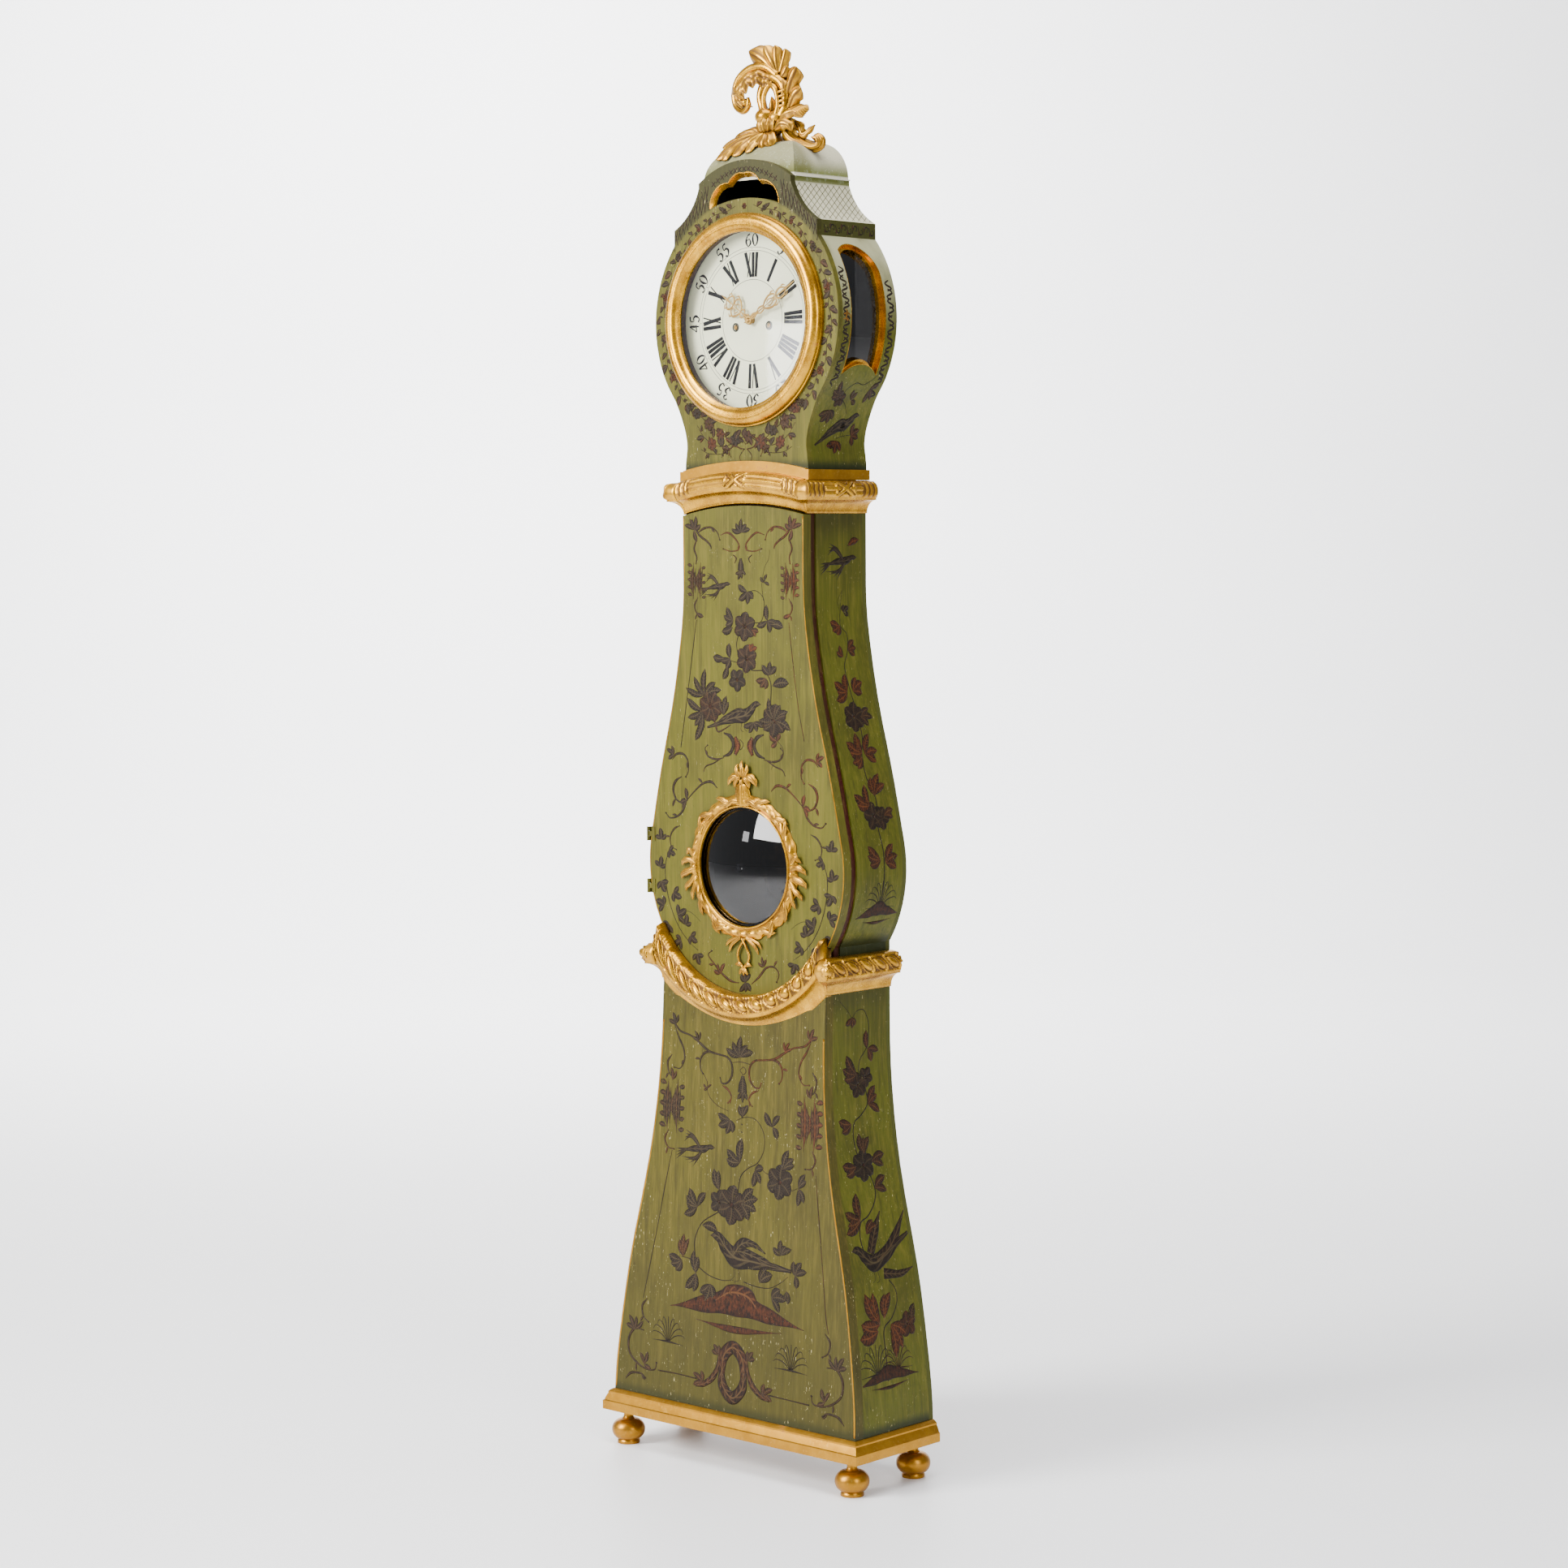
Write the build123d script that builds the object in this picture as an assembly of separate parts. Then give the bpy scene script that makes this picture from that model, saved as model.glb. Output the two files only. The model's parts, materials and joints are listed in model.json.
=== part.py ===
from build123d import *
import math
import os

# Longcase clock with a bulging waist, drawn in millimetres.
# X runs across the front, Y from the front (minus) to the wall (plus), Z up from the floor.

# ---------------------------------------------------------------- overall
DEPTH = 213.4            # front of the plinth moulding to the wall
BACK_Y = DEPTH / 2
SEAM = 0.3               # gap between pieces that pass or lie loosely on each other
FIT = 0.05               # radial clearance of a pin or pivot in its hole

# ---------------------------------------------------------------- feet and plinth
FOOT_H = 59.0
FOOT_BUN_R = 29.0
FOOT_PAD_R = 19.5
FOOT_NECK_R = 9.5
FOOT_TOP_R = 14.0
FOOT_BUN_Z = 25.0
# levels of pad, lower curve, neck and upper curve, as shares of the foot's height
FOOT_LEVELS = (0.07, 0.12, 0.72, 0.76, 0.87, 0.97)
FOOT_SIDE_INSET = 19.0   # foot centres inside the width of the base
PLINTH_H = 36.0
PLINTH_PROJ = 15.5

# ---------------------------------------------------------------- base case
BASE_HALF = 279.0        # half width above the plinth
WAIST_HALF = 187.0       # half width at the waist
BASE_RAKE = 0.05         # the base front leans back by this much per millimetre of height
BASE_FRONT_T = 20.0
BASE_SIDE_T = 14.0
BOTTOM_BOARD_T = 16.0
BACKBOARD_T = 10.0
# height share and width share of the concave taper from plinth to waist
BASE_TAPER = [(0.172, 0.88), (0.345, 0.66), (0.50, 0.38), (0.655, 0.15), (0.80, 0.03)]

# ---------------------------------------------------------------- trunk and its door
LENS_Z = 1021.5          # centre of the round lens and of the swelling of the trunk
DOOR_R = 224.0
DOOR_T = 18.0
DOOR_SETBACK = 4.0       # door face behind the face of the base at the waist
TRUNK_EDGE = 1.0         # the trunk sides stand this much outside the door's round end
SWELL_ARC_UP = 47.5      # the round stretch ends this far above its centre
TAPER_H = 431.0
TRUNK_TAPER = [(0.26, 0.70), (0.51, 0.36), (0.77, 0.10)]
NECK_HALF = 138.0
NECK_STRAIGHT = 112.0
DOOR_RISE = 16.0         # rise of the door's arched top
TRUNK_SIDE_T = 14.0
FRAME_T = 12.0
FRAME_INSET = 3.0        # the front frame stands back from the outline
FRAME_STILE = 10.0
FRAME_SILL = 34.0
FRAME_HEAD = 22.0

# ---------------------------------------------------------------- lens in the door
LENS_HOLE_R = 97.0
LENS_REBATE_R = 105.0
LENS_REBATE_T = 6.0
LENS_GLASS_T = 3.0
LENS_BULGE = 15.0
LENS_RIM_W = 8.5
LENS_FRAME_IN_R = 100.5
LENS_FRAME_OUT_R = 123.0
LENS_FRAME_T = 9.0
LENS_CREST_UP = 180.0    # carved crest and pendant, measured from the lens centre
LENS_CREST_DOWN = 184.0
LENS_CREST_SIDE = 147.0
LENS_CREST_HALF = 33.0

# ---------------------------------------------------------------- mouldings
RING_GAP = 3.0           # between the door's round end and the waist moulding
WAIST_H = 62.0
WAIST_PROJ = 30.0
WAIST_LIFT = 4.0         # the side runs sit this much above the middle of the front one's end
NECK_GAP = 2.0
NECK_H = 55.0
NECK_PROJ = 29.0
NECK_SETBACK = 8.0       # its ground stands this much behind the door's face

# ---------------------------------------------------------------- hood
HOOD_GAP = 0.3
HOOD_SETBACK = 10.0      # hood face behind the door face
HOOD_FRONT_T = 11.0
HOOD_SIDE_T = 10.0
HOOD_FOOT_STEP = 2.0     # the hood's foot stands this much outside the neck
HOOD_FOOT_H = 20.0
HOOD_BAND_H = 17.0
HOOD_BAND_PROJ = 7.0
HANDS_UP = 267.2         # centre of the hands above the hood's lower edge
HOOD_R = 208.5
HOOD_ARC_DOWN = 91.0     # the round stretch starts this far below the hands
HOOD_TAPER = [(0.245, -0.084), (0.567, 0.19), (0.77, 0.525)]
SHOULDER_UP = 131.0
SHOULDER_H = 26.0
COVE_H = 67.0
CREST_HALF = 104.5
CREST_H = 8.0
CREST_ARCH = 33.0
COVE_T = 10.0
ROOF_LEDGE = 2.0
ROOF_R = 65.0
ROOF_T = 8.0
BACK_NECK_INSET = 22.0   # the backboard inside the neck's width, where the hood slides over it
BACK_HEAD_GAP = 10.0     # from the top of the backboard to the hood's back panel
HOOD_HOLE_R = 148.0

APERTURE_R = 201.5       # lower edge of the opening above the dial, round the hands
APERTURE_HALF = 72.0
APERTURE_LOBE = (62.4, 212.4)
APERTURE_CUSP = (33.4, 222.0)
APERTURE_TOP = 236.0
APERTURE_FRAME_W = 7.0
APERTURE_FRAME_T = 9.0   # depth of its gilt lining, inside the board
APERTURE_LIP = 1.0       # the lining's square outer edge
APERTURE_PROUD = 1.0

WINDOW_FRONT = 32.0      # side window, from the hood's face to its near edge
WINDOW_W = 87.0
WINDOW_LOW = 96.0        # below the hands
WINDOW_HIGH = 118.0      # above the hands
WINDOW_CUSP = 17.0
WINDOW_FRAME_W = 9.0
WINDOW_LINING_T = 1.5    # gilt lining of the opening's cut edge
WINDOW_RECESS = 0.5      # lining behind the hood's side
WINDOW_DEPTH = 8.0       # frame behind the hood's side
WINDOW_FRAME_T = 7.0
WINDOW_GLASS_T = 2.0

# ---------------------------------------------------------------- glazed ring before the dial
BEZEL_R = 177.0
BEZEL_IN_R = 145.5
BEZEL_T = 18.0
BEZEL_REBATE = 3.5
BEZEL_GLASS_T = 2.5

# ---------------------------------------------------------------- hinges
DOOR_AXIS_OUT = 2.6      # hinge line outside the door's widest point
DOOR_AXIS_FRONT = 1.0    # hinge line before the door's face
DOOR_HINGE_OFF = 45.0    # hinges above and below the lens centre
DOOR_LEAF_W = 9.0
HINGE_HALF_L = 12.0
KNUCKLE_R = 2.1
HINGE_PIN_R = 1.0
KNUCKLE_HALF_L = 4.2
LEAF_T = 1.2
STRAP_T = 1.6
STRAP_L = 20.0
BEZEL_AXIS_OUT = 4.5
BEZEL_LEAF_W = 14.0

# ---------------------------------------------------------------- lock
LOCK_UP = 49.5
LOCK_CLEAR = 6.5         # lock case inside the frame's opening, where the round stretch ends
LOCK_W = 34.0
LOCK_H = 40.0
KEY_IN = 4.5             # keyhole from the lock's edge
LOCK_D = 12.0
LOCK_WALL = 2.0
BOLT_H = 12.0
BOLT_D = 4.0
BOLT_L = 24.0
BOLT_THROW = 8.0
KEYHOLE_R = 2.4
BOLT_TAIL_T = 4.0

# ---------------------------------------------------------------- movement
SEAT_T = 12.0
SEAT_BELOW_HANDS = 91.5
SEAT_FRONT = 26.0        # front edge of the seat board behind the hood's face
CHEEK_T = 14.0
LINE_SLOT_HALF = 5.0
ROD_SLOT_HALF = (30.0, 9.0)
CHEEK_LAP = 110.0        # how far the cheeks reach down inside the trunk
DIAL_R = 160.0
DIAL_T = 2.0
DIAL_SETBACK = 18.0      # dial face behind the hood's face
PLATE_HALF = 66.0
PLATE_T = 3.5
PLATE_SETBACK = 18.0     # front plate behind the dial's face
PLATE_GAP = 56.5         # clear distance between the plates
PLATE_H = 182.0
PILLAR_R = 4.5
PILLAR_INSET = 11.0
PIVOT_R = 0.9
ARBOR_R = 1.7
WIND_X = 38.0
WIND_DROP = 10.0
WIND_SQUARE_R = 3.0
BARREL_R = 25.0
BARREL_L = 36.0
GREAT_T = 2.4
WHEEL_T = 1.6
TRAIN_MODULE = 0.755
PINION = 8
CENTRE_TEETH = 64
THIRD_TEETH = 60
STRIKE_TEETH = 84
PIN_TEETH = 56
ESCAPE_TEETH = 30
ESCAPE_R = 16.0
PALLET_CLEAR = 1.5       # pallets outside the escape wheel at rest
MOTION_TEETH = 36
MOTION_PINION = 6
HOUR_TEETH = 72
MOTION_MODULE = 0.7
PIN_WHEEL_ANGLE = 102.0
FLY_ANGLE = 62.0
GREAT_HUB_R = 4.5
GREAT_OFF = 2.0          # great wheels behind the front plate
THIRD_OFF = 17.0
ESCAPE_OFF = 32.0
CENTRE_OFF = 6.0         # centre wheel and pin wheel before the back plate
PINION_LAP = 1.0         # pinions are longer than their wheels by this much at each end
PIN_RING_R = 14.0
PIN_COUNT = 8
PIN_L = 3.0
FLY_HALF = 12.0
FLY_OFF = 18.0
FLY_L = 16.0
HAMMER_OUT = 17.3        # hammer arbor outside the pin wheel's
HAMMER_RISE = 26.0
HAMMER_TAIL = 15.5
HAMMER_TAIL_UP = 7.0     # the tail points this many degrees above the pin wheel's centre
HAMMER_HEAD_L = 10.0
HAMMER_REST = 3.0
HAMMER_HEAD_R = 4.5
HAMMER_ARM_HALF = 1.2
HAMMER_ARM_LOW = 5.0     # the arm passes this far under the bell's rim
COCK_PAST = 10.0
COCK_HALF = 9.0
COCK_T = 6.0
SUSPENSION_R = 1.6
CRUTCH_L = 46.0
CRUTCH_GAP = 2.0
CRUTCH_T = 2.0
HOUR_PIPE_R = 5.0
MINUTE_HAND_OFF = 11.0   # hands before the dial
HOUR_HAND_OFF = 7.0
CANNON_OFF = 5.0         # motion wheels before the front plate
HOUR_WHEEL_OFF = 10.0
HAND_BOSS_R = 4.5
PULLEY_PIN_R = 2.0
WALL_SCREW_R = 4.0
WALL_SCREW_UP = 104.0    # wall screw hole above the hands
PENDULUM_UP = 74.5
ROD_GAP = 7.9            # pendulum rod's middle behind the crutch
ROD_R = 2.5
BOB_R = 72.0
BOB_T = 28.0
BOB_EDGE = 4.0
BOB_DROP = 4.5
ROD_TAIL = 22.0          # rod below the bob
NUT_R = 8.0
NUT_T = 5.0
LINE_R = 0.9
PULLEY_R = 22.0
PULLEY_W = 7.0
WEIGHT_R = 26.0
WEIGHT_H = 190.0
STIRRUP_HALF = 5.0
STIRRUP_T = 2.0
STIRRUP_DROP = 10.0      # under the pulley's rim
HOOK_R = 2.2
HOOK_L = 16.0
LINE_AT_REST = 42.0      # seat board to pulley centre with the clock freshly wound
BELL_R = 40.0
BELL_T = 2.0
BELL_UP = 102.0
BELL_X = -20.0
BELL_STAND_R = 2.5
BELL_BRIDGE_HALF = 5.0
BELL_BRIDGE_T = 3.0
MINUTE_HAND_L = 122.0
HOUR_HAND_L = 77.0
HAND_T = 1.2
MINUTES_SHOWN = 10.0
HOURS_SHOWN = 10.0

# ---------------------------------------------------------------- finial
FINIAL_H = 164.5
FINIAL_T = 30.0
FINIAL_FOOT_HALF = 34.0
FINIAL_FOOT_H = 12.0
FINIAL_SHARE = 0.006079  # share of its height that one step of the outlines stands for
FINIAL_Y_BACK = 78.0     # middle of the finial before the wall
DROOP_TURN = 41.0        # the drooping leaf turns this far to the front
SCROLL_TURN = 10.0       # the scroll on the right turns this far to the back

# ---------------------------------------------------------------- worked-out places
PLINTH_TOP = FOOT_H + PLINTH_H
BASE_FACE_Y = -BACK_Y + PLINTH_PROJ
RING_IN = DOOR_R + RING_GAP
RING_OUT = RING_IN + WAIST_H
RING_END_LOW = LENS_Z - math.sqrt(RING_OUT ** 2 - WAIST_HALF ** 2)
RING_END_HIGH = LENS_Z - math.sqrt(RING_IN ** 2 - WAIST_HALF ** 2)
WAIST_LOW = (RING_END_LOW + RING_END_HIGH - WAIST_H) / 2 + WAIST_LIFT
WAIST_TOP = WAIST_LOW + WAIST_H
CASE_JOINT_Z = WAIST_LOW + WAIST_H / 2


def base_face(z):
    """Y of the raked front of the base at height z."""
    return BASE_FACE_Y + BASE_RAKE * (z - PLINTH_TOP)


WAIST_FACE_Y = base_face(CASE_JOINT_Z)
DOOR_Y = WAIST_FACE_Y + DOOR_SETBACK
FRAME_Y = DOOR_Y + DOOR_T + SEAM
TRUNK_SIDE_Y = FRAME_Y + FRAME_T
BACKBOARD_Y = BACK_Y - BACKBOARD_T
TRUNK_R = DOOR_R + TRUNK_EDGE
TAPER_Z = LENS_Z + SWELL_ARC_UP
NECK_Z = TAPER_Z + TAPER_H
DOOR_TOP = NECK_Z + NECK_STRAIGHT
DOOR_ARCH_R = (NECK_HALF ** 2 + DOOR_RISE ** 2) / (2 * DOOR_RISE)
ARCH_Z = DOOR_TOP + DOOR_RISE - DOOR_ARCH_R
NECK_LOW = DOOR_TOP + NECK_GAP
NECK_TOP = NECK_LOW + NECK_H
NECK_IN_R = DOOR_ARCH_R + NECK_GAP
NECK_OUT_R = NECK_IN_R + NECK_H
NECK_Y = DOOR_Y + NECK_SETBACK
HOOD_Z = NECK_TOP + HOOD_GAP
HOOD_FOOT_HALF = NECK_HALF + HOOD_FOOT_STEP
BACK_NECK_HALF = NECK_HALF - BACK_NECK_INSET
HOOD_ARCH_R = NECK_OUT_R + HOOD_GAP
HOOD_Y = DOOR_Y + HOOD_SETBACK
HOOD_SIDE_Y = HOOD_Y + HOOD_FRONT_T
HANDS_Z = HOOD_Z + HANDS_UP
SHOULDER_Z = HANDS_Z + SHOULDER_UP
SHOULDER_HALF = math.sqrt(HOOD_R ** 2 - SHOULDER_UP ** 2)
COVE_Z = SHOULDER_Z + SHOULDER_H
NOTCH_Z = COVE_Z + COVE_H + CREST_H
ROOF_TOP = NOTCH_Z + ROOF_LEDGE + ROOF_R
DIAL_Y = HOOD_Y + DIAL_SETBACK
PLATE_Y = DIAL_Y + PLATE_SETBACK
PLATE_BACK_Y = PLATE_Y + PLATE_T + PLATE_GAP
SEAT_Z = HANDS_Z - SEAT_BELOW_HANDS
SEAT_Y = HOOD_Y + SEAT_FRONT
PIVOT_Z = HANDS_Z + PENDULUM_UP
LINE_Y = PLATE_Y + PLATE_T + PLATE_GAP / 2
PULLEY_Z = SEAT_Z - SEAT_T - LINE_AT_REST
LINE_X = WIND_X + BARREL_R + LINE_R
PULLEY_X = LINE_X - PULLEY_R - LINE_R
WIND_Z = HANDS_Z - WIND_DROP
CRUTCH_Y = PLATE_BACK_Y + PLATE_T + CRUTCH_GAP
PENDULUM_Y = CRUTCH_Y + CRUTCH_T + ROD_GAP
FINIAL_Y = BACK_Y - FINIAL_Y_BACK
FAR = 2 * BASE_HALF      # reach of the bodies that only cut


# ================================================================ drawing helpers
def at(x, z):
    """Point of the front view."""
    return Vector(x, 0, z)


def shifted(edges, dx):
    return [Pos(dx, 0, 0) * edge for edge in edges]


def mirror_x(shape):
    return shape.mirror(Plane.YZ)


def outline(right, top_mid=None, bottom_mid=None):
    """Face of the front view, from the edges of its right half, bottom to top."""
    left = [mirror_x(edge) for edge in right]
    edges = list(right) + left
    low, high = right[0] @ 0, right[-1] @ 1
    for end, middle in ((low, bottom_mid), (high, top_mid)):
        if abs(end.X) < 1e-6:
            continue
        other = at(-end.X, end.Z)
        if middle is None:
            edges.append(Line(end, other))
        else:
            edges.append(ThreePointArc(end, at(0, middle), other))
    return Face(Wire(edges))


def wall_face(edges, thick):
    """Face of the front view between edges and the same edges moved inwards."""
    inner = shifted(edges, -thick)
    low = Line(edges[0] @ 0, inner[0] @ 0)
    high = Line(edges[-1] @ 1, inner[-1] @ 1)
    return Face(Wire(list(edges) + [high] + inner + [low]))


def slab(face, y0, y1):
    """Face of the front view made solid from y0 to y1."""
    return extrude(Pos(0, y0, 0) * face, amount=y1 - y0, dir=(0, 1, 0))


def box(x0, x1, y0, y1, z0, z1):
    return Pos((x0 + x1) / 2, (y0 + y1) / 2, (z0 + z1) / 2) * Box(x1 - x0, y1 - y0, z1 - z0)


def rod_y(x, z, r, y0, y1):
    """Round bar along Y."""
    return Pos(x, (y0 + y1) / 2, z) * Rot(90, 0, 0) * Cylinder(r, y1 - y0)


def rod_z(x, y, r, z0, z1):
    """Round bar along Z."""
    return Pos(x, y, (z0 + z1) / 2) * Cylinder(r, z1 - z0)


def tube_y(x, z, r_in, r_out, y0, y1):
    return rod_y(x, z, r_out, y0, y1) - rod_y(x, z, r_in, y0 - 1, y1 + 1)


def side_prism(points, x0, x1):
    """Polygon of (y, z) points made solid along X."""
    corners = [Vector(x0, y, z) for y, z in points]
    face = Face(Wire.make_polygon(corners, close=True))
    return extrude(face, amount=x1 - x0, dir=(1, 0, 0))


def profile_face(start, moves, place):
    """Closed face of a moulding. Each move is (end,) or (via, end), placed by place(out, up)."""
    edges = []
    here = start
    for move in moves:
        end = move[-1]
        if len(move) == 2:
            edges.append(ThreePointArc(place(*here), place(*move[0]), place(*end)))
        else:
            edges.append(Line(place(*here), place(*end)))
        here = end
    if here != start:
        edges.append(Line(place(*here), place(*start)))
    return Face(Wire(edges))


def turned(start, moves, x, y):
    """Solid turned about a vertical axis at x, y."""
    face = profile_face(start, moves, lambda out, up: Vector(x + out, y, up))
    return revolve(face, Axis((x, y, 0), (0, 0, 1)))


def turned_y(start, moves, x, z):
    """Solid turned about an axis along Y. The profile is (radius, y)."""
    face = profile_face(start, moves, lambda out, along: Vector(x + out, along, z))
    return revolve(face, Axis((x, 0, z), (0, 1, 0)))


def both(shape):
    """A right-hand piece and its mirror image as two solids."""
    return Compound(children=[shape, mirror_x(shape)])


def group(shapes):
    return Compound(children=list(shapes))


PIECES = {}


# ================================================================ outlines of the case
def base_edges():
    rise = WAIST_LOW - PLINTH_TOP
    curve = [at(BASE_HALF, PLINTH_TOP)]
    for up, wide in BASE_TAPER:
        curve.append(at(WAIST_HALF + (BASE_HALF - WAIST_HALF) * wide, PLINTH_TOP + rise * up))
    curve.append(at(WAIST_HALF, WAIST_LOW))
    return [
        Line(at(BASE_HALF, FOOT_H), curve[0]),
        Spline(*curve, tangents=[(0, 0, 1), (0, 0, 1)]),
        Line(curve[-1], at(WAIST_HALF, CASE_JOINT_Z)),
    ]


def swell_point(radius, z):
    return at(math.sqrt(radius ** 2 - (z - LENS_Z) ** 2), z)


def taper_edges(radius):
    """Edges from the end of the round swelling up to the top of the neck."""
    start = swell_point(radius, TAPER_Z)
    curve = [start]
    for up, wide in TRUNK_TAPER:
        curve.append(at(NECK_HALF + (start.X - NECK_HALF) * wide, TAPER_Z + TAPER_H * up))
    curve.append(at(NECK_HALF, NECK_Z))
    lean = (-SWELL_ARC_UP, 0, start.X)
    return [Spline(*curve, tangents=[lean, (0, 0, 1)])]


def trunk_edges():
    foot_z = LENS_Z - math.sqrt(TRUNK_R ** 2 - WAIST_HALF ** 2)
    foot = at(WAIST_HALF, foot_z)
    arc = ThreePointArc(foot, at(TRUNK_R, LENS_Z), swell_point(TRUNK_R, TAPER_Z))
    neck = Line(at(NECK_HALF, NECK_Z), at(NECK_HALF, NECK_TOP))
    return [Line(at(WAIST_HALF, CASE_JOINT_Z), foot), arc] + taper_edges(TRUNK_R) + [neck]


def door_edges():
    bottom = at(0, LENS_Z - DOOR_R)
    arc = ThreePointArc(bottom, at(DOOR_R, LENS_Z), swell_point(DOOR_R, TAPER_Z))
    side = Line(at(NECK_HALF, NECK_Z), at(NECK_HALF, DOOR_TOP))
    return [arc] + taper_edges(DOOR_R) + [side]


def hood_edges():
    foot = at(HOOD_FOOT_HALF, HOOD_Z)
    foot_top = at(HOOD_FOOT_HALF, HOOD_Z + HOOD_FOOT_H)
    start = at(math.sqrt(HOOD_R ** 2 - HOOD_ARC_DOWN ** 2), HANDS_Z - HOOD_ARC_DOWN)
    rise = start.Z - foot_top.Z
    curve = [foot_top]
    for up, wide in HOOD_TAPER:
        x = HOOD_FOOT_HALF + (start.X - HOOD_FOOT_HALF) * wide
        curve.append(at(x, foot_top.Z + rise * up))
    curve.append(start)
    shoulder = at(SHOULDER_HALF, SHOULDER_Z)
    return [
        Line(foot, foot_top),
        Spline(*curve, tangents=[(0, 0, 1), (HOOD_ARC_DOWN, 0, start.X)]),
        ThreePointArc(start, at(HOOD_R, HANDS_Z), shoulder),
        Line(shoulder, at(SHOULDER_HALF, COVE_Z)),
    ]


def cove_edges():
    low = at(SHOULDER_HALF, COVE_Z)
    high = at(CREST_HALF, COVE_Z + COVE_H)
    bow = at(CREST_HALF + (SHOULDER_HALF - CREST_HALF) * 0.34, COVE_Z + COVE_H * 0.46)
    return [ThreePointArc(low, bow, high), Line(high, at(CREST_HALF, NOTCH_Z))]


# ================================================================ base
def behind_base_front(extra):
    """Everything behind the raked face, moved back by extra."""
    z0, z1 = 0.0, LENS_Z
    front = [(base_face(z0) + extra, z0), (base_face(z1) + extra, z1)]
    return side_prism(front + [(FAR, z1), (FAR, z0)], -FAR, FAR)


def base():
    edges = base_edges()
    horn = Line(at(WAIST_HALF, CASE_JOINT_Z), at(WAIST_HALF, WAIST_TOP))
    front_face = outline(edges + [horn])
    board = slab(front_face, -BACK_Y, 0) & behind_base_front(0)
    board -= behind_base_front(BASE_FRONT_T)
    board -= rod_y(0, LENS_Z, RING_IN + RING_GAP, -BACK_Y, BACK_Y)
    PIECES["base_front"] = board

    side = slab(wall_face(edges, BASE_SIDE_T), -BACK_Y, BACKBOARD_Y)
    PIECES["base_sides"] = both(side & behind_base_front(BASE_FRONT_T))

    inside = outline(shifted(edges, -BASE_SIDE_T))
    floor = slab(inside, -BACK_Y, BACKBOARD_Y) & behind_base_front(BASE_FRONT_T)
    floor &= box(-FAR, FAR, -FAR, FAR, FOOT_H, FOOT_H + BOTTOM_BOARD_T)
    PIECES["base_bottom_board"] = floor

    pad_top, bun_low, bun_high, neck_low, neck_mid, neck_high = FOOT_LEVELS
    foot_moves = [
        ((FOOT_PAD_R, 0),),
        ((FOOT_PAD_R, FOOT_H * pad_top),),
        ((FOOT_BUN_R * 0.62, FOOT_H * bun_low),),
        ((FOOT_BUN_R, FOOT_BUN_Z), (FOOT_NECK_R * 1.2, FOOT_H * bun_high)),
        ((FOOT_NECK_R, FOOT_H * neck_low),),
        ((FOOT_NECK_R * 0.9, FOOT_H * neck_mid), (FOOT_TOP_R, FOOT_H * neck_high)),
        ((FOOT_TOP_R, FOOT_H),),
        ((0, FOOT_H),),
    ]
    foot_x = BASE_HALF - FOOT_SIDE_INSET
    foot_y = BACK_Y - FOOT_BUN_R
    feet = [turned((0, 0), foot_moves, x, y) for x in (-foot_x, foot_x) for y in (-foot_y, foot_y)]
    PIECES["bun_feet"] = group(feet)


def backboard():
    body = outline(base_edges() + trunk_edges())
    board = slab(body, BACKBOARD_Y, BACK_Y)
    head_top = COVE_Z - BACK_HEAD_GAP
    head = box(-BACK_NECK_HALF, BACK_NECK_HALF, BACKBOARD_Y, BACK_Y, NECK_TOP, head_top)
    screw = rod_y(0, HANDS_Z + WALL_SCREW_UP, WALL_SCREW_R, BACKBOARD_Y - 1, BACK_Y + 1)
    PIECES["backboard"] = board + head - screw


# ================================================================ mouldings
def scaled(moves, out, up):
    """Moves given as shares of a moulding's projection and height."""
    return [tuple((a * out, b * up) for a, b in move) for move in moves]


# shares of projection and height, from the lower edge up
COVE_AND_TORUS = [
    ((0.10, 0),),
    ((0.25, 0.25), (0.72, 0.40)),
    ((0.80, 0.40),),
    ((0.80, 0.45),),
    ((1.0, 0.72), (0.62, 0.97)),
    ((0.20, 1.0),),
    ((0, 1.0),),
]
PLINTH_STEPS = [
    ((1.0, 0),),
    ((1.0, 0.42),),
    ((0.86, 0.46),),
    ((0.72, 0.62), (0.55, 0.78)),
    ((0.55, 0.86),),
    ((0.35, 0.94), (0.12, 1.0)),
    ((0, 1.0),),
]


def side_run(moves, out, up, x, z, y0, y1):
    face = profile_face((0, 0), scaled(moves, out, up), lambda a, b: at(x + a, z + b))
    return slab(face, y0, y1)


def front_run(moves, out, up, y, z, x0, x1):
    face = profile_face((0, 0), scaled(moves, out, up), lambda a, b: Vector(x0, y - a, z + b))
    return extrude(face, amount=x1 - x0, dir=(1, 0, 0))


def corner_block(moves, out, up, x, y, z):
    """Where a side run and a front run cross, outside both faces."""
    along = side_run(moves, out, up, x, z, y - out, y)
    across = front_run(moves, out, up, y, z, x, x + out)
    return along & across


def arched_run(moves, out, up, y, z, r_low, sign, half, depth):
    """A moulding bent round a centre at height z. sign is -1 where its lower edge is outside."""
    deep = -depth

    def place(a, b):
        return Vector(0, y - a, z + sign * (r_low + sign * b))

    start = (deep, 0)
    shape = [((0, 0),)] + scaled(moves, out, up) + [((deep, up),)]
    ring = revolve(profile_face(start, shape, place), Axis((0, 0, z), (0, 1, 0)))
    middle = z + sign * r_low
    reach = up + 2 * WAIST_H
    return ring & box(-half, half, -FAR, FAR, middle - reach, middle + reach)


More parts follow.
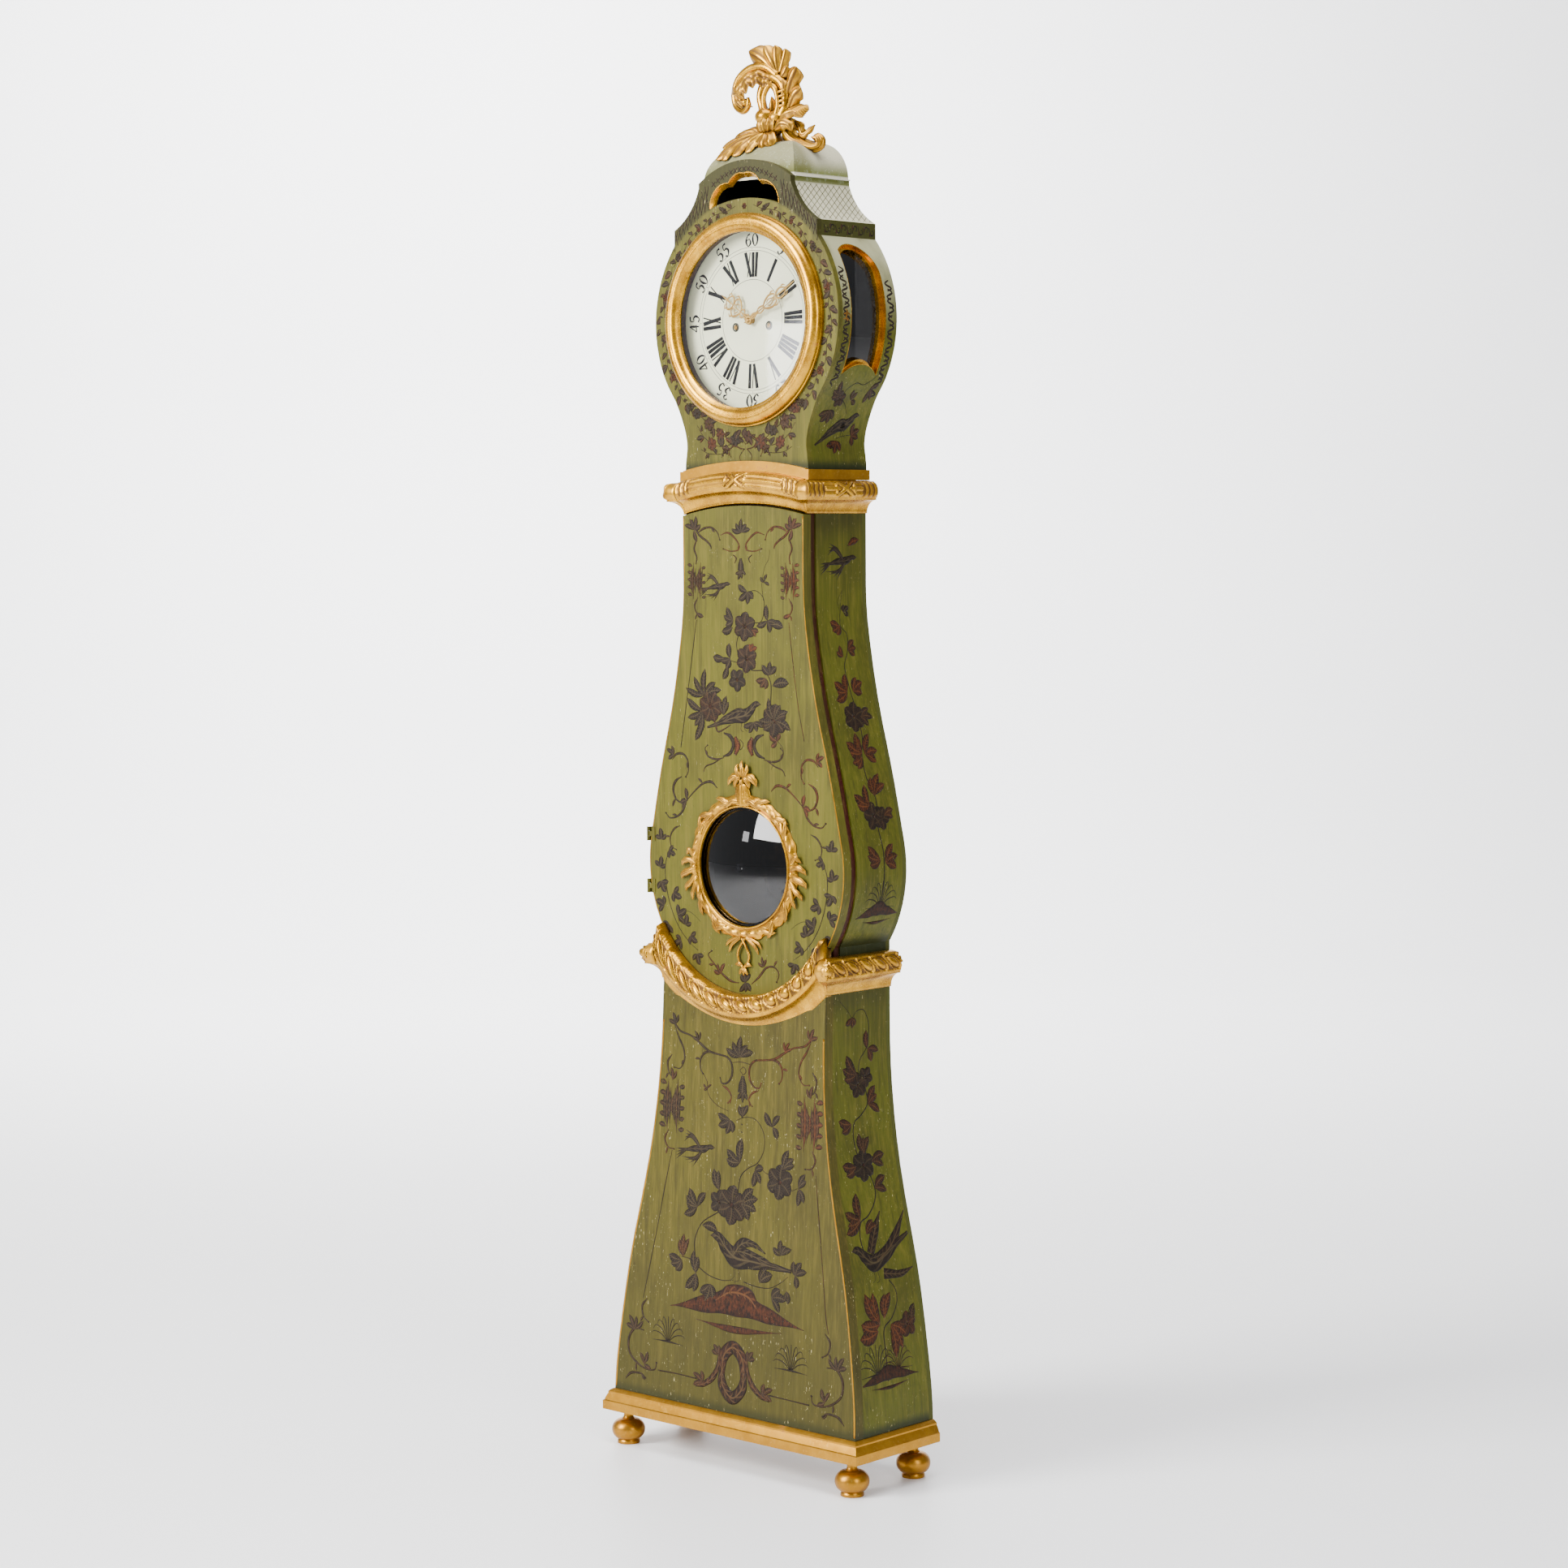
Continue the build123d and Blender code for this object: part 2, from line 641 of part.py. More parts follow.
def mouldings():
    x = BASE_HALF
    front = front_run(PLINTH_STEPS, PLINTH_PROJ, PLINTH_H, BASE_FACE_Y, FOOT_H, -x, x)
    front += box(-x, x, BASE_FACE_Y, BASE_FACE_Y + BASE_FRONT_T, FOOT_H, PLINTH_TOP)
    front -= behind_base_front(0)
    corner = corner_block(PLINTH_STEPS, PLINTH_PROJ, PLINTH_H, x, BASE_FACE_Y, FOOT_H)
    front += corner + mirror_x(corner)
    side = side_run(PLINTH_STEPS, PLINTH_PROJ, PLINTH_H, x, FOOT_H, BASE_FACE_Y, BACK_Y)
    PIECES["plinth_mouldings"] = group([front, side, mirror_x(side)])

    ring = arched_run(COVE_AND_TORUS, WAIST_PROJ, WAIST_H, WAIST_FACE_Y, LENS_Z, RING_OUT, -1,
                      WAIST_HALF, DOOR_T)
    ring -= behind_base_front(0)
    PIECES["waist_moulding_front"] = ring
    corner = corner_block(COVE_AND_TORUS, WAIST_PROJ, WAIST_H, WAIST_HALF, WAIST_FACE_Y, WAIST_LOW)
    side = side_run(COVE_AND_TORUS, WAIST_PROJ, WAIST_H, WAIST_HALF, WAIST_LOW, WAIST_FACE_Y, BACK_Y)
    PIECES["waist_moulding_sides"] = both(side + corner)

    front = arched_run(COVE_AND_TORUS, NECK_PROJ, NECK_H, NECK_Y, ARCH_Z, NECK_IN_R, 1, NECK_HALF,
                       DOOR_T - NECK_SETBACK)
    corner = corner_block(COVE_AND_TORUS, NECK_PROJ, NECK_H, NECK_HALF, NECK_Y, NECK_LOW)
    side = side_run(COVE_AND_TORUS, NECK_PROJ, NECK_H, NECK_HALF, NECK_LOW, NECK_Y, BACK_Y) + corner
    PIECES["neck_mouldings"] = group([front, side, mirror_x(side)])


# ================================================================ trunk
def trunk():
    edges = trunk_edges()
    side = slab(wall_face(edges, TRUNK_SIDE_T), TRUNK_SIDE_Y, BACKBOARD_Y)
    PIECES["trunk_sides"] = both(side)

    stand = slab(outline(shifted(edges, -FRAME_INSET)), FRAME_Y, TRUNK_SIDE_Y)
    foot_half = WAIST_HALF - BASE_SIDE_T - SEAM
    foot = rod_y(0, LENS_Z, DOOR_R + RING_GAP, FRAME_Y, TRUNK_SIDE_Y)
    foot &= box(-foot_half, foot_half, -FAR, FAR, 0, CASE_JOINT_Z)
    open_edges = door_edges()
    opening = slab(outline(shifted(open_edges[1:2], -FRAME_STILE - FRAME_INSET)), -FAR, FAR)
    head_z = DOOR_TOP - FRAME_HEAD
    neck_half = NECK_HALF - FRAME_STILE - FRAME_INSET
    opening += box(-neck_half, neck_half, -FAR, FAR, NECK_Z, head_z)
    swell_r = DOOR_R - FRAME_STILE - FRAME_INSET
    opening += rod_y(0, LENS_Z, swell_r, -FAR, FAR) & box(-FAR, FAR, -FAR, FAR,
                                                        LENS_Z - swell_r + FRAME_SILL, TAPER_Z)
    frame = stand + foot - opening
    mortise_x = lock_edge_x()
    mortise = box(mortise_x, mortise_x + BOLT_THROW + 2 * SEAM, bolt_y() - BOLT_D / 2 - SEAM,
                  bolt_y() + BOLT_D / 2 + SEAM, lock_z() - BOLT_H / 2 - SEAM, lock_z() + BOLT_H / 2 + SEAM)
    PIECES["trunk_front_frame"] = frame - mortise


def lock_z():
    return LENS_Z + LOCK_UP


def lock_edge_x():
    """Where the lock case ends, just inside the frame's opening."""
    inner = swell_point(DOOR_R - FRAME_STILE - FRAME_INSET, LENS_Z + SWELL_ARC_UP).X
    return inner - LOCK_CLEAR


def bolt_y():
    return DOOR_Y + DOOR_T + LOCK_D / 2


# ================================================================ trunk door
def dome_rise(share, half, bulge):
    """Height of a round dome over its edge plane, at this share of its half width."""
    ball = (half ** 2 + bulge ** 2) / (2 * bulge)
    return bulge - ball + math.sqrt(ball ** 2 - (half * share) ** 2)


def cap_shell(y_rim, bulge, r, thick, x, z):
    """Shallow glass dome bulging towards the front from its flat rim."""
    flat = r - LENS_RIM_W
    mid = dome_rise(0.5, flat, bulge)
    moves = [
        ((r, y_rim),),
        ((r, y_rim + thick),),
        ((flat, y_rim + thick),),
        ((flat * 0.5, y_rim + thick - mid), (0, y_rim + thick - bulge)),
        ((0, y_rim - bulge),),
        ((flat * 0.5, y_rim - mid), (flat, y_rim)),
    ]
    return turned_y((flat, y_rim), moves, x, z)


def door():
    board = slab(outline(door_edges(), top_mid=DOOR_TOP + DOOR_RISE), DOOR_Y, DOOR_Y + DOOR_T)
    board -= rod_y(0, LENS_Z, LENS_HOLE_R, DOOR_Y - 1, DOOR_Y + DOOR_T + 1)
    board -= rod_y(0, LENS_Z, LENS_REBATE_R, DOOR_Y - 1, DOOR_Y + LENS_REBATE_T)
    key_x = lock_edge_x() - KEY_IN
    board -= rod_y(key_x, lock_z(), KEYHOLE_R, DOOR_Y - 1, DOOR_Y + DOOR_T + 1)
    PIECES["trunk_door"] = board

    rim_y = DOOR_Y + LENS_REBATE_T - LENS_GLASS_T
    glass_r = LENS_REBATE_R - SEAM
    PIECES["lens_glass"] = cap_shell(rim_y, LENS_BULGE, glass_r, LENS_GLASS_T, 0, LENS_Z)

    y0 = DOOR_Y - LENS_FRAME_T
    ring_moves = [
        ((LENS_FRAME_OUT_R, DOOR_Y),),
        ((LENS_FRAME_OUT_R, DOOR_Y - LENS_FRAME_T / 3),),
        (((LENS_FRAME_OUT_R + LENS_FRAME_IN_R) / 2, y0), (LENS_FRAME_IN_R, DOOR_Y - LENS_FRAME_T / 3)),
    ]
    ring = turned_y((LENS_FRAME_IN_R, DOOR_Y), ring_moves, 0, LENS_Z)
    crest_y0 = DOOR_Y - LENS_FRAME_T * 0.8
    wide = LENS_CREST_HALF
    r = LENS_FRAME_OUT_R - LENS_FRAME_T / 4
    up, down, side = LENS_CREST_UP, LENS_CREST_DOWN, LENS_CREST_SIDE
    rise, drop = up - r, down - r
    arms = [
        [(wide * 0.9, r), (wide * 0.8, r + rise * 0.28), (wide, r + rise * 0.48),
         (wide * 0.95, r + rise * 0.74), (wide * 0.45, r + rise * 0.84), (wide * 0.4, r + rise * 0.95),
         (0, up)],
        [(wide * 1.1, -r), (wide * 1.2, -r - drop * 0.22), (wide * 0.35, -r - drop * 0.36),
         (wide * 0.42, -r - drop * 0.68), (wide * 0.7, -r - drop * 0.86), (0, -down)],
    ]
    for arm in arms:
        points = [at(x, LENS_Z + z) for x, z in arm]
        mirrored = [at(-x, LENS_Z + z) for x, z in arm[:-1]][::-1]
        blank = slab(Face(Wire.make_polygon(points + mirrored, close=True)), crest_y0, DOOR_Y)
        ring += blank
    ear = [(r, -side * 0.26), (r * 1.06, -side * 0.24), (side, -side * 0.17), (side, -side * 0.07),
           (r * 1.1, -side * 0.02), (r, side * 0.12)]
    corners = [at(x, LENS_Z + z) for x, z in ear]
    blank = slab(Face(Wire.make_polygon(corners, close=True)), crest_y0, DOOR_Y)
    ring += blank + mirror_x(blank)
    ring -= rod_y(0, LENS_Z, LENS_FRAME_IN_R, DOOR_Y - FAR, DOOR_Y + 1)
    PIECES["lens_frame"] = ring

    edge = lock_edge_x()
    y1 = DOOR_Y + DOOR_T
    z0, z1 = lock_z() - LOCK_H / 2, lock_z() + LOCK_H / 2
    case = box(edge - LOCK_W, edge, y1, y1 + LOCK_D, z0, z1)
    wall = LOCK_WALL
    case -= box(edge - LOCK_W + wall, edge - wall, y1 + wall, y1 + LOCK_D - wall, z0 + wall, z1 - wall)
    case -= box(edge - wall - 1, edge + 1, bolt_y() - BOLT_D / 2 - SEAM, bolt_y() + BOLT_D / 2 + SEAM,
                lock_z() - BOLT_H / 2 - SEAM, lock_z() + BOLT_H / 2 + SEAM)
    case -= rod_y(key_x, lock_z(), KEYHOLE_R, y1 - 1, y1 + wall + SEAM)
    PIECES["door_lock"] = case
    bolt = box(edge - BOLT_L, edge, bolt_y() - BOLT_D / 2, bolt_y() + BOLT_D / 2,
               lock_z() - BOLT_H / 2, lock_z() + BOLT_H / 2)
    tail = box(edge - BOLT_L, edge - BOLT_L + BOLT_TAIL_T, y1 + wall + SEAM, bolt_y(),
               lock_z() - BOLT_H / 2, lock_z() + BOLT_H / 2)
    PIECES["lock_bolt"] = bolt + tail


# ================================================================ hinges
def knuckles(x, y, z, moving):
    """Knuckles of one leaf. The fixed leaf carries the pin."""
    if moving:
        barrel = rod_z(x, y, KNUCKLE_R, z - KNUCKLE_HALF_L, z + KNUCKLE_HALF_L)
        return barrel - rod_z(x, y, HINGE_PIN_R + FIT, z - HINGE_HALF_L, z + HINGE_HALF_L)
    inner = KNUCKLE_HALF_L + SEAM
    low = rod_z(x, y, KNUCKLE_R, z - HINGE_HALF_L, z - inner)
    high = rod_z(x, y, KNUCKLE_R, z + inner, z + HINGE_HALF_L)
    return low + high + rod_z(x, y, HINGE_PIN_R, z - HINGE_HALF_L, z + HINGE_HALF_L)


def door_hinges():
    axis_x = -DOOR_R - DOOR_AXIS_OUT
    axis_y = DOOR_Y - DOOR_AXIS_FRONT
    inner = KNUCKLE_HALF_L + SEAM
    strap_x0 = axis_x + HINGE_PIN_R + SEAM
    strap_x1 = strap_x0 + STRAP_T
    strap_y0 = axis_y + KNUCKLE_R + SEAM
    strap_y1 = TRUNK_SIDE_Y + STRAP_L
    fixed, moving = [], []
    trunk_body = slab(outline(trunk_edges()), TRUNK_SIDE_Y, BACK_Y)
    for z in (LENS_Z - DOOR_HINGE_OFF, LENS_Z + DOOR_HINGE_OFF):
        z0, z1 = z - HINGE_HALF_L, z + HINGE_HALF_L
        edge_x = -swell_point(DOOR_R, z).X
        leaves = box(strap_x0, strap_x1, strap_y0, strap_y1, z0, z1)
        for low, high in ((z0, z - inner), (z + inner, z1)):
            leaves += box(axis_x, strap_x1, axis_y, strap_y0 + STRAP_T, low, high)
        leaves -= rod_z(axis_x, axis_y, HINGE_PIN_R, z0, z1)
        pad = box(strap_x0, edge_x + STRAP_L, TRUNK_SIDE_Y + STRAP_T, strap_y1, z0, z1) - trunk_body
        fixed.append(leaves + knuckles(axis_x, axis_y, z, False) + pad)
        leaf = box(edge_x + STRAP_T, edge_x + DOOR_LEAF_W, DOOR_Y - LEAF_T, DOOR_Y, z0, z1)
        leaf += box(axis_x + HINGE_PIN_R + SEAM, edge_x + DOOR_LEAF_W, DOOR_Y - LEAF_T, DOOR_Y,
                    z - KNUCKLE_HALF_L, z + KNUCKLE_HALF_L)
        moving.append(leaf + knuckles(axis_x, axis_y, z, True))
    PIECES["door_hinge_case_leaves"] = group(fixed)
    PIECES["door_hinge_door_leaves"] = group(moving)


# ================================================================ hood
def aperture_edges(grow):
    r = APERTURE_R
    x = APERTURE_HALF + grow
    low = at(x, HANDS_Z + math.sqrt(r ** 2 - APERTURE_HALF ** 2))
    cusp = at(APERTURE_CUSP[0] + grow * 0.3, HANDS_Z + APERTURE_CUSP[1] + grow)
    lobe = at(APERTURE_LOBE[0] + grow * 0.8, HANDS_Z + APERTURE_LOBE[1] + grow * 0.7)
    top = at(0, HANDS_Z + APERTURE_TOP + grow)
    mid = at((APERTURE_CUSP[0] + grow * 0.5) * 0.72, HANDS_Z + (APERTURE_CUSP[1] + 2 * APERTURE_TOP) / 3
             + grow)
    return [ThreePointArc(low, lobe, cusp), ThreePointArc(cusp, mid, top)]


def aperture_face(grow):
    return outline(aperture_edges(grow), bottom_mid=HANDS_Z + APERTURE_R)


def window_face(grow):
    """Side window drawn in the side view, grown outwards by grow."""
    y0 = HOOD_Y + WINDOW_FRONT - grow
    y1 = HOOD_Y + WINDOW_FRONT + WINDOW_W + grow
    mid = (y0 + y1) / 2
    z0 = HANDS_Z - WINDOW_LOW - grow
    z1 = HANDS_Z + WINDOW_HIGH + grow
    crown = z1 - WINDOW_CUSP * 0.6
    shoulder = z1 - WINDOW_CUSP * 2.6

    def spot(y, z):
        return Vector(0, y, z)

    edges = [
        ThreePointArc(spot(y0, z0), spot(mid, z0 + WINDOW_CUSP), spot(y1, z0)),
        Line(spot(y1, z0), spot(y1, shoulder)),
        ThreePointArc(spot(y1, shoulder), spot(mid + WINDOW_W * 0.2, z1 - WINDOW_CUSP * 0.35),
                      spot(y0, crown)),
        Line(spot(y0, crown), spot(y0, z0)),
    ]
    return Face(Wire(edges))


def window_prism(grow):
    return extrude(window_face(grow), amount=FAR, dir=(1, 0, 0))


def neck_arch():
    """What the neck moulding's arched top takes out of the hood's foot."""
    arch = rod_y(0, ARCH_Z, HOOD_ARCH_R, -FAR, FAR)
    return arch & box(-FAR, FAR, -FAR, FAR, NECK_LOW, HOOD_Z + HOOD_BAND_H + HOOD_FOOT_H)


def hood():
    edges = hood_edges()
    upper = cove_edges()
    front = slab(outline(edges + upper, top_mid=NOTCH_Z + CREST_ARCH), HOOD_Y, HOOD_SIDE_Y)
    front -= neck_arch()
    front -= rod_y(0, HANDS_Z, HOOD_HOLE_R, -FAR, FAR)
    front -= slab(aperture_face(APERTURE_FRAME_W), -FAR, FAR)
    PIECES["hood_front"] = front

    proud_y = HOOD_Y - APERTURE_PROUD
    lining = slab(aperture_face(APERTURE_FRAME_W), proud_y, HOOD_Y + APERTURE_FRAME_T)
    mouth = Pos(0, proud_y - SEAM, 0) * aperture_face(APERTURE_FRAME_W - APERTURE_LIP)
    throat = Pos(0, HOOD_Y + APERTURE_FRAME_T + SEAM, 0) * aperture_face(0)
    PIECES["hood_aperture_frame"] = lining - loft([mouth, throat], ruled=True)

    wall = slab(wall_face(edges, HOOD_SIDE_T), HOOD_SIDE_Y, BACK_Y)
    wall -= neck_arch()
    PIECES["hood_sides"] = both(wall - window_prism(0))

    deep = WINDOW_DEPTH - WINDOW_RECESS + WINDOW_FRAME_T
    lining_shell = slab(wall_face(shifted(edges, -WINDOW_RECESS), deep), HOOD_SIDE_Y, BACK_Y)
    lining = lining_shell & (window_prism(0) - window_prism(-WINDOW_LINING_T))
    frame_shell = slab(wall_face(shifted(edges, -WINDOW_DEPTH), WINDOW_FRAME_T), HOOD_SIDE_Y, BACK_Y)
    frame = frame_shell & (window_prism(0) - window_prism(-WINDOW_FRAME_W))
    PIECES["hood_window_frames"] = both(lining + frame)
    glass_in = WINDOW_DEPTH + WINDOW_FRAME_T
    glass_shell = slab(wall_face(shifted(edges, -glass_in), WINDOW_GLASS_T), HOOD_SIDE_Y, BACK_Y)
    PIECES["hood_window_glass"] = both(glass_shell & window_prism(0))

    cove = slab(wall_face(upper, COVE_T), HOOD_SIDE_Y, BACKBOARD_Y)
    panel = slab(outline(upper), BACKBOARD_Y, BACK_Y)
    PIECES["hood_roof_coves"] = group([cove, mirror_x(cove), panel])

    band_edges = [Line(at(HOOD_FOOT_HALF, HOOD_Z), at(HOOD_FOOT_HALF, HOOD_Z + HOOD_BAND_H))]
    side_band = slab(wall_face(shifted(band_edges, HOOD_BAND_PROJ), HOOD_BAND_PROJ), HOOD_Y, BACK_Y)
    reach = HOOD_FOOT_HALF + HOOD_BAND_PROJ
    front_band = tube_y(0, ARCH_Z, HOOD_ARCH_R, HOOD_ARCH_R + HOOD_BAND_H, HOOD_Y - HOOD_BAND_PROJ, HOOD_Y)
    front_band &= box(-HOOD_FOOT_HALF, HOOD_FOOT_HALF, -FAR, FAR, NECK_LOW, HOOD_Z + HOOD_BAND_H + HOOD_FOOT_H)
    corner = box(HOOD_FOOT_HALF, reach, HOOD_Y - HOOD_BAND_PROJ, HOOD_Y, HOOD_Z, HOOD_Z + HOOD_BAND_H)
    side_band += corner
    PIECES["hood_base_band"] = group([front_band, side_band, mirror_x(side_band)])


def roof_body(half, front_y, back_y, round_r, ledge_half):
    """Roof with rounded sides and a rounded front, flat at the back, on a plain ledge."""
    spring = NOTCH_Z + ROOF_LEDGE
    side = half + round_r
    turn = math.sqrt(0.5)
    across = [Line(at(ledge_half, NOTCH_Z), at(ledge_half, spring))]
    if ledge_half > side:
        across.append(Line(at(ledge_half, spring), at(side, spring)))
    across.append(ThreePointArc(at(side, spring), at(half + round_r * turn, spring + round_r * turn),
                                at(half, spring + round_r)))
    body = slab(outline(across), front_y, back_y)
    x = -FAR
    edges = [
        Line((x, front_y, NOTCH_Z), (x, front_y, spring)),
        ThreePointArc((x, front_y, spring),
                      (x, front_y + round_r * (1 - turn), spring + round_r * turn),
                      (x, front_y + round_r, spring + round_r)),
        Line((x, front_y + round_r, spring + round_r), (x, back_y, spring + round_r)),
        Line((x, back_y, spring + round_r), (x, back_y, NOTCH_Z)),
        Line((x, back_y, NOTCH_Z), (x, front_y, NOTCH_Z)),
    ]
    return body & extrude(Face(Wire(edges)), amount=2 * FAR, dir=(1, 0, 0))


def roof_flat_half():
    return CREST_HALF - ROOF_LEDGE - ROOF_R


def roof_outer():
    """The roof before it is hollowed, with its ledge standing out over the coves."""
    return roof_body(roof_flat_half(), HOOD_SIDE_Y, BACK_Y, ROOF_R, CREST_HALF + ROOF_LEDGE)


def roof():
    flat_half = roof_flat_half()
    outer = roof_outer()
    inner_r = ROOF_R - ROOF_T
    inner = roof_body(flat_half, HOOD_SIDE_Y + ROOF_T, BACK_Y - ROOF_T, inner_r, flat_half + inner_r)
    PIECES["hood_roof_dome"] = outer - inner


# ================================================================ finial
def blade(points, thick, dy=0.0):
    """Carved mass with a smooth closed outline in the front view, above the roof's top."""
    step = FINIAL_H * FINIAL_SHARE
    ring = Spline(*[at(x * step, ROOF_TOP + z * step) for x, z in points], periodic=True)
    return slab(Face(Wire([ring])), FINIAL_Y + dy - thick / 2, FINIAL_Y + dy + thick / 2)


def finial():
    plume = [(-22, 46), (-17, 72), (-22, 90), (-36, 86), (-40, 72), (-56, 64), (-74, 72), (-83, 94),
             (-74, 114), (-50, 124), (-16, 122), (6, 108), (2, 84), (-4, 60), (-8, 46)]
    loop = [(6, 38), (14, 60), (17, 80), (8, 94), (2, 106), (22, 108), (34, 92), (36, 66), (28, 40)]
    spray = [(4, 104), (-20, 124), (-44, 132), (-34, 142), (-55, 156), (-34, 162), (-18, 164.5),
             (-4, 162), (20, 158), (16, 140), (26, 120), (24, 104)]
    right = [(24, 40), (36, 62), (44, 84), (48, 110), (58, 118), (62, 104), (56, 88), (68, 78), (60, 60),
             (78, 50), (82, 38), (64, 36), (50, 30)]
    calyx = [(-24, 14), (-28, 40), (-12, 52), (16, 50), (34, 44), (44, 26), (36, 12), (6, 6)]
    droop = [(-8, 2), (-24, 15), (-44, 10), (-60, -6), (-72, -24), (-62, -24), (-48, -12), (-24, -4)]
    scroll = [(34, 22), (48, 26), (60, 14), (76, 4), (96, 2), (105, -10), (98, -22), (88, -18),
              (78, -8), (60, 1.5), (40, 6)]
    curl = [(44, 24), (56, 20), (66, 8), (80, 14), (90, 10), (78, 22), (66, 28), (52, 32)]
    foot = box(-FINIAL_FOOT_HALF, FINIAL_FOOT_HALF, FINIAL_Y - FINIAL_T / 2, FINIAL_Y + FINIAL_T / 2,
               ROOF_TOP - ROOF_T, ROOF_TOP + FINIAL_FOOT_H)
    body = foot + blade(calyx, FINIAL_T) + blade(plume, FINIAL_T * 0.9) + blade(loop, FINIAL_T * 0.5)
    body += blade(spray, FINIAL_T * 0.7) + blade(right, FINIAL_T * 0.6)
    upright = Axis((0, FINIAL_Y, 0), (0, 0, 1))
    body += blade(droop, FINIAL_T).rotate(upright, DROOP_TURN)
    body += (blade(scroll, FINIAL_T * 0.8) + blade(curl, FINIAL_T * 0.5)).rotate(upright, SCROLL_TURN)
    PIECES["finial"] = body - roof_outer()


# ================================================================ glazed ring
def bezel():
    y = HOOD_Y - SEAM
    lip = BEZEL_IN_R
    ring_moves = [
        ((BEZEL_R, y),),
        ((BEZEL_R, y - BEZEL_T * 0.25),),
        ((BEZEL_R - 1.5, y - BEZEL_T * 0.30),),
        ((BEZEL_R - 9, y - BEZEL_T * 0.95), (BEZEL_R - 17, y - BEZEL_T)),
        ((lip + 6, y - BEZEL_T * 0.86), (lip + 3.5, y - BEZEL_T * 0.70)),
        ((lip, y - BEZEL_T * 0.62),),
        ((lip, y - BEZEL_REBATE - BEZEL_GLASS_T),),
        ((lip + BEZEL_REBATE, y - BEZEL_REBATE - BEZEL_GLASS_T),),
    ]
    ring = turned_y((lip + BEZEL_REBATE, y), ring_moves, 0, HANDS_Z)
    axis_x = -BEZEL_R - BEZEL_AXIS_OUT
    axis_y = HOOD_Y - KNUCKLE_R
    solid_ring = rod_y(0, HANDS_Z, BEZEL_R, -FAR, FAR)
    tab = box(axis_x + HINGE_PIN_R + SEAM, -BEZEL_R + 3, axis_y - LEAF_T / 2, axis_y + LEAF_T / 2,
              HANDS_Z - KNUCKLE_HALF_L, HANDS_Z + KNUCKLE_HALF_L) - solid_ring
    PIECES["bezel_ring"] = ring + tab + knuckles(axis_x, axis_y, HANDS_Z, True)
    glass_r = lip + BEZEL_REBATE - FIT
    PIECES["bezel_glass"] = rod_y(0, HANDS_Z, glass_r, y - BEZEL_REBATE - BEZEL_GLASS_T, y - BEZEL_REBATE)

    inner = KNUCKLE_HALF_L + SEAM
    y0 = HOOD_Y - LEAF_T
    z0, z1 = HANDS_Z - HINGE_HALF_L, HANDS_Z + HINGE_HALF_L
    leaf = box(axis_x - BEZEL_LEAF_W, axis_x, y0, HOOD_Y, z0, HANDS_Z - inner)
    leaf += box(axis_x - BEZEL_LEAF_W, axis_x, y0, HOOD_Y, HANDS_Z + inner, z1)
    leaf += box(axis_x - BEZEL_LEAF_W, axis_x - KNUCKLE_R - SEAM, y0, HOOD_Y, z0, z1)
    PIECES["bezel_hinge_leaf"] = leaf + knuckles(axis_x, axis_y, HANDS_Z, False)


# ================================================================ movement frame
def seat():
    x1 = NECK_HALF - TRUNK_SIDE_T
    cheek = box(x1 - CHEEK_T, x1, SEAT_Y, BACKBOARD_Y, NECK_TOP - CHEEK_LAP, SEAT_Z - SEAT_T)
    PIECES["seat_cheeks"] = both(cheek)
    board = box(-x1, x1, SEAT_Y, BACKBOARD_Y - SEAM, SEAT_Z - SEAT_T, SEAT_Z)
    for sign in (-1, 1):
        x = sign * LINE_X
        board -= box(x - LINE_SLOT_HALF, x + LINE_SLOT_HALF, LINE_Y - LINE_SLOT_HALF,
                     LINE_Y + LINE_SLOT_HALF, SEAT_Z - SEAT_T - 1, SEAT_Z + 1)
    wide, deep = ROD_SLOT_HALF
    board -= box(-wide, wide, PENDULUM_Y - deep, PENDULUM_Y + deep, SEAT_Z - SEAT_T - 1, SEAT_Z + 1)
    PIECES["seat_board"] = board


def plate(y):
    body = box(-PLATE_HALF, PLATE_HALF, y, y + PLATE_T, SEAT_Z, SEAT_Z + PLATE_H)
    for x, z, r in pivots():
        body -= rod_y(x, z, r, y - 1, y + PLATE_T + 1)
    return body


def train_places():
    """Centres of the arbors in the front view."""
    m = TRAIN_MODULE
    centre = (0.0, HANDS_Z)
    third = (0.0, HANDS_Z + (CENTRE_TEETH + PINION) / 2 * m)
    escape = (0.0, third[1] + (THIRD_TEETH + PINION) / 2 * m)
    strike = (-WIND_X, WIND_Z)
    reach = (STRIKE_TEETH + PINION) / 2 * m
    turn = math.radians(PIN_WHEEL_ANGLE)
    pin = (strike[0] + reach * math.cos(turn), strike[1] + reach * math.sin(turn))
    reach = (PIN_TEETH + PINION) / 2 * m
    turn = math.radians(FLY_ANGLE)
    fly = (pin[0] + reach * math.cos(turn), pin[1] + reach * math.sin(turn))
    return {"centre": centre, "third": third, "escape": escape, "going": (WIND_X, WIND_Z),
            "strike": strike, "pin": pin, "fly": fly, "pallet": (0.0, PIVOT_Z),
            "hammer": (pin[0] - HAMMER_OUT, pin[1] + HAMMER_RISE)}


def going_teeth():
    """Teeth of the going great wheel, so that it meets the centre pinion twelve times over."""
    return 12 * PINION


def great_module():
    reach = math.hypot(WIND_X, WIND_DROP)
    return 2 * reach / (going_teeth() + PINION)


def pivots():
    places = train_places()
    holes = []
    for name, (x, z) in places.items():
        if name in ("going", "strike"):
            holes.append((x, z, WIND_SQUARE_R + FIT))
        elif name == "centre":
            holes.append((x, z, ARBOR_R + FIT))
        else:
            holes.append((x, z, PIVOT_R + FIT))
    return holes


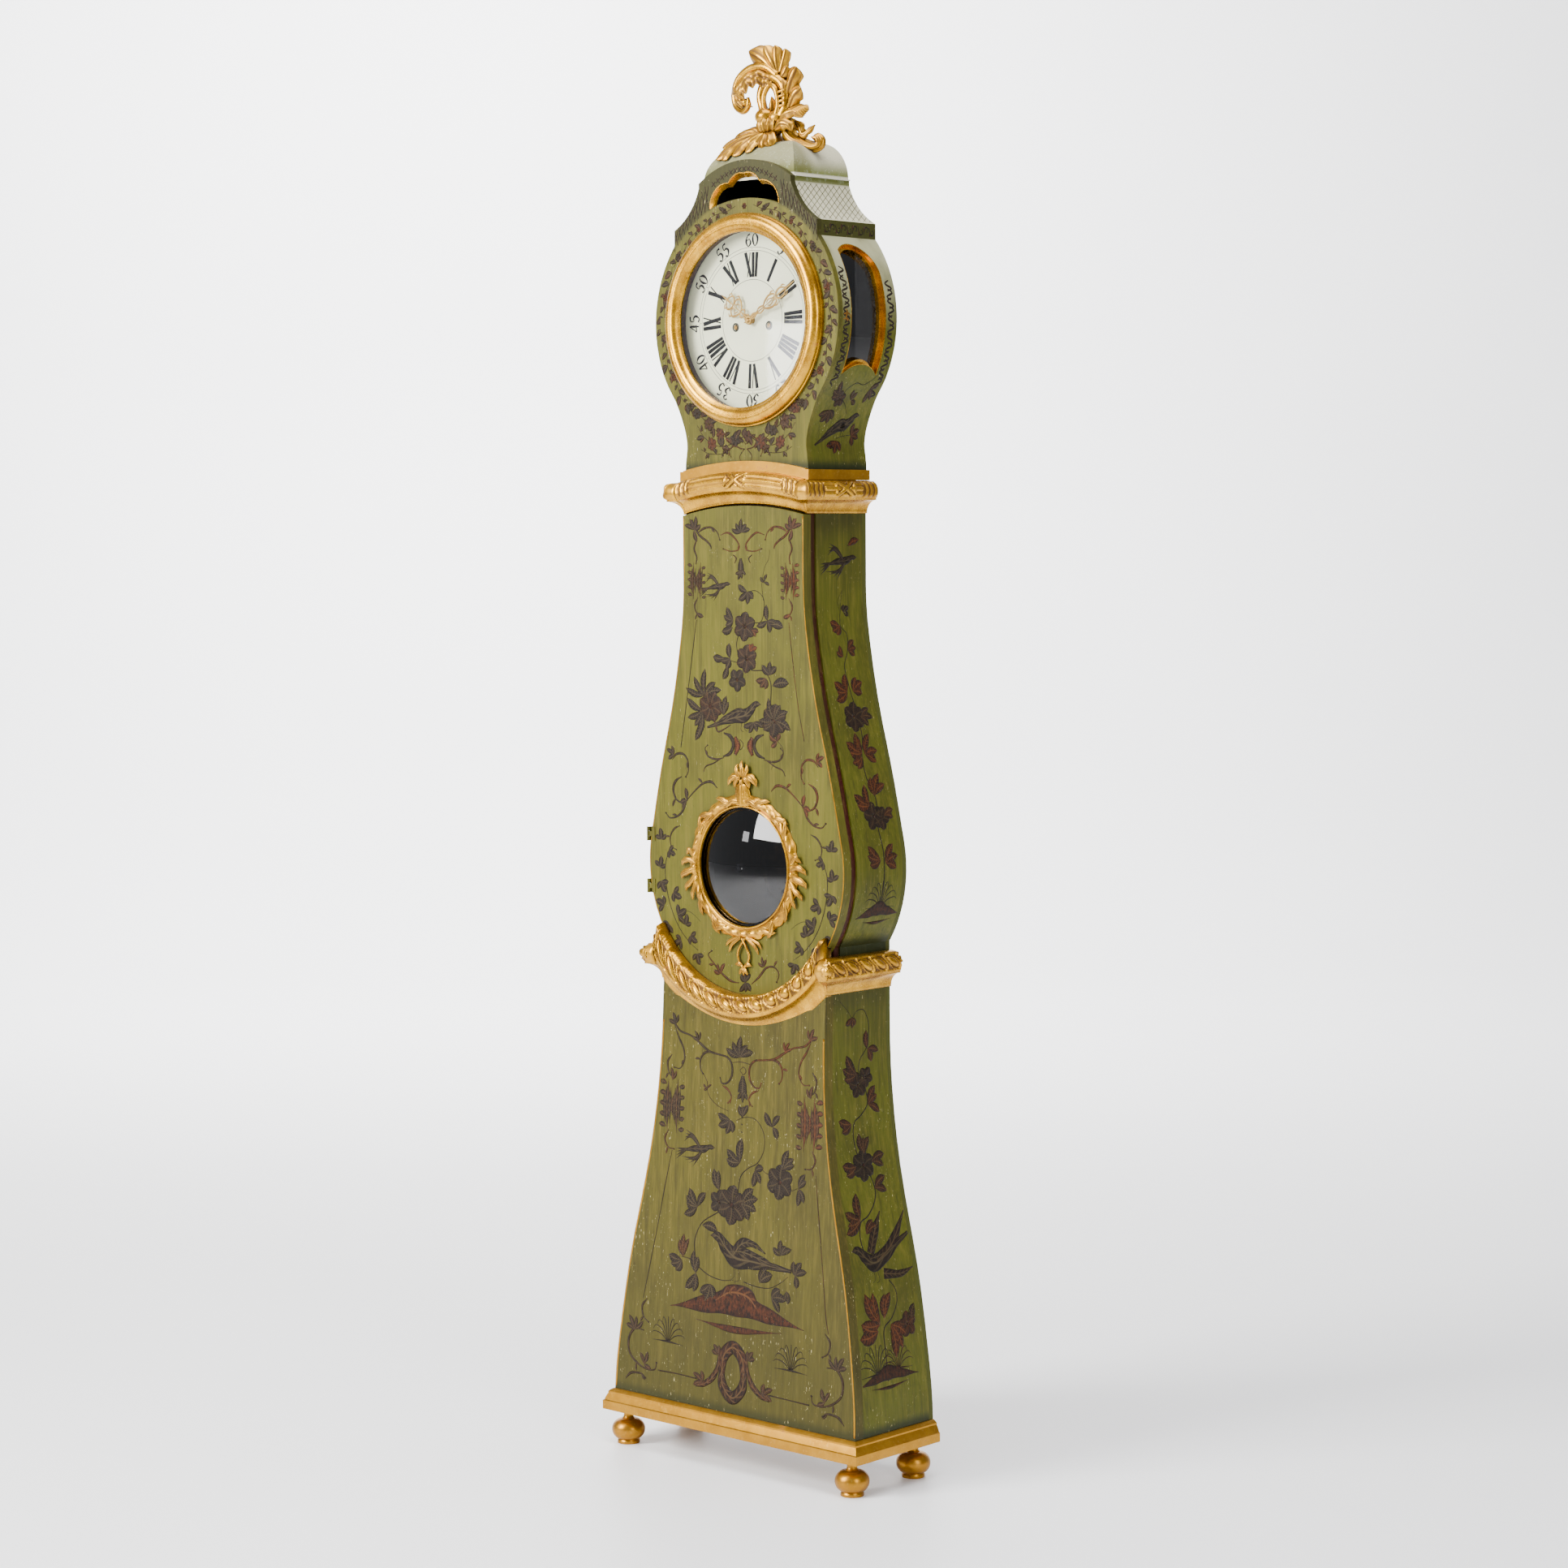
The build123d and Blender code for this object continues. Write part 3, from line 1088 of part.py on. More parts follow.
def movement_frame():
    back = plate(PLATE_BACK_Y)
    y0 = PLATE_BACK_Y + PLATE_T
    y1 = PENDULUM_Y + COCK_PAST
    half = COCK_HALF
    cock = box(-half, half, y0, y1, PIVOT_Z + COCK_T, PIVOT_Z + 2 * COCK_T)
    cock += box(-half, half, y1 - COCK_T, y1, PIVOT_Z - COCK_T, PIVOT_Z + COCK_T)
    cock -= rod_y(0, PIVOT_Z, SUSPENSION_R + FIT, PENDULUM_Y, y1 + 1)
    frame = [plate(PLATE_Y), back + cock]
    y0, y1 = PLATE_Y + PLATE_T, PLATE_BACK_Y
    for x in (-PLATE_HALF + PILLAR_INSET, PLATE_HALF - PILLAR_INSET):
        for z in (SEAT_Z + PILLAR_INSET, SEAT_Z + PLATE_H - PILLAR_INSET):
            frame.append(rod_y(x, z, PILLAR_R, y0, y1))
            frame.append(rod_y(x, z, PILLAR_R * 0.6, DIAL_Y + DIAL_T, PLATE_Y))
    PIECES["movement_plates"] = group(frame)

    face = rod_y(0, HANDS_Z, DIAL_R, DIAL_Y, DIAL_Y + DIAL_T)
    face -= rod_y(0, HANDS_Z, HOUR_PIPE_R + 1, DIAL_Y - 1, DIAL_Y + DIAL_T + 1)
    for sign in (-1, 1):
        face -= rod_y(sign * WIND_X, WIND_Z, WIND_SQUARE_R + 2, DIAL_Y - 1, DIAL_Y + DIAL_T + 1)
    PIECES["dial"] = face

    z = HANDS_Z + BELL_UP
    r = BELL_R
    turn = math.sqrt(0.5)
    y = LINE_Y
    moves = [
        ((r, z),),
        ((r - 3, z + r * 0.55), (r * 0.35, z + r * 0.82)),
        ((0, z + r * 0.84),),
        ((0, z + r * 0.84 - BELL_T),),
        ((r * 0.35 - BELL_T * turn, z + r * 0.82 - BELL_T),),
        ((r - 3 - BELL_T, z + r * 0.55 - BELL_T * turn), (r - BELL_T, z)),
    ]
    bell = turned((r - BELL_T, z), moves, BELL_X, y)
    foot_z = SEAT_Z + PLATE_H
    stand = rod_z(BELL_X, y, BELL_STAND_R, foot_z, z + r * 0.84 - BELL_T)
    half = BELL_BRIDGE_HALF
    bridge = box(BELL_X - half, BELL_X + half, PLATE_Y, PLATE_BACK_Y + PLATE_T, foot_z,
                 foot_z + BELL_BRIDGE_T)
    PIECES["bell"] = group([bell, stand + bridge])


# ================================================================ wheels
def tooth_ring(teeth, module, add, ded, tip, flank, root, phase):
    """Outline of a toothed wheel, as (x, z) offsets. A tooth points along phase."""
    pitch_r = teeth * module / 2
    step = 2 * math.pi / teeth
    points = []
    for i in range(teeth):
        turn = phase + i * step
        for r, wide in ((pitch_r - ded, -root), (pitch_r, -flank), (pitch_r + add, -tip),
                        (pitch_r + add, tip), (pitch_r, flank), (pitch_r - ded, root)):
            a = turn + wide * module * math.pi / r
            points.append((r * math.cos(a), r * math.sin(a)))
    return points


def wheel_points(teeth, module, phase):
    return tooth_ring(teeth, module, 0.9 * module, 1.25 * module, 0.06, 0.19, 0.26, phase)


def pinion_points(teeth, module, phase):
    return tooth_ring(teeth, module, 0.5 * module, 1.45 * module, 0.09, 0.17, 0.13, phase)


def toothed(points, x, z, y0, thick):
    corners = [at(x + a, z + b) for a, b in points]
    return slab(Face(Wire.make_polygon(corners, close=True)), y0, y0 + thick)


def crossings(x, z, r_in, r_out, y0, thick, count=4, bar=2.6):
    """Wedge-shaped windows between the spokes of a wheel."""
    ring = tube_y(x, z, r_in, r_out, y0 - 1, y0 + thick + 1)
    for i in range(count):
        turn = 180.0 * i / count
        spoke = Pos(x, y0 + thick / 2, z) * Rot(0, turn, 0) * Box(4 * r_out, thick + 4, bar)
        ring -= spoke
    return ring


def arbor(x, z, y0, y1, r=ARBOR_R):
    """Steel arbor between the plates with its two pivots."""
    body = rod_y(x, z, r, y0, y1)
    front, back = PLATE_Y, PLATE_BACK_Y + PLATE_T
    return body + rod_y(x, z, PIVOT_R, front, y0) + rod_y(x, z, PIVOT_R, y1, back)


def angle_to(a, b):
    return math.atan2(b[1] - a[1], b[0] - a[0])


def train():
    places = train_places()
    inside = PLATE_Y + PLATE_T + SEAM
    outside = PLATE_BACK_Y - SEAM
    m = TRAIN_MODULE
    centre, third, escape = places["centre"], places["third"], places["escape"]
    going, strike, pin, fly = places["going"], places["strike"], places["pin"], places["fly"]
    great_y = inside + GREAT_OFF
    centre_y = outside - CENTRE_OFF
    third_y = inside + THIRD_OFF
    escape_y = inside + ESCAPE_OFF
    pin_y = centre_y
    lap = PINION_LAP

    # centre arbor: pinion, wheel, cannon wheel for the motion work, and the minute hand's seat
    x, z = centre
    gm = great_module()
    body = rod_y(x, z, ARBOR_R, minute_y() - 1.5, outside)
    body += rod_y(x, z, PIVOT_R, outside, PLATE_BACK_Y + PLATE_T)
    meets = angle_to(centre, going) + math.pi / PINION
    body += toothed(pinion_points(PINION, gm, meets), x, z, great_y - lap, GREAT_T + 2 * lap)
    up = angle_to(centre, third)
    disc = toothed(wheel_points(CENTRE_TEETH, m, up), x, z, centre_y, WHEEL_T)
    disc -= crossings(x, z, 5.0, CENTRE_TEETH * m / 2 - 3.0, centre_y, WHEEL_T)
    cannon = toothed(wheel_points(MOTION_TEETH, MOTION_MODULE, -math.pi / 2), x, z, cannon_y(), WHEEL_T)
    PIECES["centre_wheel"] = body + disc + cannon

    # third wheel
    x, z = third
    body = arbor(x, z, inside, outside)
    body += toothed(pinion_points(PINION, m, angle_to(third, centre) + math.pi / PINION), x, z,
                    centre_y - lap, WHEEL_T + 2 * lap)
    disc = toothed(wheel_points(THIRD_TEETH, m, angle_to(third, escape)), x, z, third_y, WHEEL_T)
    disc -= crossings(x, z, 4.5, THIRD_TEETH * m / 2 - 3.0, third_y, WHEEL_T)
    PIECES["third_wheel"] = body + disc

    # escape wheel with pointed teeth
    x, z = escape
    body = arbor(x, z, inside, outside)
    body += toothed(pinion_points(PINION, m, angle_to(escape, third) + math.pi / PINION), x, z,
                    third_y - lap, WHEEL_T + 2 * lap)
    points = []
    for i in range(ESCAPE_TEETH):
        turn = 2 * math.pi * i / ESCAPE_TEETH
        for r, wide in ((ESCAPE_R - 3.0, 0.0), (ESCAPE_R, 0.10), (ESCAPE_R - 3.0, 0.13)):
            a = turn + wide
            points.append((r * math.cos(a), r * math.sin(a)))
    disc = toothed(points, x, z, escape_y, WHEEL_T)
    disc -= crossings(x, z, 4.0, ESCAPE_R - 5.0, escape_y, WHEEL_T)
    PIECES["escape_wheel"] = body + disc

    # anchor, its arbor and the crutch behind the back plate
    x, z = places["pallet"]
    back = PLATE_BACK_Y + PLATE_T
    anchor = anchor_face()
    body = rod_y(x, z, ARBOR_R, inside, outside) + rod_y(x, z, PIVOT_R, PLATE_Y, inside)
    body += rod_y(x, z, PIVOT_R, outside, CRUTCH_Y + CRUTCH_T)
    body += slab(anchor, escape_y - 0.7, escape_y + WHEEL_T + 0.7)
    body += box(-2.5, 2.5, CRUTCH_Y, CRUTCH_Y + CRUTCH_T, z - CRUTCH_L, z + 3)
    body += rod_y(x, z - CRUTCH_L + 3, 1.0, CRUTCH_Y, PENDULUM_Y + 4)
    PIECES["pallets_crutch"] = body

    # great wheels turn on the barrel arbors
    for name, spot, teeth, module, target in (
            ("going_great_wheel", going, going_teeth(), gm, centre),
            ("strike_great_wheel", strike, STRIKE_TEETH, m, pin)):
        x, z = spot
        disc = toothed(wheel_points(teeth, module, angle_to(spot, target)), x, z, great_y, GREAT_T)
        disc -= rod_y(x, z, GREAT_HUB_R + FIT, great_y - 1, great_y + GREAT_T + 1)
        disc -= crossings(x, z, GREAT_HUB_R + 4, teeth * module / 2 - 5.0, great_y, GREAT_T, bar=4.0)
        PIECES[name] = disc

    # barrels with their winding squares
    for name, spot in (("going_barrel", going), ("strike_barrel", strike)):
        x, z = spot
        drum_y = LINE_Y - BARREL_L / 2
        body = rod_y(x, z, WIND_SQUARE_R, DIAL_Y - 1.0, PLATE_BACK_Y + PLATE_T)
        body += rod_y(x, z, GREAT_HUB_R, inside, drum_y)
        body += rod_y(x, z, BARREL_R, drum_y, drum_y + BARREL_L)
        body += rod_y(x, z, BARREL_R + 2.5, drum_y + BARREL_L, drum_y + BARREL_L + 1.5)
        body -= rod_y(x, z, WIND_SQUARE_R * 0.5, DIAL_Y - 2, DIAL_Y)
        PIECES[name] = body

    # striking train: pin wheel and fly
    x, z = pin
    body = arbor(x, z, inside, outside)
    body += toothed(pinion_points(PINION, m, angle_to(pin, strike) + math.pi / PINION), x, z,
                    great_y - lap, GREAT_T + 2 * lap)
    disc = toothed(wheel_points(PIN_TEETH, m, angle_to(pin, fly)), x, z, pin_y, WHEEL_T)
    disc -= crossings(x, z, 4.5, PIN_RING_R - 2.2, pin_y, WHEEL_T)
    for i in range(PIN_COUNT):
        turn = 2 * math.pi * i / PIN_COUNT
        disc += rod_y(x + PIN_RING_R * math.cos(turn), z + PIN_RING_R * math.sin(turn), 0.8, pin_y,
                      pin_y + WHEEL_T + PIN_L)
    PIECES["pin_wheel"] = body + disc
    x, z = fly
    body = arbor(x, z, inside, outside)
    body += toothed(pinion_points(PINION, m, angle_to(fly, pin) + math.pi / PINION), x, z,
                    pin_y - lap, WHEEL_T + 2 * lap)
    body += box(x - FLY_HALF, x + FLY_HALF, inside + FLY_OFF, inside + FLY_OFF + FLY_L, z - 0.5, z + 0.5)
    PIECES["fly"] = body

    # hammer: arbor, tail beside the pins, arm going round the bell's rim, and head
    x, z = places["hammer"]
    y = pin_y + WHEEL_T + 0.5
    body = arbor(x, z, inside, outside)
    half = HAMMER_ARM_HALF
    tail = box(-1.0, HAMMER_TAIL, y, y + 2.0, -half, half)
    tail_turn = math.degrees(angle_to(places["hammer"], pin)) + HAMMER_TAIL_UP
    body += Pos(x, 0, z) * Rot(0, -tail_turn, 0) * tail
    rim = HANDS_Z + BELL_UP
    head_x = BELL_X - BELL_R - HAMMER_HEAD_L / 2 - HAMMER_REST
    bend = rim - HAMMER_ARM_LOW
    head_z = rim + HAMMER_HEAD_R
    y0, y1 = LINE_Y - half, LINE_Y + half
    body += box(x - half, x + half, y0, y1, z, bend + half)
    body += box(min(head_x, x) - half, max(head_x, x) + half, y0, y1, bend - half, bend + half)
    body += box(head_x - half, head_x + half, y0, y1, bend - half, head_z)
    body += Pos(head_x, LINE_Y, head_z) * Rot(0, 90, 0) * Cylinder(HAMMER_HEAD_R, HAMMER_HEAD_L)
    PIECES["hammer"] = body


def minute_y():
    """Front face of the minute hand."""
    return DIAL_Y - MINUTE_HAND_OFF


def hour_y():
    return DIAL_Y - HOUR_HAND_OFF


def cannon_y():
    return PLATE_Y - CANNON_OFF


def hour_wheel_y():
    return PLATE_Y - HOUR_WHEEL_OFF


def anchor_face():
    """Curved anchor reaching over the escape wheel to its two pallets."""
    drop = PIVOT_Z - train_places()["escape"][1]
    span = ESCAPE_R + PALLET_CLEAR
    arm = [(0, 4.5), (7, 2.5), (span + 1.4, -drop + 7), (span + 1.2, -drop + 1.0), (span, -drop + 1.0),
           (span - 2.2, -drop + 8.5), (5, -2.0), (0, -2.5)]
    mirrored = [(-a, b) for a, b in arm[1:-1]][::-1]
    corners = [at(a, PIVOT_Z + b) for a, b in arm + mirrored]
    return Face(Wire.make_polygon(corners, close=True))


# ================================================================ motion work and hands
def hand_face(length, widths, turn_degrees):
    """Scrolled hand. widths are (share of length, half width); turned clockwise from twelve."""
    right = [at(w, length * t) for t, w in widths]
    left = [at(-w, length * t) for t, w in widths[:-1]][::-1]
    face = Face(Wire.make_polygon(right + left, close=True))
    return Pos(0, 0, HANDS_Z) * Rot(0, turn_degrees, 0) * face


MINUTE_WIDTHS = [(-0.06, 4.0), (0.04, 6.0), (0.14, 3.0), (0.25, 7.5), (0.45, 6.5), (0.62, 7.0),
                 (0.80, 4.0), (0.90, 2.0), (1.0, 0.6)]
HOUR_WIDTHS = [(-0.08, 4.5), (0.06, 6.5), (0.20, 3.2), (0.34, 9.0), (0.55, 13.0), (0.72, 12.0),
               (0.84, 5.0), (1.0, 0.8)]


def hands():
    turn = MINUTES_SHOWN * 6.0
    face = hand_face(MINUTE_HAND_L, MINUTE_WIDTHS, turn)
    hand = slab(face, minute_y(), minute_y() + HAND_T)
    hand += rod_y(0, HANDS_Z, HAND_BOSS_R, minute_y() - 1, minute_y() + HAND_T)
    PIECES["minute_hand"] = hand - rod_y(0, HANDS_Z, ARBOR_R, -FAR, FAR)

    turn = HOURS_SHOWN * 30.0 + MINUTES_SHOWN * 0.5
    face = hand_face(HOUR_HAND_L, HOUR_WIDTHS, turn)
    hand = slab(face, hour_y(), hour_y() + HAND_T) + rod_y(0, HANDS_Z, HOUR_PIPE_R + 1.5, hour_y(),
                                                           hour_y() + HAND_T)
    PIECES["hour_hand"] = hand - rod_y(0, HANDS_Z, HOUR_PIPE_R, -FAR, FAR)

    reach = MOTION_TEETH * MOTION_MODULE
    module = 2 * reach / (HOUR_TEETH + MOTION_PINION)
    y = hour_wheel_y()
    disc = toothed(wheel_points(HOUR_TEETH, module, -math.pi / 2), 0, HANDS_Z, y, WHEEL_T)
    disc -= crossings(0, HANDS_Z, HOUR_PIPE_R + 2, HOUR_TEETH * module / 2 - 3, y, WHEEL_T)
    disc += rod_y(0, HANDS_Z, HOUR_PIPE_R, hour_y(), y + WHEEL_T)
    PIECES["hour_wheel"] = disc - rod_y(0, HANDS_Z, ARBOR_R + FIT, -FAR, FAR)

    x, z = 0.0, HANDS_Z - reach
    up = math.pi / 2
    y0 = hour_wheel_y() - 1.0
    body = toothed(wheel_points(MOTION_TEETH, MOTION_MODULE, up + math.pi / MOTION_TEETH), x, z,
                   cannon_y(), WHEEL_T)
    body += toothed(pinion_points(MOTION_PINION, module, up + math.pi / MOTION_PINION), x, z, y0,
                    cannon_y() - y0)
    body += rod_y(x, z, PIVOT_R, y0 - 1, PLATE_Y)
    PIECES["minute_wheel"] = body


# ================================================================ pendulum and weights
def pendulum():
    y = PENDULUM_Y
    bob_z = LENS_Z - BOB_DROP
    end = bob_z - BOB_R - ROD_TAIL
    rod = rod_z(0, y, ROD_R, end, PIVOT_Z - 4)
    rod += box(-3.5, 3.5, y - 2.5, y + 2.5, PIVOT_Z - 5, PIVOT_Z + 4)
    rod += rod_y(0, PIVOT_Z, SUSPENSION_R, y, y + COCK_PAST)
    slot_z = PIVOT_Z - CRUTCH_L + 3
    rod += box(-4.5, 4.5, y - 2.5, y + 2.5, slot_z - 7, slot_z + 7)
    rod -= box(-1.6, 1.6, y - 4, y + 5, slot_z - 4, slot_z + 4)
    nut_z = end + ROD_TAIL / 2
    rod += rod_z(0, y, NUT_R, nut_z - NUT_T / 2, nut_z + NUT_T / 2)
    PIECES["pendulum_rod"] = rod
    edge = BOB_EDGE / 2
    mid = dome_rise(0.5, BOB_R, BOB_T / 2 - edge)
    moves = [
        ((BOB_R, y + edge),),
        ((BOB_R * 0.5, y + edge + mid), (0, y + BOB_T / 2)),
        ((0, y - BOB_T / 2),),
        ((BOB_R * 0.5, y - edge - mid), (BOB_R, y - edge)),
    ]
    bob = turned_y((BOB_R, y - edge), moves, 0, bob_z)
    PIECES["pendulum_bob"] = bob - rod_z(0, y, ROD_R, bob_z - BOB_R - 1, bob_z + BOB_R + 1)


def weights():
    for name, sign in (("going", 1), ("strike", -1)):
        x = sign * PULLEY_X
        z = PULLEY_Z
        y = LINE_Y
        half = PULLEY_W / 2
        groove = [
            ((PULLEY_R + 2, y - half),),
            ((PULLEY_R + 2, y - half + 1.5),),
            ((PULLEY_R, y - 1),),
            ((PULLEY_R, y + 1),),
            ((PULLEY_R + 2, y + half - 1.5),),
            ((PULLEY_R + 2, y + half),),
            ((PULLEY_PIN_R + FIT, y + half),),
        ]
        wheel = turned_y((PULLEY_PIN_R + FIT, y - half), groove, x, z)
        PIECES[name + "_pulley"] = wheel

        strap_y = half + SEAM
        wide, thick = STIRRUP_HALF, STIRRUP_T
        reach = strap_y + thick
        top = z - PULLEY_R - STIRRUP_DROP
        stirrup = rod_y(x, z, PULLEY_PIN_R, y - reach, y + reach)
        for y0 in (y - reach, y + strap_y):
            stirrup += box(x - wide, x + wide, y0, y0 + thick, top, z + wide)
        stirrup += box(x - wide, x + wide, y - reach, y + reach, top - thick, top)
        stirrup += rod_z(x, y, HOOK_R, top - HOOK_L, top - thick)
        can_top = top - HOOK_L + thick
        can_moves = [
            ((WEIGHT_R - 3, can_top - WEIGHT_H),),
            ((WEIGHT_R, can_top - WEIGHT_H + 3),),
            ((WEIGHT_R, can_top - 3),),
            ((WEIGHT_R - 3, can_top),),
            ((0, can_top),),
        ]
        can = turned((0, can_top - WEIGHT_H), can_moves, x, y)
        PIECES[name + "_weight"] = stirrup + can

        runs = []
        for dx in (-PULLEY_R - LINE_R - FIT, PULLEY_R + LINE_R + FIT):
            runs.append(rod_z(x + dx, y, LINE_R, z, SEAT_Z - SEAT_T))
        PIECES[name + "_line"] = group(runs)

    upper = [rod_z(sign * LINE_X, LINE_Y, LINE_R, SEAT_Z - SEAT_T, WIND_Z) for sign in (-1, 1)]
    lifted = [Pos(sign * FIT, 0, 0) * run for sign, run in zip((-1, 1), upper)]
    PIECES["line_upper_runs"] = group(lifted)


# ================================================================ make everything
base()
backboard()
mouldings()
trunk()
door()
door_hinges()
hood()
roof()
finial()
bezel()
seat()
movement_frame()
train()
hands()
pendulum()
weights()

os.makedirs("parts", exist_ok=True)
for piece_name, piece in PIECES.items():
    export_step(piece, "parts/" + piece_name + ".step")
print(len(PIECES), "pieces")
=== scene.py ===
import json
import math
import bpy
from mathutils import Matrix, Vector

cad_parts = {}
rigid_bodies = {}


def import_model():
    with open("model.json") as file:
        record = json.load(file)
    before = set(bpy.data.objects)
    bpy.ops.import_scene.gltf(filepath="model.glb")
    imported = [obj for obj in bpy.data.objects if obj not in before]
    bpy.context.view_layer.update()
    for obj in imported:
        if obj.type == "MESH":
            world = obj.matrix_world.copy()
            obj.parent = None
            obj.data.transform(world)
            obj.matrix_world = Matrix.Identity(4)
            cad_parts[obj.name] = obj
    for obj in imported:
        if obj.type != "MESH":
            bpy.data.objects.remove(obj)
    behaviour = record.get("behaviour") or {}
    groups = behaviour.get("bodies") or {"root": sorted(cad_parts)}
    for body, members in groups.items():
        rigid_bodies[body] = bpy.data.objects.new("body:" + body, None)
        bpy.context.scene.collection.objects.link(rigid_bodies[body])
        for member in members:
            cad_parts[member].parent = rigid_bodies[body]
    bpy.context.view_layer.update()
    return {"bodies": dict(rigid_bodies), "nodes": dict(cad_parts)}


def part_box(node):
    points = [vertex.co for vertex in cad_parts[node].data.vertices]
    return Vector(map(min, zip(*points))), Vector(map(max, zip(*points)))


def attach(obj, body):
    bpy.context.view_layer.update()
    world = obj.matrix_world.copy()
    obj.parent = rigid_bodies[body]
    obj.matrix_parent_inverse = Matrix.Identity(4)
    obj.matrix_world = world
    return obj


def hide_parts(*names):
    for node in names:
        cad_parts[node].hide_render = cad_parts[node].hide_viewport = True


bl_info = {
    "name": "Longcase Clock Dressing",
    "version": (1, 0, 0),
    "blender": (4, 5, 0),
    "location": "View3D > Sidebar > Longcase Clock",
    "description": "Paint, gilding, carving, glass and light for a painted longcase clock",
    "category": "Object",
}

import bpy
from mathutils import Matrix, Vector
from mathutils.bvhtree import BVHTree

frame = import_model()
NODES = frame["nodes"]
MM = 0.001


def middle(node):
    low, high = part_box(node)
    return (low + high) / 2 / MM


def carrier(node):
    """Name of the body that a case part belongs to."""
    return next(name for name, empty in frame["bodies"].items() if NODES[node].parent == empty)


LENS = middle("lens_glass")
HANDS = middle("dial")
DOOR_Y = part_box("trunk_door")[0].y / MM
HOOD_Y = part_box("hood_front")[0].y / MM
DIAL_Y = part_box("dial")[0].y / MM
ROOF_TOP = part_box("hood_roof_dome")[1].z / MM
FINIAL_Y = middle("bell").y
# half widths of the trunk at the waist and of the door at the neck, in millimetres
WAIST_HALF = 187.0
NECK_HALF = 138.0
DOOR_ROUND = 224.0
# heights next to the mouldings, where the paint is darkened as painted shade, in metres
PLINTH_TOP, WAIST_FOOT = 0.098, 0.815
TRUNK_FOOT, TRUNK_HEAD = 0.90, 1.61
HOOD_FOOT = 1.69
# the roof's lattice in turns per metre, and a point inside the roof
LATTICE = 220.0
ROOF_MIDDLE = (0.0, 0.03, 2.10)
# where the torus starts on a moulding's profile, and the steps in its two curves
TORUS_FOOT = (0.80, 0.45)
COVE_STEPS, TORUS_STEPS = 8, 26
GADROON_PITCH = 34.0
# how finely the mouldings are cut, at the front and along the sides, and the leaves and stems
FRONT_STEP, SIDE_STEP = 1.3, 1.4
LEAF_STEP, STEM_STEP = 2.2, 3.0


def srgb(red, green, blue):
    """Linear colour of an 8-bit display colour."""
    return tuple(
        (c / 255 / 12.92 if c <= 10 else ((c / 255 + 0.055) / 1.055) ** 2.4) for c in (red, green, blue)
    )


# ---------------------------------------------------------------- sizes and colours
def colour(label, note, value):
    return bpy.props.FloatVectorProperty(
        name=label, description=note, subtype="COLOR", size=3, min=0.0, max=1.0, default=value
    )


def length(label, note, value):
    return bpy.props.FloatProperty(name=label, description=note, unit="LENGTH", default=value * MM)


def share(label, note, value):
    return bpy.props.FloatProperty(
        name=label, description=note, subtype="FACTOR", min=0.0, max=1.0, default=value
    )


class ClockPaint(bpy.types.PropertyGroup):
    # The front and side greens are one paint in two tones: the sides' darker, more yellow green is partly painted
    # shade.
    front_green: colour("Front green", "Oil paint on the front", srgb(82, 79, 19))
    side_green: colour("Side green", "Oil paint on the sides", srgb(76, 78, 12))
    roof_grey: colour("Roof grey", "Faded paint on the roof", srgb(188, 183, 156))
    motif_dark: colour("Dark ornament", "Brown-black of the painted ornament", srgb(20, 13, 10))
    motif_red: colour("Red ornament", "Red-brown of the painted ornament", srgb(54, 26, 13))
    oxblood: colour("Oxblood", "Dark red round the door opening", srgb(52, 10, 8))
    relief: length("Relief", "How far the ornament stands up", 0.25)


class ClockGilding(bpy.types.PropertyGroup):
    gold: colour("Gold", "Leaf on the carving", srgb(212, 156, 30))
    # The hollows' colour stands for size and dirt there, and for painted shade as well.
    ochre: colour("Ochre", "Size and dirt in the hollows", srgb(70, 40, 8))
    bole: colour("Bole", "Red clay where the leaf is rubbed through", srgb(142, 62, 26))
    wear: share("Wear", "How much leaf is rubbed away", 0.3)


class ClockDial(bpy.types.PropertyGroup):
    ivory: colour("Ivory", "Paint of the dial", srgb(240, 243, 208))
    black: colour("Black", "Paint of the numerals", srgb(12, 12, 14))
    hours_in: length("Inner end of hours", "Radius where the hour numerals start", 72.0)
    hours_out: length("Outer end of hours", "Radius where the hour numerals end", 113.0)
    minutes_in: length("Minute numerals", "Radius of the foot of the minute numerals", 123.2)
    minutes_high: length("Minute numeral height", "Height of the minute numerals", 21.5)


class ClockStage(bpy.types.PropertyGroup):
    floor: colour("Floor", "Paper sweep", srgb(246, 246, 247))
    key: bpy.props.FloatProperty(name="Key", description="Power of the main light", default=700.0)
    fill: bpy.props.FloatProperty(name="Fill", description="Power of the fill light", default=120.0)
    sky: bpy.props.FloatProperty(name="Sky", description="Strength of the light from all round", default=0.42)


def paint():
    return bpy.context.scene.clock_paint


def gilt():
    return bpy.context.scene.clock_gilding


# ---------------------------------------------------------------- recipes for finishes
def maths(operation, swapped=False):
    """A method that joins a tone and what it is written with in one Math node."""

    def join(self, *others):
        terms = (*others, self) if swapped else (self, *others)
        made = self.finish.node("ShaderNodeMath", {"operation": operation}, dict(enumerate(terms)))
        return Tone(self.finish, made.outputs[0])

    return join


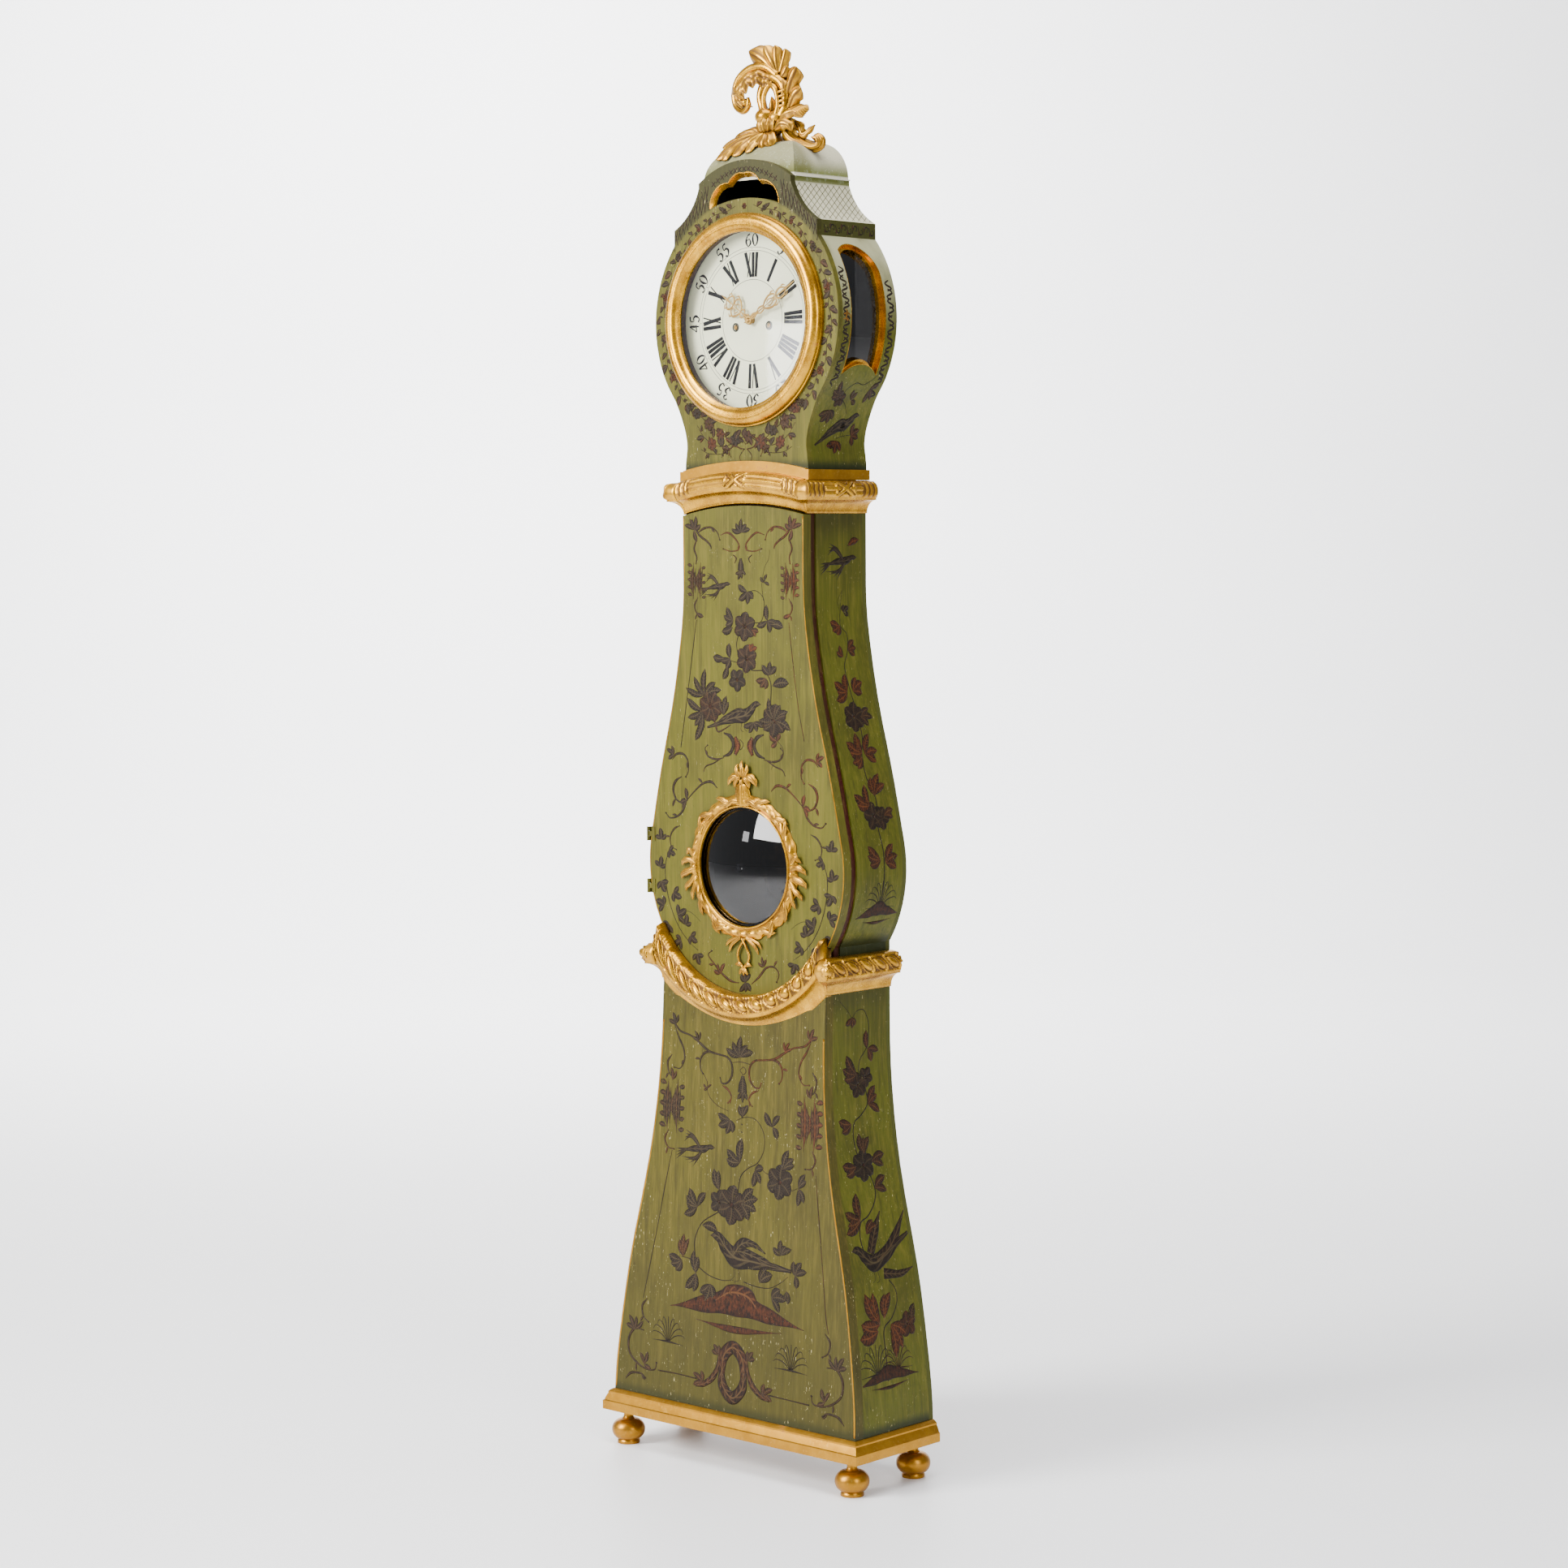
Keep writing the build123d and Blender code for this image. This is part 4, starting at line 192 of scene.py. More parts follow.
class Tone:
    """A number that varies over a surface. Sums written with it become nodes."""

    def __init__(self, finish, socket):
        self.finish = finish
        self.socket = socket

    __add__, __radd__ = maths("ADD"), maths("ADD", True)
    __sub__, __rsub__ = maths("SUBTRACT"), maths("SUBTRACT", True)
    __mul__, __rmul__ = maths("MULTIPLY"), maths("MULTIPLY", True)
    __abs__, wave, root, most = maths("ABSOLUTE"), maths("SINE"), maths("SQRT"), maths("MAXIMUM")

    def between(self, low, high):
        """0 at low and 1 at high, with a soft turn. low may be above high."""
        flip = low > high
        made = self.finish.node(
            "ShaderNodeMapRange",
            {"interpolation_type": "SMOOTHSTEP"},
            {
                "Value": self,
                "From Min": min(low, high),
                "From Max": max(low, high),
                "To Min": 1.0 if flip else 0.0,
                "To Max": 0.0 if flip else 1.0,
            },
        )
        return Tone(self.finish, made.outputs[0])


class Finish:
    """One material and the nodes in it."""

    def __init__(self, name, **fixed):
        self.material = bpy.data.materials.new(name)
        self.material.use_nodes = True
        self.tree = self.material.node_tree
        self.tree.nodes.clear()
        out = self.tree.nodes.new("ShaderNodeOutputMaterial")
        self.shader = self.tree.nodes.new("ShaderNodeBsdfPrincipled")
        self.tree.links.new(self.shader.outputs[0], out.inputs[0])
        for label, value in fixed.items():
            self.shader.inputs[label.replace("_", " ")].default_value = value
        self.place = self.node("ShaderNodeTexCoord").outputs["Object"]

    def node(self, kind, settings=None, sockets=None):
        made = self.tree.nodes.new(kind)
        for label, value in (settings or {}).items():
            setattr(made, label, value)
        for label, value in (sockets or {}).items():
            by_name = [s for s in made.inputs if s.identifier == label]
            socket = by_name[0] if by_name else made.inputs[label]
            self.feed(socket, value)
        return made

    def feed(self, socket, value):
        if isinstance(value, Tone):
            value = value.socket
        if isinstance(value, bpy.types.NodeSocket):
            self.tree.links.new(value, socket)
        elif socket.type == "RGBA":
            socket.default_value = (*value[:3], 1.0)
        else:
            socket.default_value = value

    def set(self, **tones):
        for label, value in tones.items():
            self.feed(self.shader.inputs[label.replace("_", " ")], value)

    def axes(self, vector=None):
        made = self.node("ShaderNodeSeparateXYZ", None, {0: vector or self.place})
        return [Tone(self, s) for s in made.outputs]

    def facing(self):
        return self.node("ShaderNodeNewGeometry").outputs["Normal"]

    def grain(self, size, stretch=(1, 1, 1), detail=4.0, rough=0.55, shift=0.0):
        """Noise with patches about this many millimetres across, drawn out by stretch."""
        scale = tuple(1.0 / (size * MM * s) for s in stretch)
        spot = self.node(
            "ShaderNodeMapping",
            None,
            {"Vector": self.place, "Location": (shift, shift * 2, shift * 3), "Scale": scale},
        )
        made = self.node(
            "ShaderNodeTexNoise",
            None,
            {"Vector": spot.outputs[0], "Scale": 1.0, "Detail": detail, "Roughness": rough},
        )
        return Tone(self, made.outputs[0])

    def nearness(self, reach):
        """1 deep in a corner or cut and 0 in the open, looking this many millimetres round."""
        made = self.node("ShaderNodeAmbientOcclusion", {"samples": 16}, {"Distance": reach * MM})
        return 1 - Tone(self, made.outputs["AO"])

    def mark(self, label):
        """A value carved or painted into the mesh by its maker."""
        made = self.node("ShaderNodeAttribute", {"attribute_name": label})
        return Tone(self, made.outputs["Fac"])

    def mix(self, factor, first, second):
        sockets = {"Factor_Float": factor, "A_Color": first, "B_Color": second}
        made = self.node("ShaderNodeMix", {"data_type": "RGBA"}, sockets)
        return next(s for s in made.outputs if s.identifier == "Result_Color")

    def bump(self, height, strength):
        """height in millimetres."""
        made = self.node("ShaderNodeBump", None, {"Strength": strength, "Distance": MM, "Height": height})
        self.feed(self.shader.inputs["Normal"], made.outputs[0])


def darker(tint, by):
    return tuple(c * by for c in tint)


def toward(tint, other, by):
    return tuple(a + (b - a) * by for a, b in zip(tint, other))


def made_once(recipe):
    """Hands the same finish out again when a recipe is asked for it twice."""
    made = {}

    def find(*order, **settings):
        key = (order, tuple(sorted(settings.items())))
        if key not in made:
            made[key] = recipe(*order, **settings).material
        return made[key]

    return find


@made_once
def green_paint(key, tint, foot=None, head=None, hole=None, chips=1.0, pale=None, dusk=None, band=None, low=None):
    """Old oil paint on wood, with brush marks, chips and dirt. foot and head are heights in
    metres next to a moulding, where the paint is darkened as painted shade; hole a place and radius whose inside wall
    is painted near black as painted shade."""
    f = Finish("paint_" + key, Roughness=0.5, Specular_IOR_Level=0.16, Coat_Weight=0.03, Coat_Roughness=0.35)
    x, y, z = f.axes()
    brushed = f.grain(2.6, (1, 1, 28), 5.0, 0.6)
    cloud = f.grain(95, (1, 1, 1.8))
    small = f.grain(13, (1, 1, 2.4), shift=3.0)
    flecks = f.grain(1.5, (1, 1, 6.0), 2.0, shift=7.0)
    patches = f.grain(30, (1, 1, 2.0), 3.0, shift=11.0)
    light = toward(tint, srgb(146, 126, 56), 0.30)
    deep = darker(toward(tint, srgb(58, 50, 18), 0.5), 0.72)
    streak = f.grain(9, (1, 1, 16), 4.0, 0.6, shift=21.0)
    body = f.mix(cloud.between(0.28, 0.60) * 0.75 + 0.25, deep, tint)
    body = f.mix(streak.between(0.50, 0.70) * 0.42, body, light)
    body = f.mix(streak.between(0.47, 0.32) * 0.7, body, deep)
    body = f.mix(brushed.between(0.50, 0.74) * 0.5, body, light)
    body = f.mix(brushed.between(0.46, 0.28) * 0.6, body, deep)
    dirt = flecks.between(0.36, 0.27) * patches.between(0.40, 0.62)
    body = f.mix(dirt * 0.8, body, srgb(30, 24, 12))
    chip = flecks.between(0.68, 0.72) * patches.between(0.46, 0.62) * chips
    big_chip = f.grain(5.5, (1, 1, 3.2), 3.0, shift=17.0).between(0.76, 0.79) * chips
    chip = chip.most(big_chip)
    if pale:
        fade = z.between(*pale) * cloud.between(0.2, 0.55)
        body = f.mix(fade * 0.85, body, srgb(168, 166, 132))
    # painted shade: the paint darkens just above the moulding at the foot
    if foot is not None:
        moulding_shade = z.between(foot + 0.018, foot) * 0.85
        body = f.mix(moulding_shade, body, srgb(26, 34, 14))
    # painted shade: from the height low down to 0.1 m the paint turns darker towards the bottom
    if low:
        body = f.mix(z.between(low, 0.1) * 0.5, body, darker(tint, 0.5))
    if dusk:
        round_hands = (x * x + (z - HANDS.z * MM) * (z - HANDS.z * MM)).root()
        shade = round_hands.between(*dusk) * z.between(2.045, 2.085) * (0.6 + cloud * 0.4)
        body = f.mix(shade, body, srgb(36, 35, 8))
    if band:
        body = f.mix(z.between(band - 0.0005, band + 0.0005), body, srgb(56, 56, 18))
    # painted shade: the paint darkens under the moulding at the head
    if head is not None:
        moulding_shade = z.between(head - 0.05, head) * 0.6
        body = f.mix(moulding_shade, body, srgb(44, 42, 14))
    body = f.mix(chip, body, srgb(196, 182, 132))
    # painted shade: the wall of the hole round the dial is painted near black
    if hole:
        dx, dz = x - hole[0], z - hole[1]
        inside = (dx * dx + dz * dz).root().between(hole[2] + 0.0015, hole[2])
        inside = inside * y.between(hole[3], hole[3] + 0.001)
        body = f.mix(inside, body, srgb(40, 32, 38))
    f.set(Base_Color=body, Roughness=0.42 + small * 0.16 + chip * 0.2)
    f.bump(brushed * 0.10 + small * 0.14 + (1 - chip) * 0.12 + flecks * 0.05, 0.8)
    return f


@made_once
def roof_paint():
    f = Finish("paint_roof", Roughness=0.62, Specular_IOR_Level=0.15)
    x, y, z = f.axes()
    cloud = f.grain(70)
    small = f.grain(9, shift=2.0)
    flecks = f.grain(1.8, detail=2.0, shift=5.0)
    grey = tuple(paint().roof_grey)
    body = f.mix(cloud.between(0.3, 0.7), darker(grey, 0.8), grey)
    olive = z.between(2.205, 2.172) * z.between(2.155, 2.166)
    body = f.mix(olive * (0.7 + cloud * 0.4), body, srgb(92, 100, 36))
    around = x + y
    rising = abs(((around + z) * LATTICE).wave()).between(0.30, 0.12)
    falling = abs(((around - z) * LATTICE).wave()).between(0.30, 0.12)
    cross = rising.most(falling)
    cove = z.between(2.094, 2.098) * z.between(2.160, 2.156)
    body = f.mix(cross * cove, body, srgb(74, 70, 40))
    front_slope = y.between(0.035, 0.0) * z.between(2.168, 2.172)
    body = f.mix(front_slope * (0.45 + cloud * 0.5), body, srgb(84, 84, 30))
    fillet = z.between(2.1595, 2.1605) * z.between(2.1685, 2.1675)
    body = f.mix(fillet * 0.7, body, srgb(84, 88, 36))
    worn_ledge = z.between(2.1680, 2.1686) * z.between(2.1760, 2.1725)
    body = f.mix(worn_ledge * 0.8, body, srgb(226, 220, 200))
    body = f.mix(small.between(0.5, 0.8) * 0.5, body, srgb(150, 154, 128))
    body = f.mix(flecks.between(0.34, 0.27) * 0.7, body, srgb(84, 84, 66))
    body = f.mix(flecks.between(0.70, 0.74), body, srgb(226, 224, 210))
    # painted shade: the faces inside the roof shell, which look towards ROOF_MIDDLE, are painted near black
    outward = f.node("ShaderNodeVectorMath", {"operation": "SUBTRACT"}, {0: f.place, 1: ROOF_MIDDLE})
    turned_out = f.node("ShaderNodeVectorMath", {"operation": "DOT_PRODUCT"},
                        {0: f.facing(), 1: outward.outputs[0]})
    inside = Tone(f, turned_out.outputs["Value"]).between(-0.01, -0.03)
    body = f.mix(inside, body, srgb(16, 13, 10))
    f.set(Base_Color=body, Roughness=0.5 + small * 0.2)
    f.bump(small * 0.15 + flecks * 0.08, 0.8)
    return f


@made_once
def gilding(key, wear, dull=0.0, carved=0.0):
    """Water gilding over red clay. The mark hollow is 1 at the bottom of a cut."""
    s = gilt()
    f = Finish("gilding_" + key, Specular_IOR_Level=0.5)
    hollow = f.mark("hollow")
    cloud = f.grain(34)
    small = f.grain(5, shift=2.0)
    fine = f.grain(1.1, detail=3.0, shift=4.0)
    gold, ochre, bole = tuple(s.gold), tuple(s.ochre), tuple(s.bole)
    # painted shade: the hollow mark and, on carved pieces, the corners that nearness finds darken the gold towards
    # the hollows' colour, which is also size and dirt
    cut = f.nearness(7.0).between(0.15, 0.6) * carved if carved else hollow
    rich = toward(darker(gold, 0.60), srgb(156, 92, 12), 0.3)
    body = f.mix(cloud.between(0.32, 0.68), rich, gold)
    body = f.mix(small.between(0.5, 0.85) * 0.4, body, toward(gold, (1.0, 0.80, 0.28), 0.4))
    body = f.mix((hollow.between(0.2, 0.9) * 0.85).most(cut), body, ochre)
    rubbed = cloud.between(0.66 - 0.12 * s.wear * wear, 0.74) * small.between(0.44, 0.62) * min(1.0, wear)
    body = f.mix(rubbed * 0.8, body, bole)
    specks = fine.between(0.30, 0.24) * cloud.between(0.35, 0.6)
    body = f.mix(specks * 0.8, body, srgb(84, 52, 26))
    if dull:
        body = f.mix(dull * cloud.between(0.25, 0.6), body, srgb(120, 72, 24))
    f.set(
        Base_Color=body,
        Metallic=0.86 - rubbed * 0.6 - hollow * 0.3 - specks * 0.4,
        Roughness=0.20 + small * 0.14 + rubbed * 0.25 + hollow * 0.2 + dull * 0.14,
    )
    f.bump(small * 0.05 + fine * 0.008 - rubbed * 0.03, 0.7)
    return f


@made_once
def ornament_paint():
    """Thick painted ornament. Its maker marks where each stroke's edge and length lie."""
    f = Finish("ornament", Roughness=0.55, Specular_IOR_Level=0.14)
    across, along, warm, kind = (f.mark(m) for m in ("across", "along", "warm", "kind"))
    dark, red = tuple(paint().motif_dark), tuple(paint().motif_red)
    small = f.grain(4, (1, 1, 2))
    flecks = f.grain(1.5, (1, 1, 7), 2.0, shift=3.0)
    patches = f.grain(26, (1, 1, 2), 3.0, shift=9.0)
    edge = abs(across).between(0.45, 0.92)
    inner = f.mix(warm, srgb(34, 25, 19), toward(red, srgb(92, 46, 20), 0.4))
    body = f.mix(small.between(0.3, 0.7), dark, inner)
    ribs = (along * 46 - abs(across) * 7).wave().between(0.35, 0.9) * kind
    middle_line = abs(across).between(0.16, 0.04) * kind
    body = f.mix(edge * 0.7, body, darker(dark, 0.8))
    rib_tint = f.mix(warm, srgb(84, 72, 46), srgb(118, 66, 28))
    body = f.mix((ribs * 0.3).most(middle_line * 0.5) * (1 - edge), body, rib_tint)
    f.set(Base_Color=f.mix(flecks.between(0.70, 0.76) * patches.between(0.4, 0.6), body, srgb(150, 140, 96)))
    worn = flecks.between(0.62, 0.67) * patches.between(0.47, 0.6)
    f.set(Alpha=1 - worn * 0.85, Roughness=0.45 + small * 0.2)
    f.bump(ribs * 0.05 + small * 0.08, 0.7)
    return f


@made_once
def plain_metal(key, tint, stain, rough, metal=1.0, grain_size=6.0):
    f = Finish("metal_" + key)
    cloud = f.grain(grain_size * 4)
    small = f.grain(grain_size, shift=2.0)
    fine = f.grain(0.6, (1, 6, 1), 2.0, shift=6.0)
    body = f.mix(cloud.between(0.35, 0.7) * 0.7, tint, stain)
    f.set(
        Base_Color=f.mix(small.between(0.62, 0.75) * 0.6, body, darker(stain, 0.6)),
        Metallic=metal - small.between(0.62, 0.75) * 0.4 * metal,
        Roughness=rough + small * 0.18 + fine * 0.06,
    )
    f.bump(small * 0.05 + fine * 0.02, 0.6)
    return f


@made_once
def pine(key="pine", tint=srgb(150, 110, 66), painted=0.0):
    f = Finish("wood_" + key, Roughness=0.7, Specular_IOR_Level=0.3)
    fibre = f.grain(2.0, (1, 1, 60))
    rings = f.grain(16, (1, 1, 26), 3.0, shift=2.0)
    cloud = f.grain(120, shift=4.0)
    lines = (rings * 46).wave().between(-0.2, 0.9)
    body = f.mix(lines * 0.6, tint, darker(tint, 0.62))
    body = f.mix(fibre.between(0.4, 0.8) * 0.5, body, darker(tint, 0.5))
    body = f.mix(cloud.between(0.4, 0.75) * 0.6, body, srgb(84, 62, 42))
    edge = abs(f.axes(f.facing())[0]).between(0.5, 0.7) * painted
    body = f.mix(edge, body, darker(tuple(paint().side_green), 0.7))
    f.set(Base_Color=body, Roughness=0.6 + fibre * 0.25)
    f.bump(fibre * 0.25 + lines * 0.1, 0.8)
    return f


@made_once
def glass(key, tint):
    f = Finish("glass_" + key, Transmission_Weight=1.0, IOR=1.5)
    wavy = f.grain(60, detail=2.0)
    dust = f.grain(2.0, detail=3.0, shift=2.0).between(0.66, 0.8)
    f.set(Base_Color=f.mix(dust * 0.2, tint, darker(tint, 0.75)), Roughness=0.02 + dust * 0.05)
    f.bump(wavy * 0.25, 0.25)
    return f


@made_once
def thin_glass(key, mirror, body):
    """Glass so thin that it doesn't bend the light: it only mirrors a little of it."""
    f = Finish("glass_" + key, Metallic=1.0, Alpha=body)
    dust = f.grain(2.0, detail=3.0).between(0.66, 0.8)
    wavy = f.grain(60, detail=2.0)
    f.set(Base_Color=f.mix(dust * 0.3, mirror, darker(mirror, 0.7)), Roughness=0.03 + dust * 0.05)
    f.bump(wavy * 0.25, 0.25)
    return f


@made_once
def dial_paint():
    ivory = tuple(bpy.context.scene.clock_dial.ivory)
    f = Finish("dial_ivory", Specular_IOR_Level=0.4, Coat_Weight=0.2, Coat_Roughness=0.3)
    cloud = f.grain(60)
    small = f.grain(7, shift=2.0)
    cracks = abs(f.grain(20, shift=5.0) - 0.5).between(0.006, 0.0)
    body = f.mix(cloud.between(0.3, 0.7), darker(ivory, 0.93), ivory)
    body = f.mix(small.between(0.62, 0.8) * 0.35, body, srgb(200, 192, 158))
    body = f.mix(cracks * 0.18, body, srgb(140, 132, 104))
    f.set(Base_Color=body, Roughness=0.4 + small * 0.12)
    f.bump(small * 0.04, 0.5)
    return f


@made_once
def numeral_paint():
    black = tuple(bpy.context.scene.clock_dial.black)
    f = Finish("dial_black", Specular_IOR_Level=0.15)
    small = f.grain(3)
    f.set(Base_Color=f.mix(small.between(0.45, 0.8) * 0.4, black, srgb(52, 52, 50)), Roughness=0.42 + small * 0.2)
    f.bump(small * 0.03, 0.5)
    return f


def dress(material, *nodes):
    """Gives case parts their finish, without touching their shape."""
    for node in nodes:
        made = NODES[node]
        if not made.material_slots:
            made.data.materials.append(material)
        for slot in made.material_slots:
            slot.link = "OBJECT"
            slot.material = material


def put_in_scene(name, data):
    made = bpy.data.objects.new(name, data)
    bpy.context.scene.collection.objects.link(made)
    return made


# ---------------------------------------------------------------- shaping
def round_line(radius, every, centre=(0.0, 0.0)):
    """Points round a circle, clockwise from its top, one for every so many degrees."""
    turns = [math.radians(a) for a in range(0, 361, every)]
    return [(centre[0] + radius * math.sin(a), centre[1] + radius * math.cos(a)) for a in turns]


def smooth_line(points, step):
    """Points along a smooth curve through the given ones, with the share of the way at each."""
    pts = [Vector(p) for p in points]
    if len(pts) == 2:
        pts.insert(1, (pts[0] + pts[1]) / 2)
    ends = [pts[0] * 2 - pts[1]] + pts + [pts[-1] * 2 - pts[-2]]
    line, shares = [], []
    for i in range(1, len(ends) - 2):
        a, b, c, d = ends[i - 1 : i + 3]
        count = max(1, round((c - b).length / step))
        for k in range(count):
            t = k / count
            bend, twist = 2 * a - 5 * b + 4 * c - d, 3 * b - a - 3 * c + d
            line.append(0.5 * (2 * b + (c - a) * t + bend * t * t + twist * t**3))
            shares.append((i - 1 + t) / (len(pts) - 1))
    line.append(pts[-1])
    shares.append(1.0)
    return line, shares


def along_list(values, t):
    """Value at share t of a list, with soft turns."""
    if len(values) == 1:
        return values[0]
    at = min(max(t, 0.0), 1.0) * (len(values) - 1)
    i = min(int(at), len(values) - 2)
    u = at - i
    u = u * u * (3 - 2 * u)
    return values[i] * (1 - u) + values[i + 1] * u


class Work:
    """The mesh of one piece while it is shaped, in millimetres."""

    def __init__(self, *marks):
        self.points = []
        self.faces = []
        self.marks = {m: [] for m in marks}

    def skin(self, rows, marks=None, loop=True, caps=True):
        """Joins rows of points into a skin. A loop closes each row on itself."""
        start, wide = len(self.points), len(rows[0])
        for row in rows:
            self.points.extend(Vector(p) for p in row)
        for i in range(len(rows) - 1):
            a = start + i * wide
            for j in range(wide if loop else wide - 1):
                k = (j + 1) % wide
                self.faces.append((a + j, a + k, a + wide + k, a + wide + j))
        if loop and caps:
            self.faces.append(tuple(range(start + wide - 1, start - 1, -1)))
            last = start + (len(rows) - 1) * wide
            self.faces.append(tuple(range(last, last + wide)))
        count = len(rows) * wide
        for m, kept in self.marks.items():
            kept.extend((marks or {}).get(m, [0.0] * count))

    def tube(self, spine, radii, sides, hollow=0.0):
        line, shares = smooth_line(spine, STEM_STEP)
        rows = []
        up = Vector((0, 1, 0))
        for i, p in enumerate(line):
            run = (line[min(i + 1, len(line) - 1)] - line[max(i - 1, 0)]).normalized()
            side = run.cross(up)
            if side.length < 0.05:
                side = run.cross(Vector((1, 0, 0)))
            side.normalize()
            over = side.cross(run)
            r = max(along_list(radii, shares[i]), 0.05)
            ring = []
            for k in range(sides):
                a = 2 * math.pi * k / sides
                ring.append(p + (side * math.cos(a) + over * math.sin(a)) * r)
            rows.append(ring)
        self.skin(rows, {"hollow": [hollow] * (len(rows) * sides)})

    def stand(self, name, material):
        """The finished mesh as an object in the scene."""
        mesh = bpy.data.meshes.new(name)
        mesh.from_pydata([p * MM for p in self.points], [], self.faces)
        mesh.validate()
        for m, values in self.marks.items():
            if len(values) == len(mesh.vertices):
                mesh.attributes.new(m, "FLOAT", "POINT").data.foreach_set("value", values)
        mesh.polygons.foreach_set("use_smooth", [True] * len(mesh.polygons))
        mesh.materials.append(material)
        mesh.update()
        return put_in_scene(name, mesh)

    def piece(self, name, material, body, slot, replaces=()):
        made = self.stand(name, material)
        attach(made, body)
        if replaces:
            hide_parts(*replaces)
        return made


class Ground:
    """The face of case parts, seen from one side, for laying ornament on it."""

    SIDES = {
        "front": (Vector((0, 1, 0)), lambda a, b: Vector((a, -300, b))),
        "right": (Vector((-1, 0, 0)), lambda a, b: Vector((400, a, b))),
        "left": (Vector((1, 0, 0)), lambda a, b: Vector((-400, a, b))),
    }

    def __init__(self, side, *nodes):
        self.look, self.start = self.SIDES[side]
        points, faces = [], []
        for node in nodes:
            mesh = NODES[node].data
            base = len(points)
            points.extend(v.co / MM for v in mesh.vertices)
            faces.extend([base + i for i in p.vertices] for p in mesh.polygons)
        self.tree = BVHTree.FromPolygons(points, faces)

    def at(self, a, b, lift=0.0):
        spot, normal, _, _ = self.tree.ray_cast(self.start(a, b), self.look)
        if spot is None:
            spot, normal, _, _ = self.tree.find_nearest(self.start(a, b) + self.look * 200)
        if normal.dot(self.look) > 0:
            normal = -normal
        return spot + normal * lift


class Flat:
    """A plane facing the front, turned clockwise round a point."""

    def __init__(self, y, turn, middle):
        self.y, self.middle = y, middle
        self.cos, self.sin = math.cos(math.radians(turn)), math.sin(math.radians(turn))

    def at(self, a, b, lift=0.0):
        x = self.middle[0] + a * self.cos + b * self.sin
        z = self.middle[1] - a * self.sin + b * self.cos
        return Vector((x, self.y - lift, z))


def bird_places(a, b, size, way):
    """Turns places in a bird's own measure, 1 being its size, into places on the ground."""
    return lambda u, v: (a + way * u * size, b + v * size)


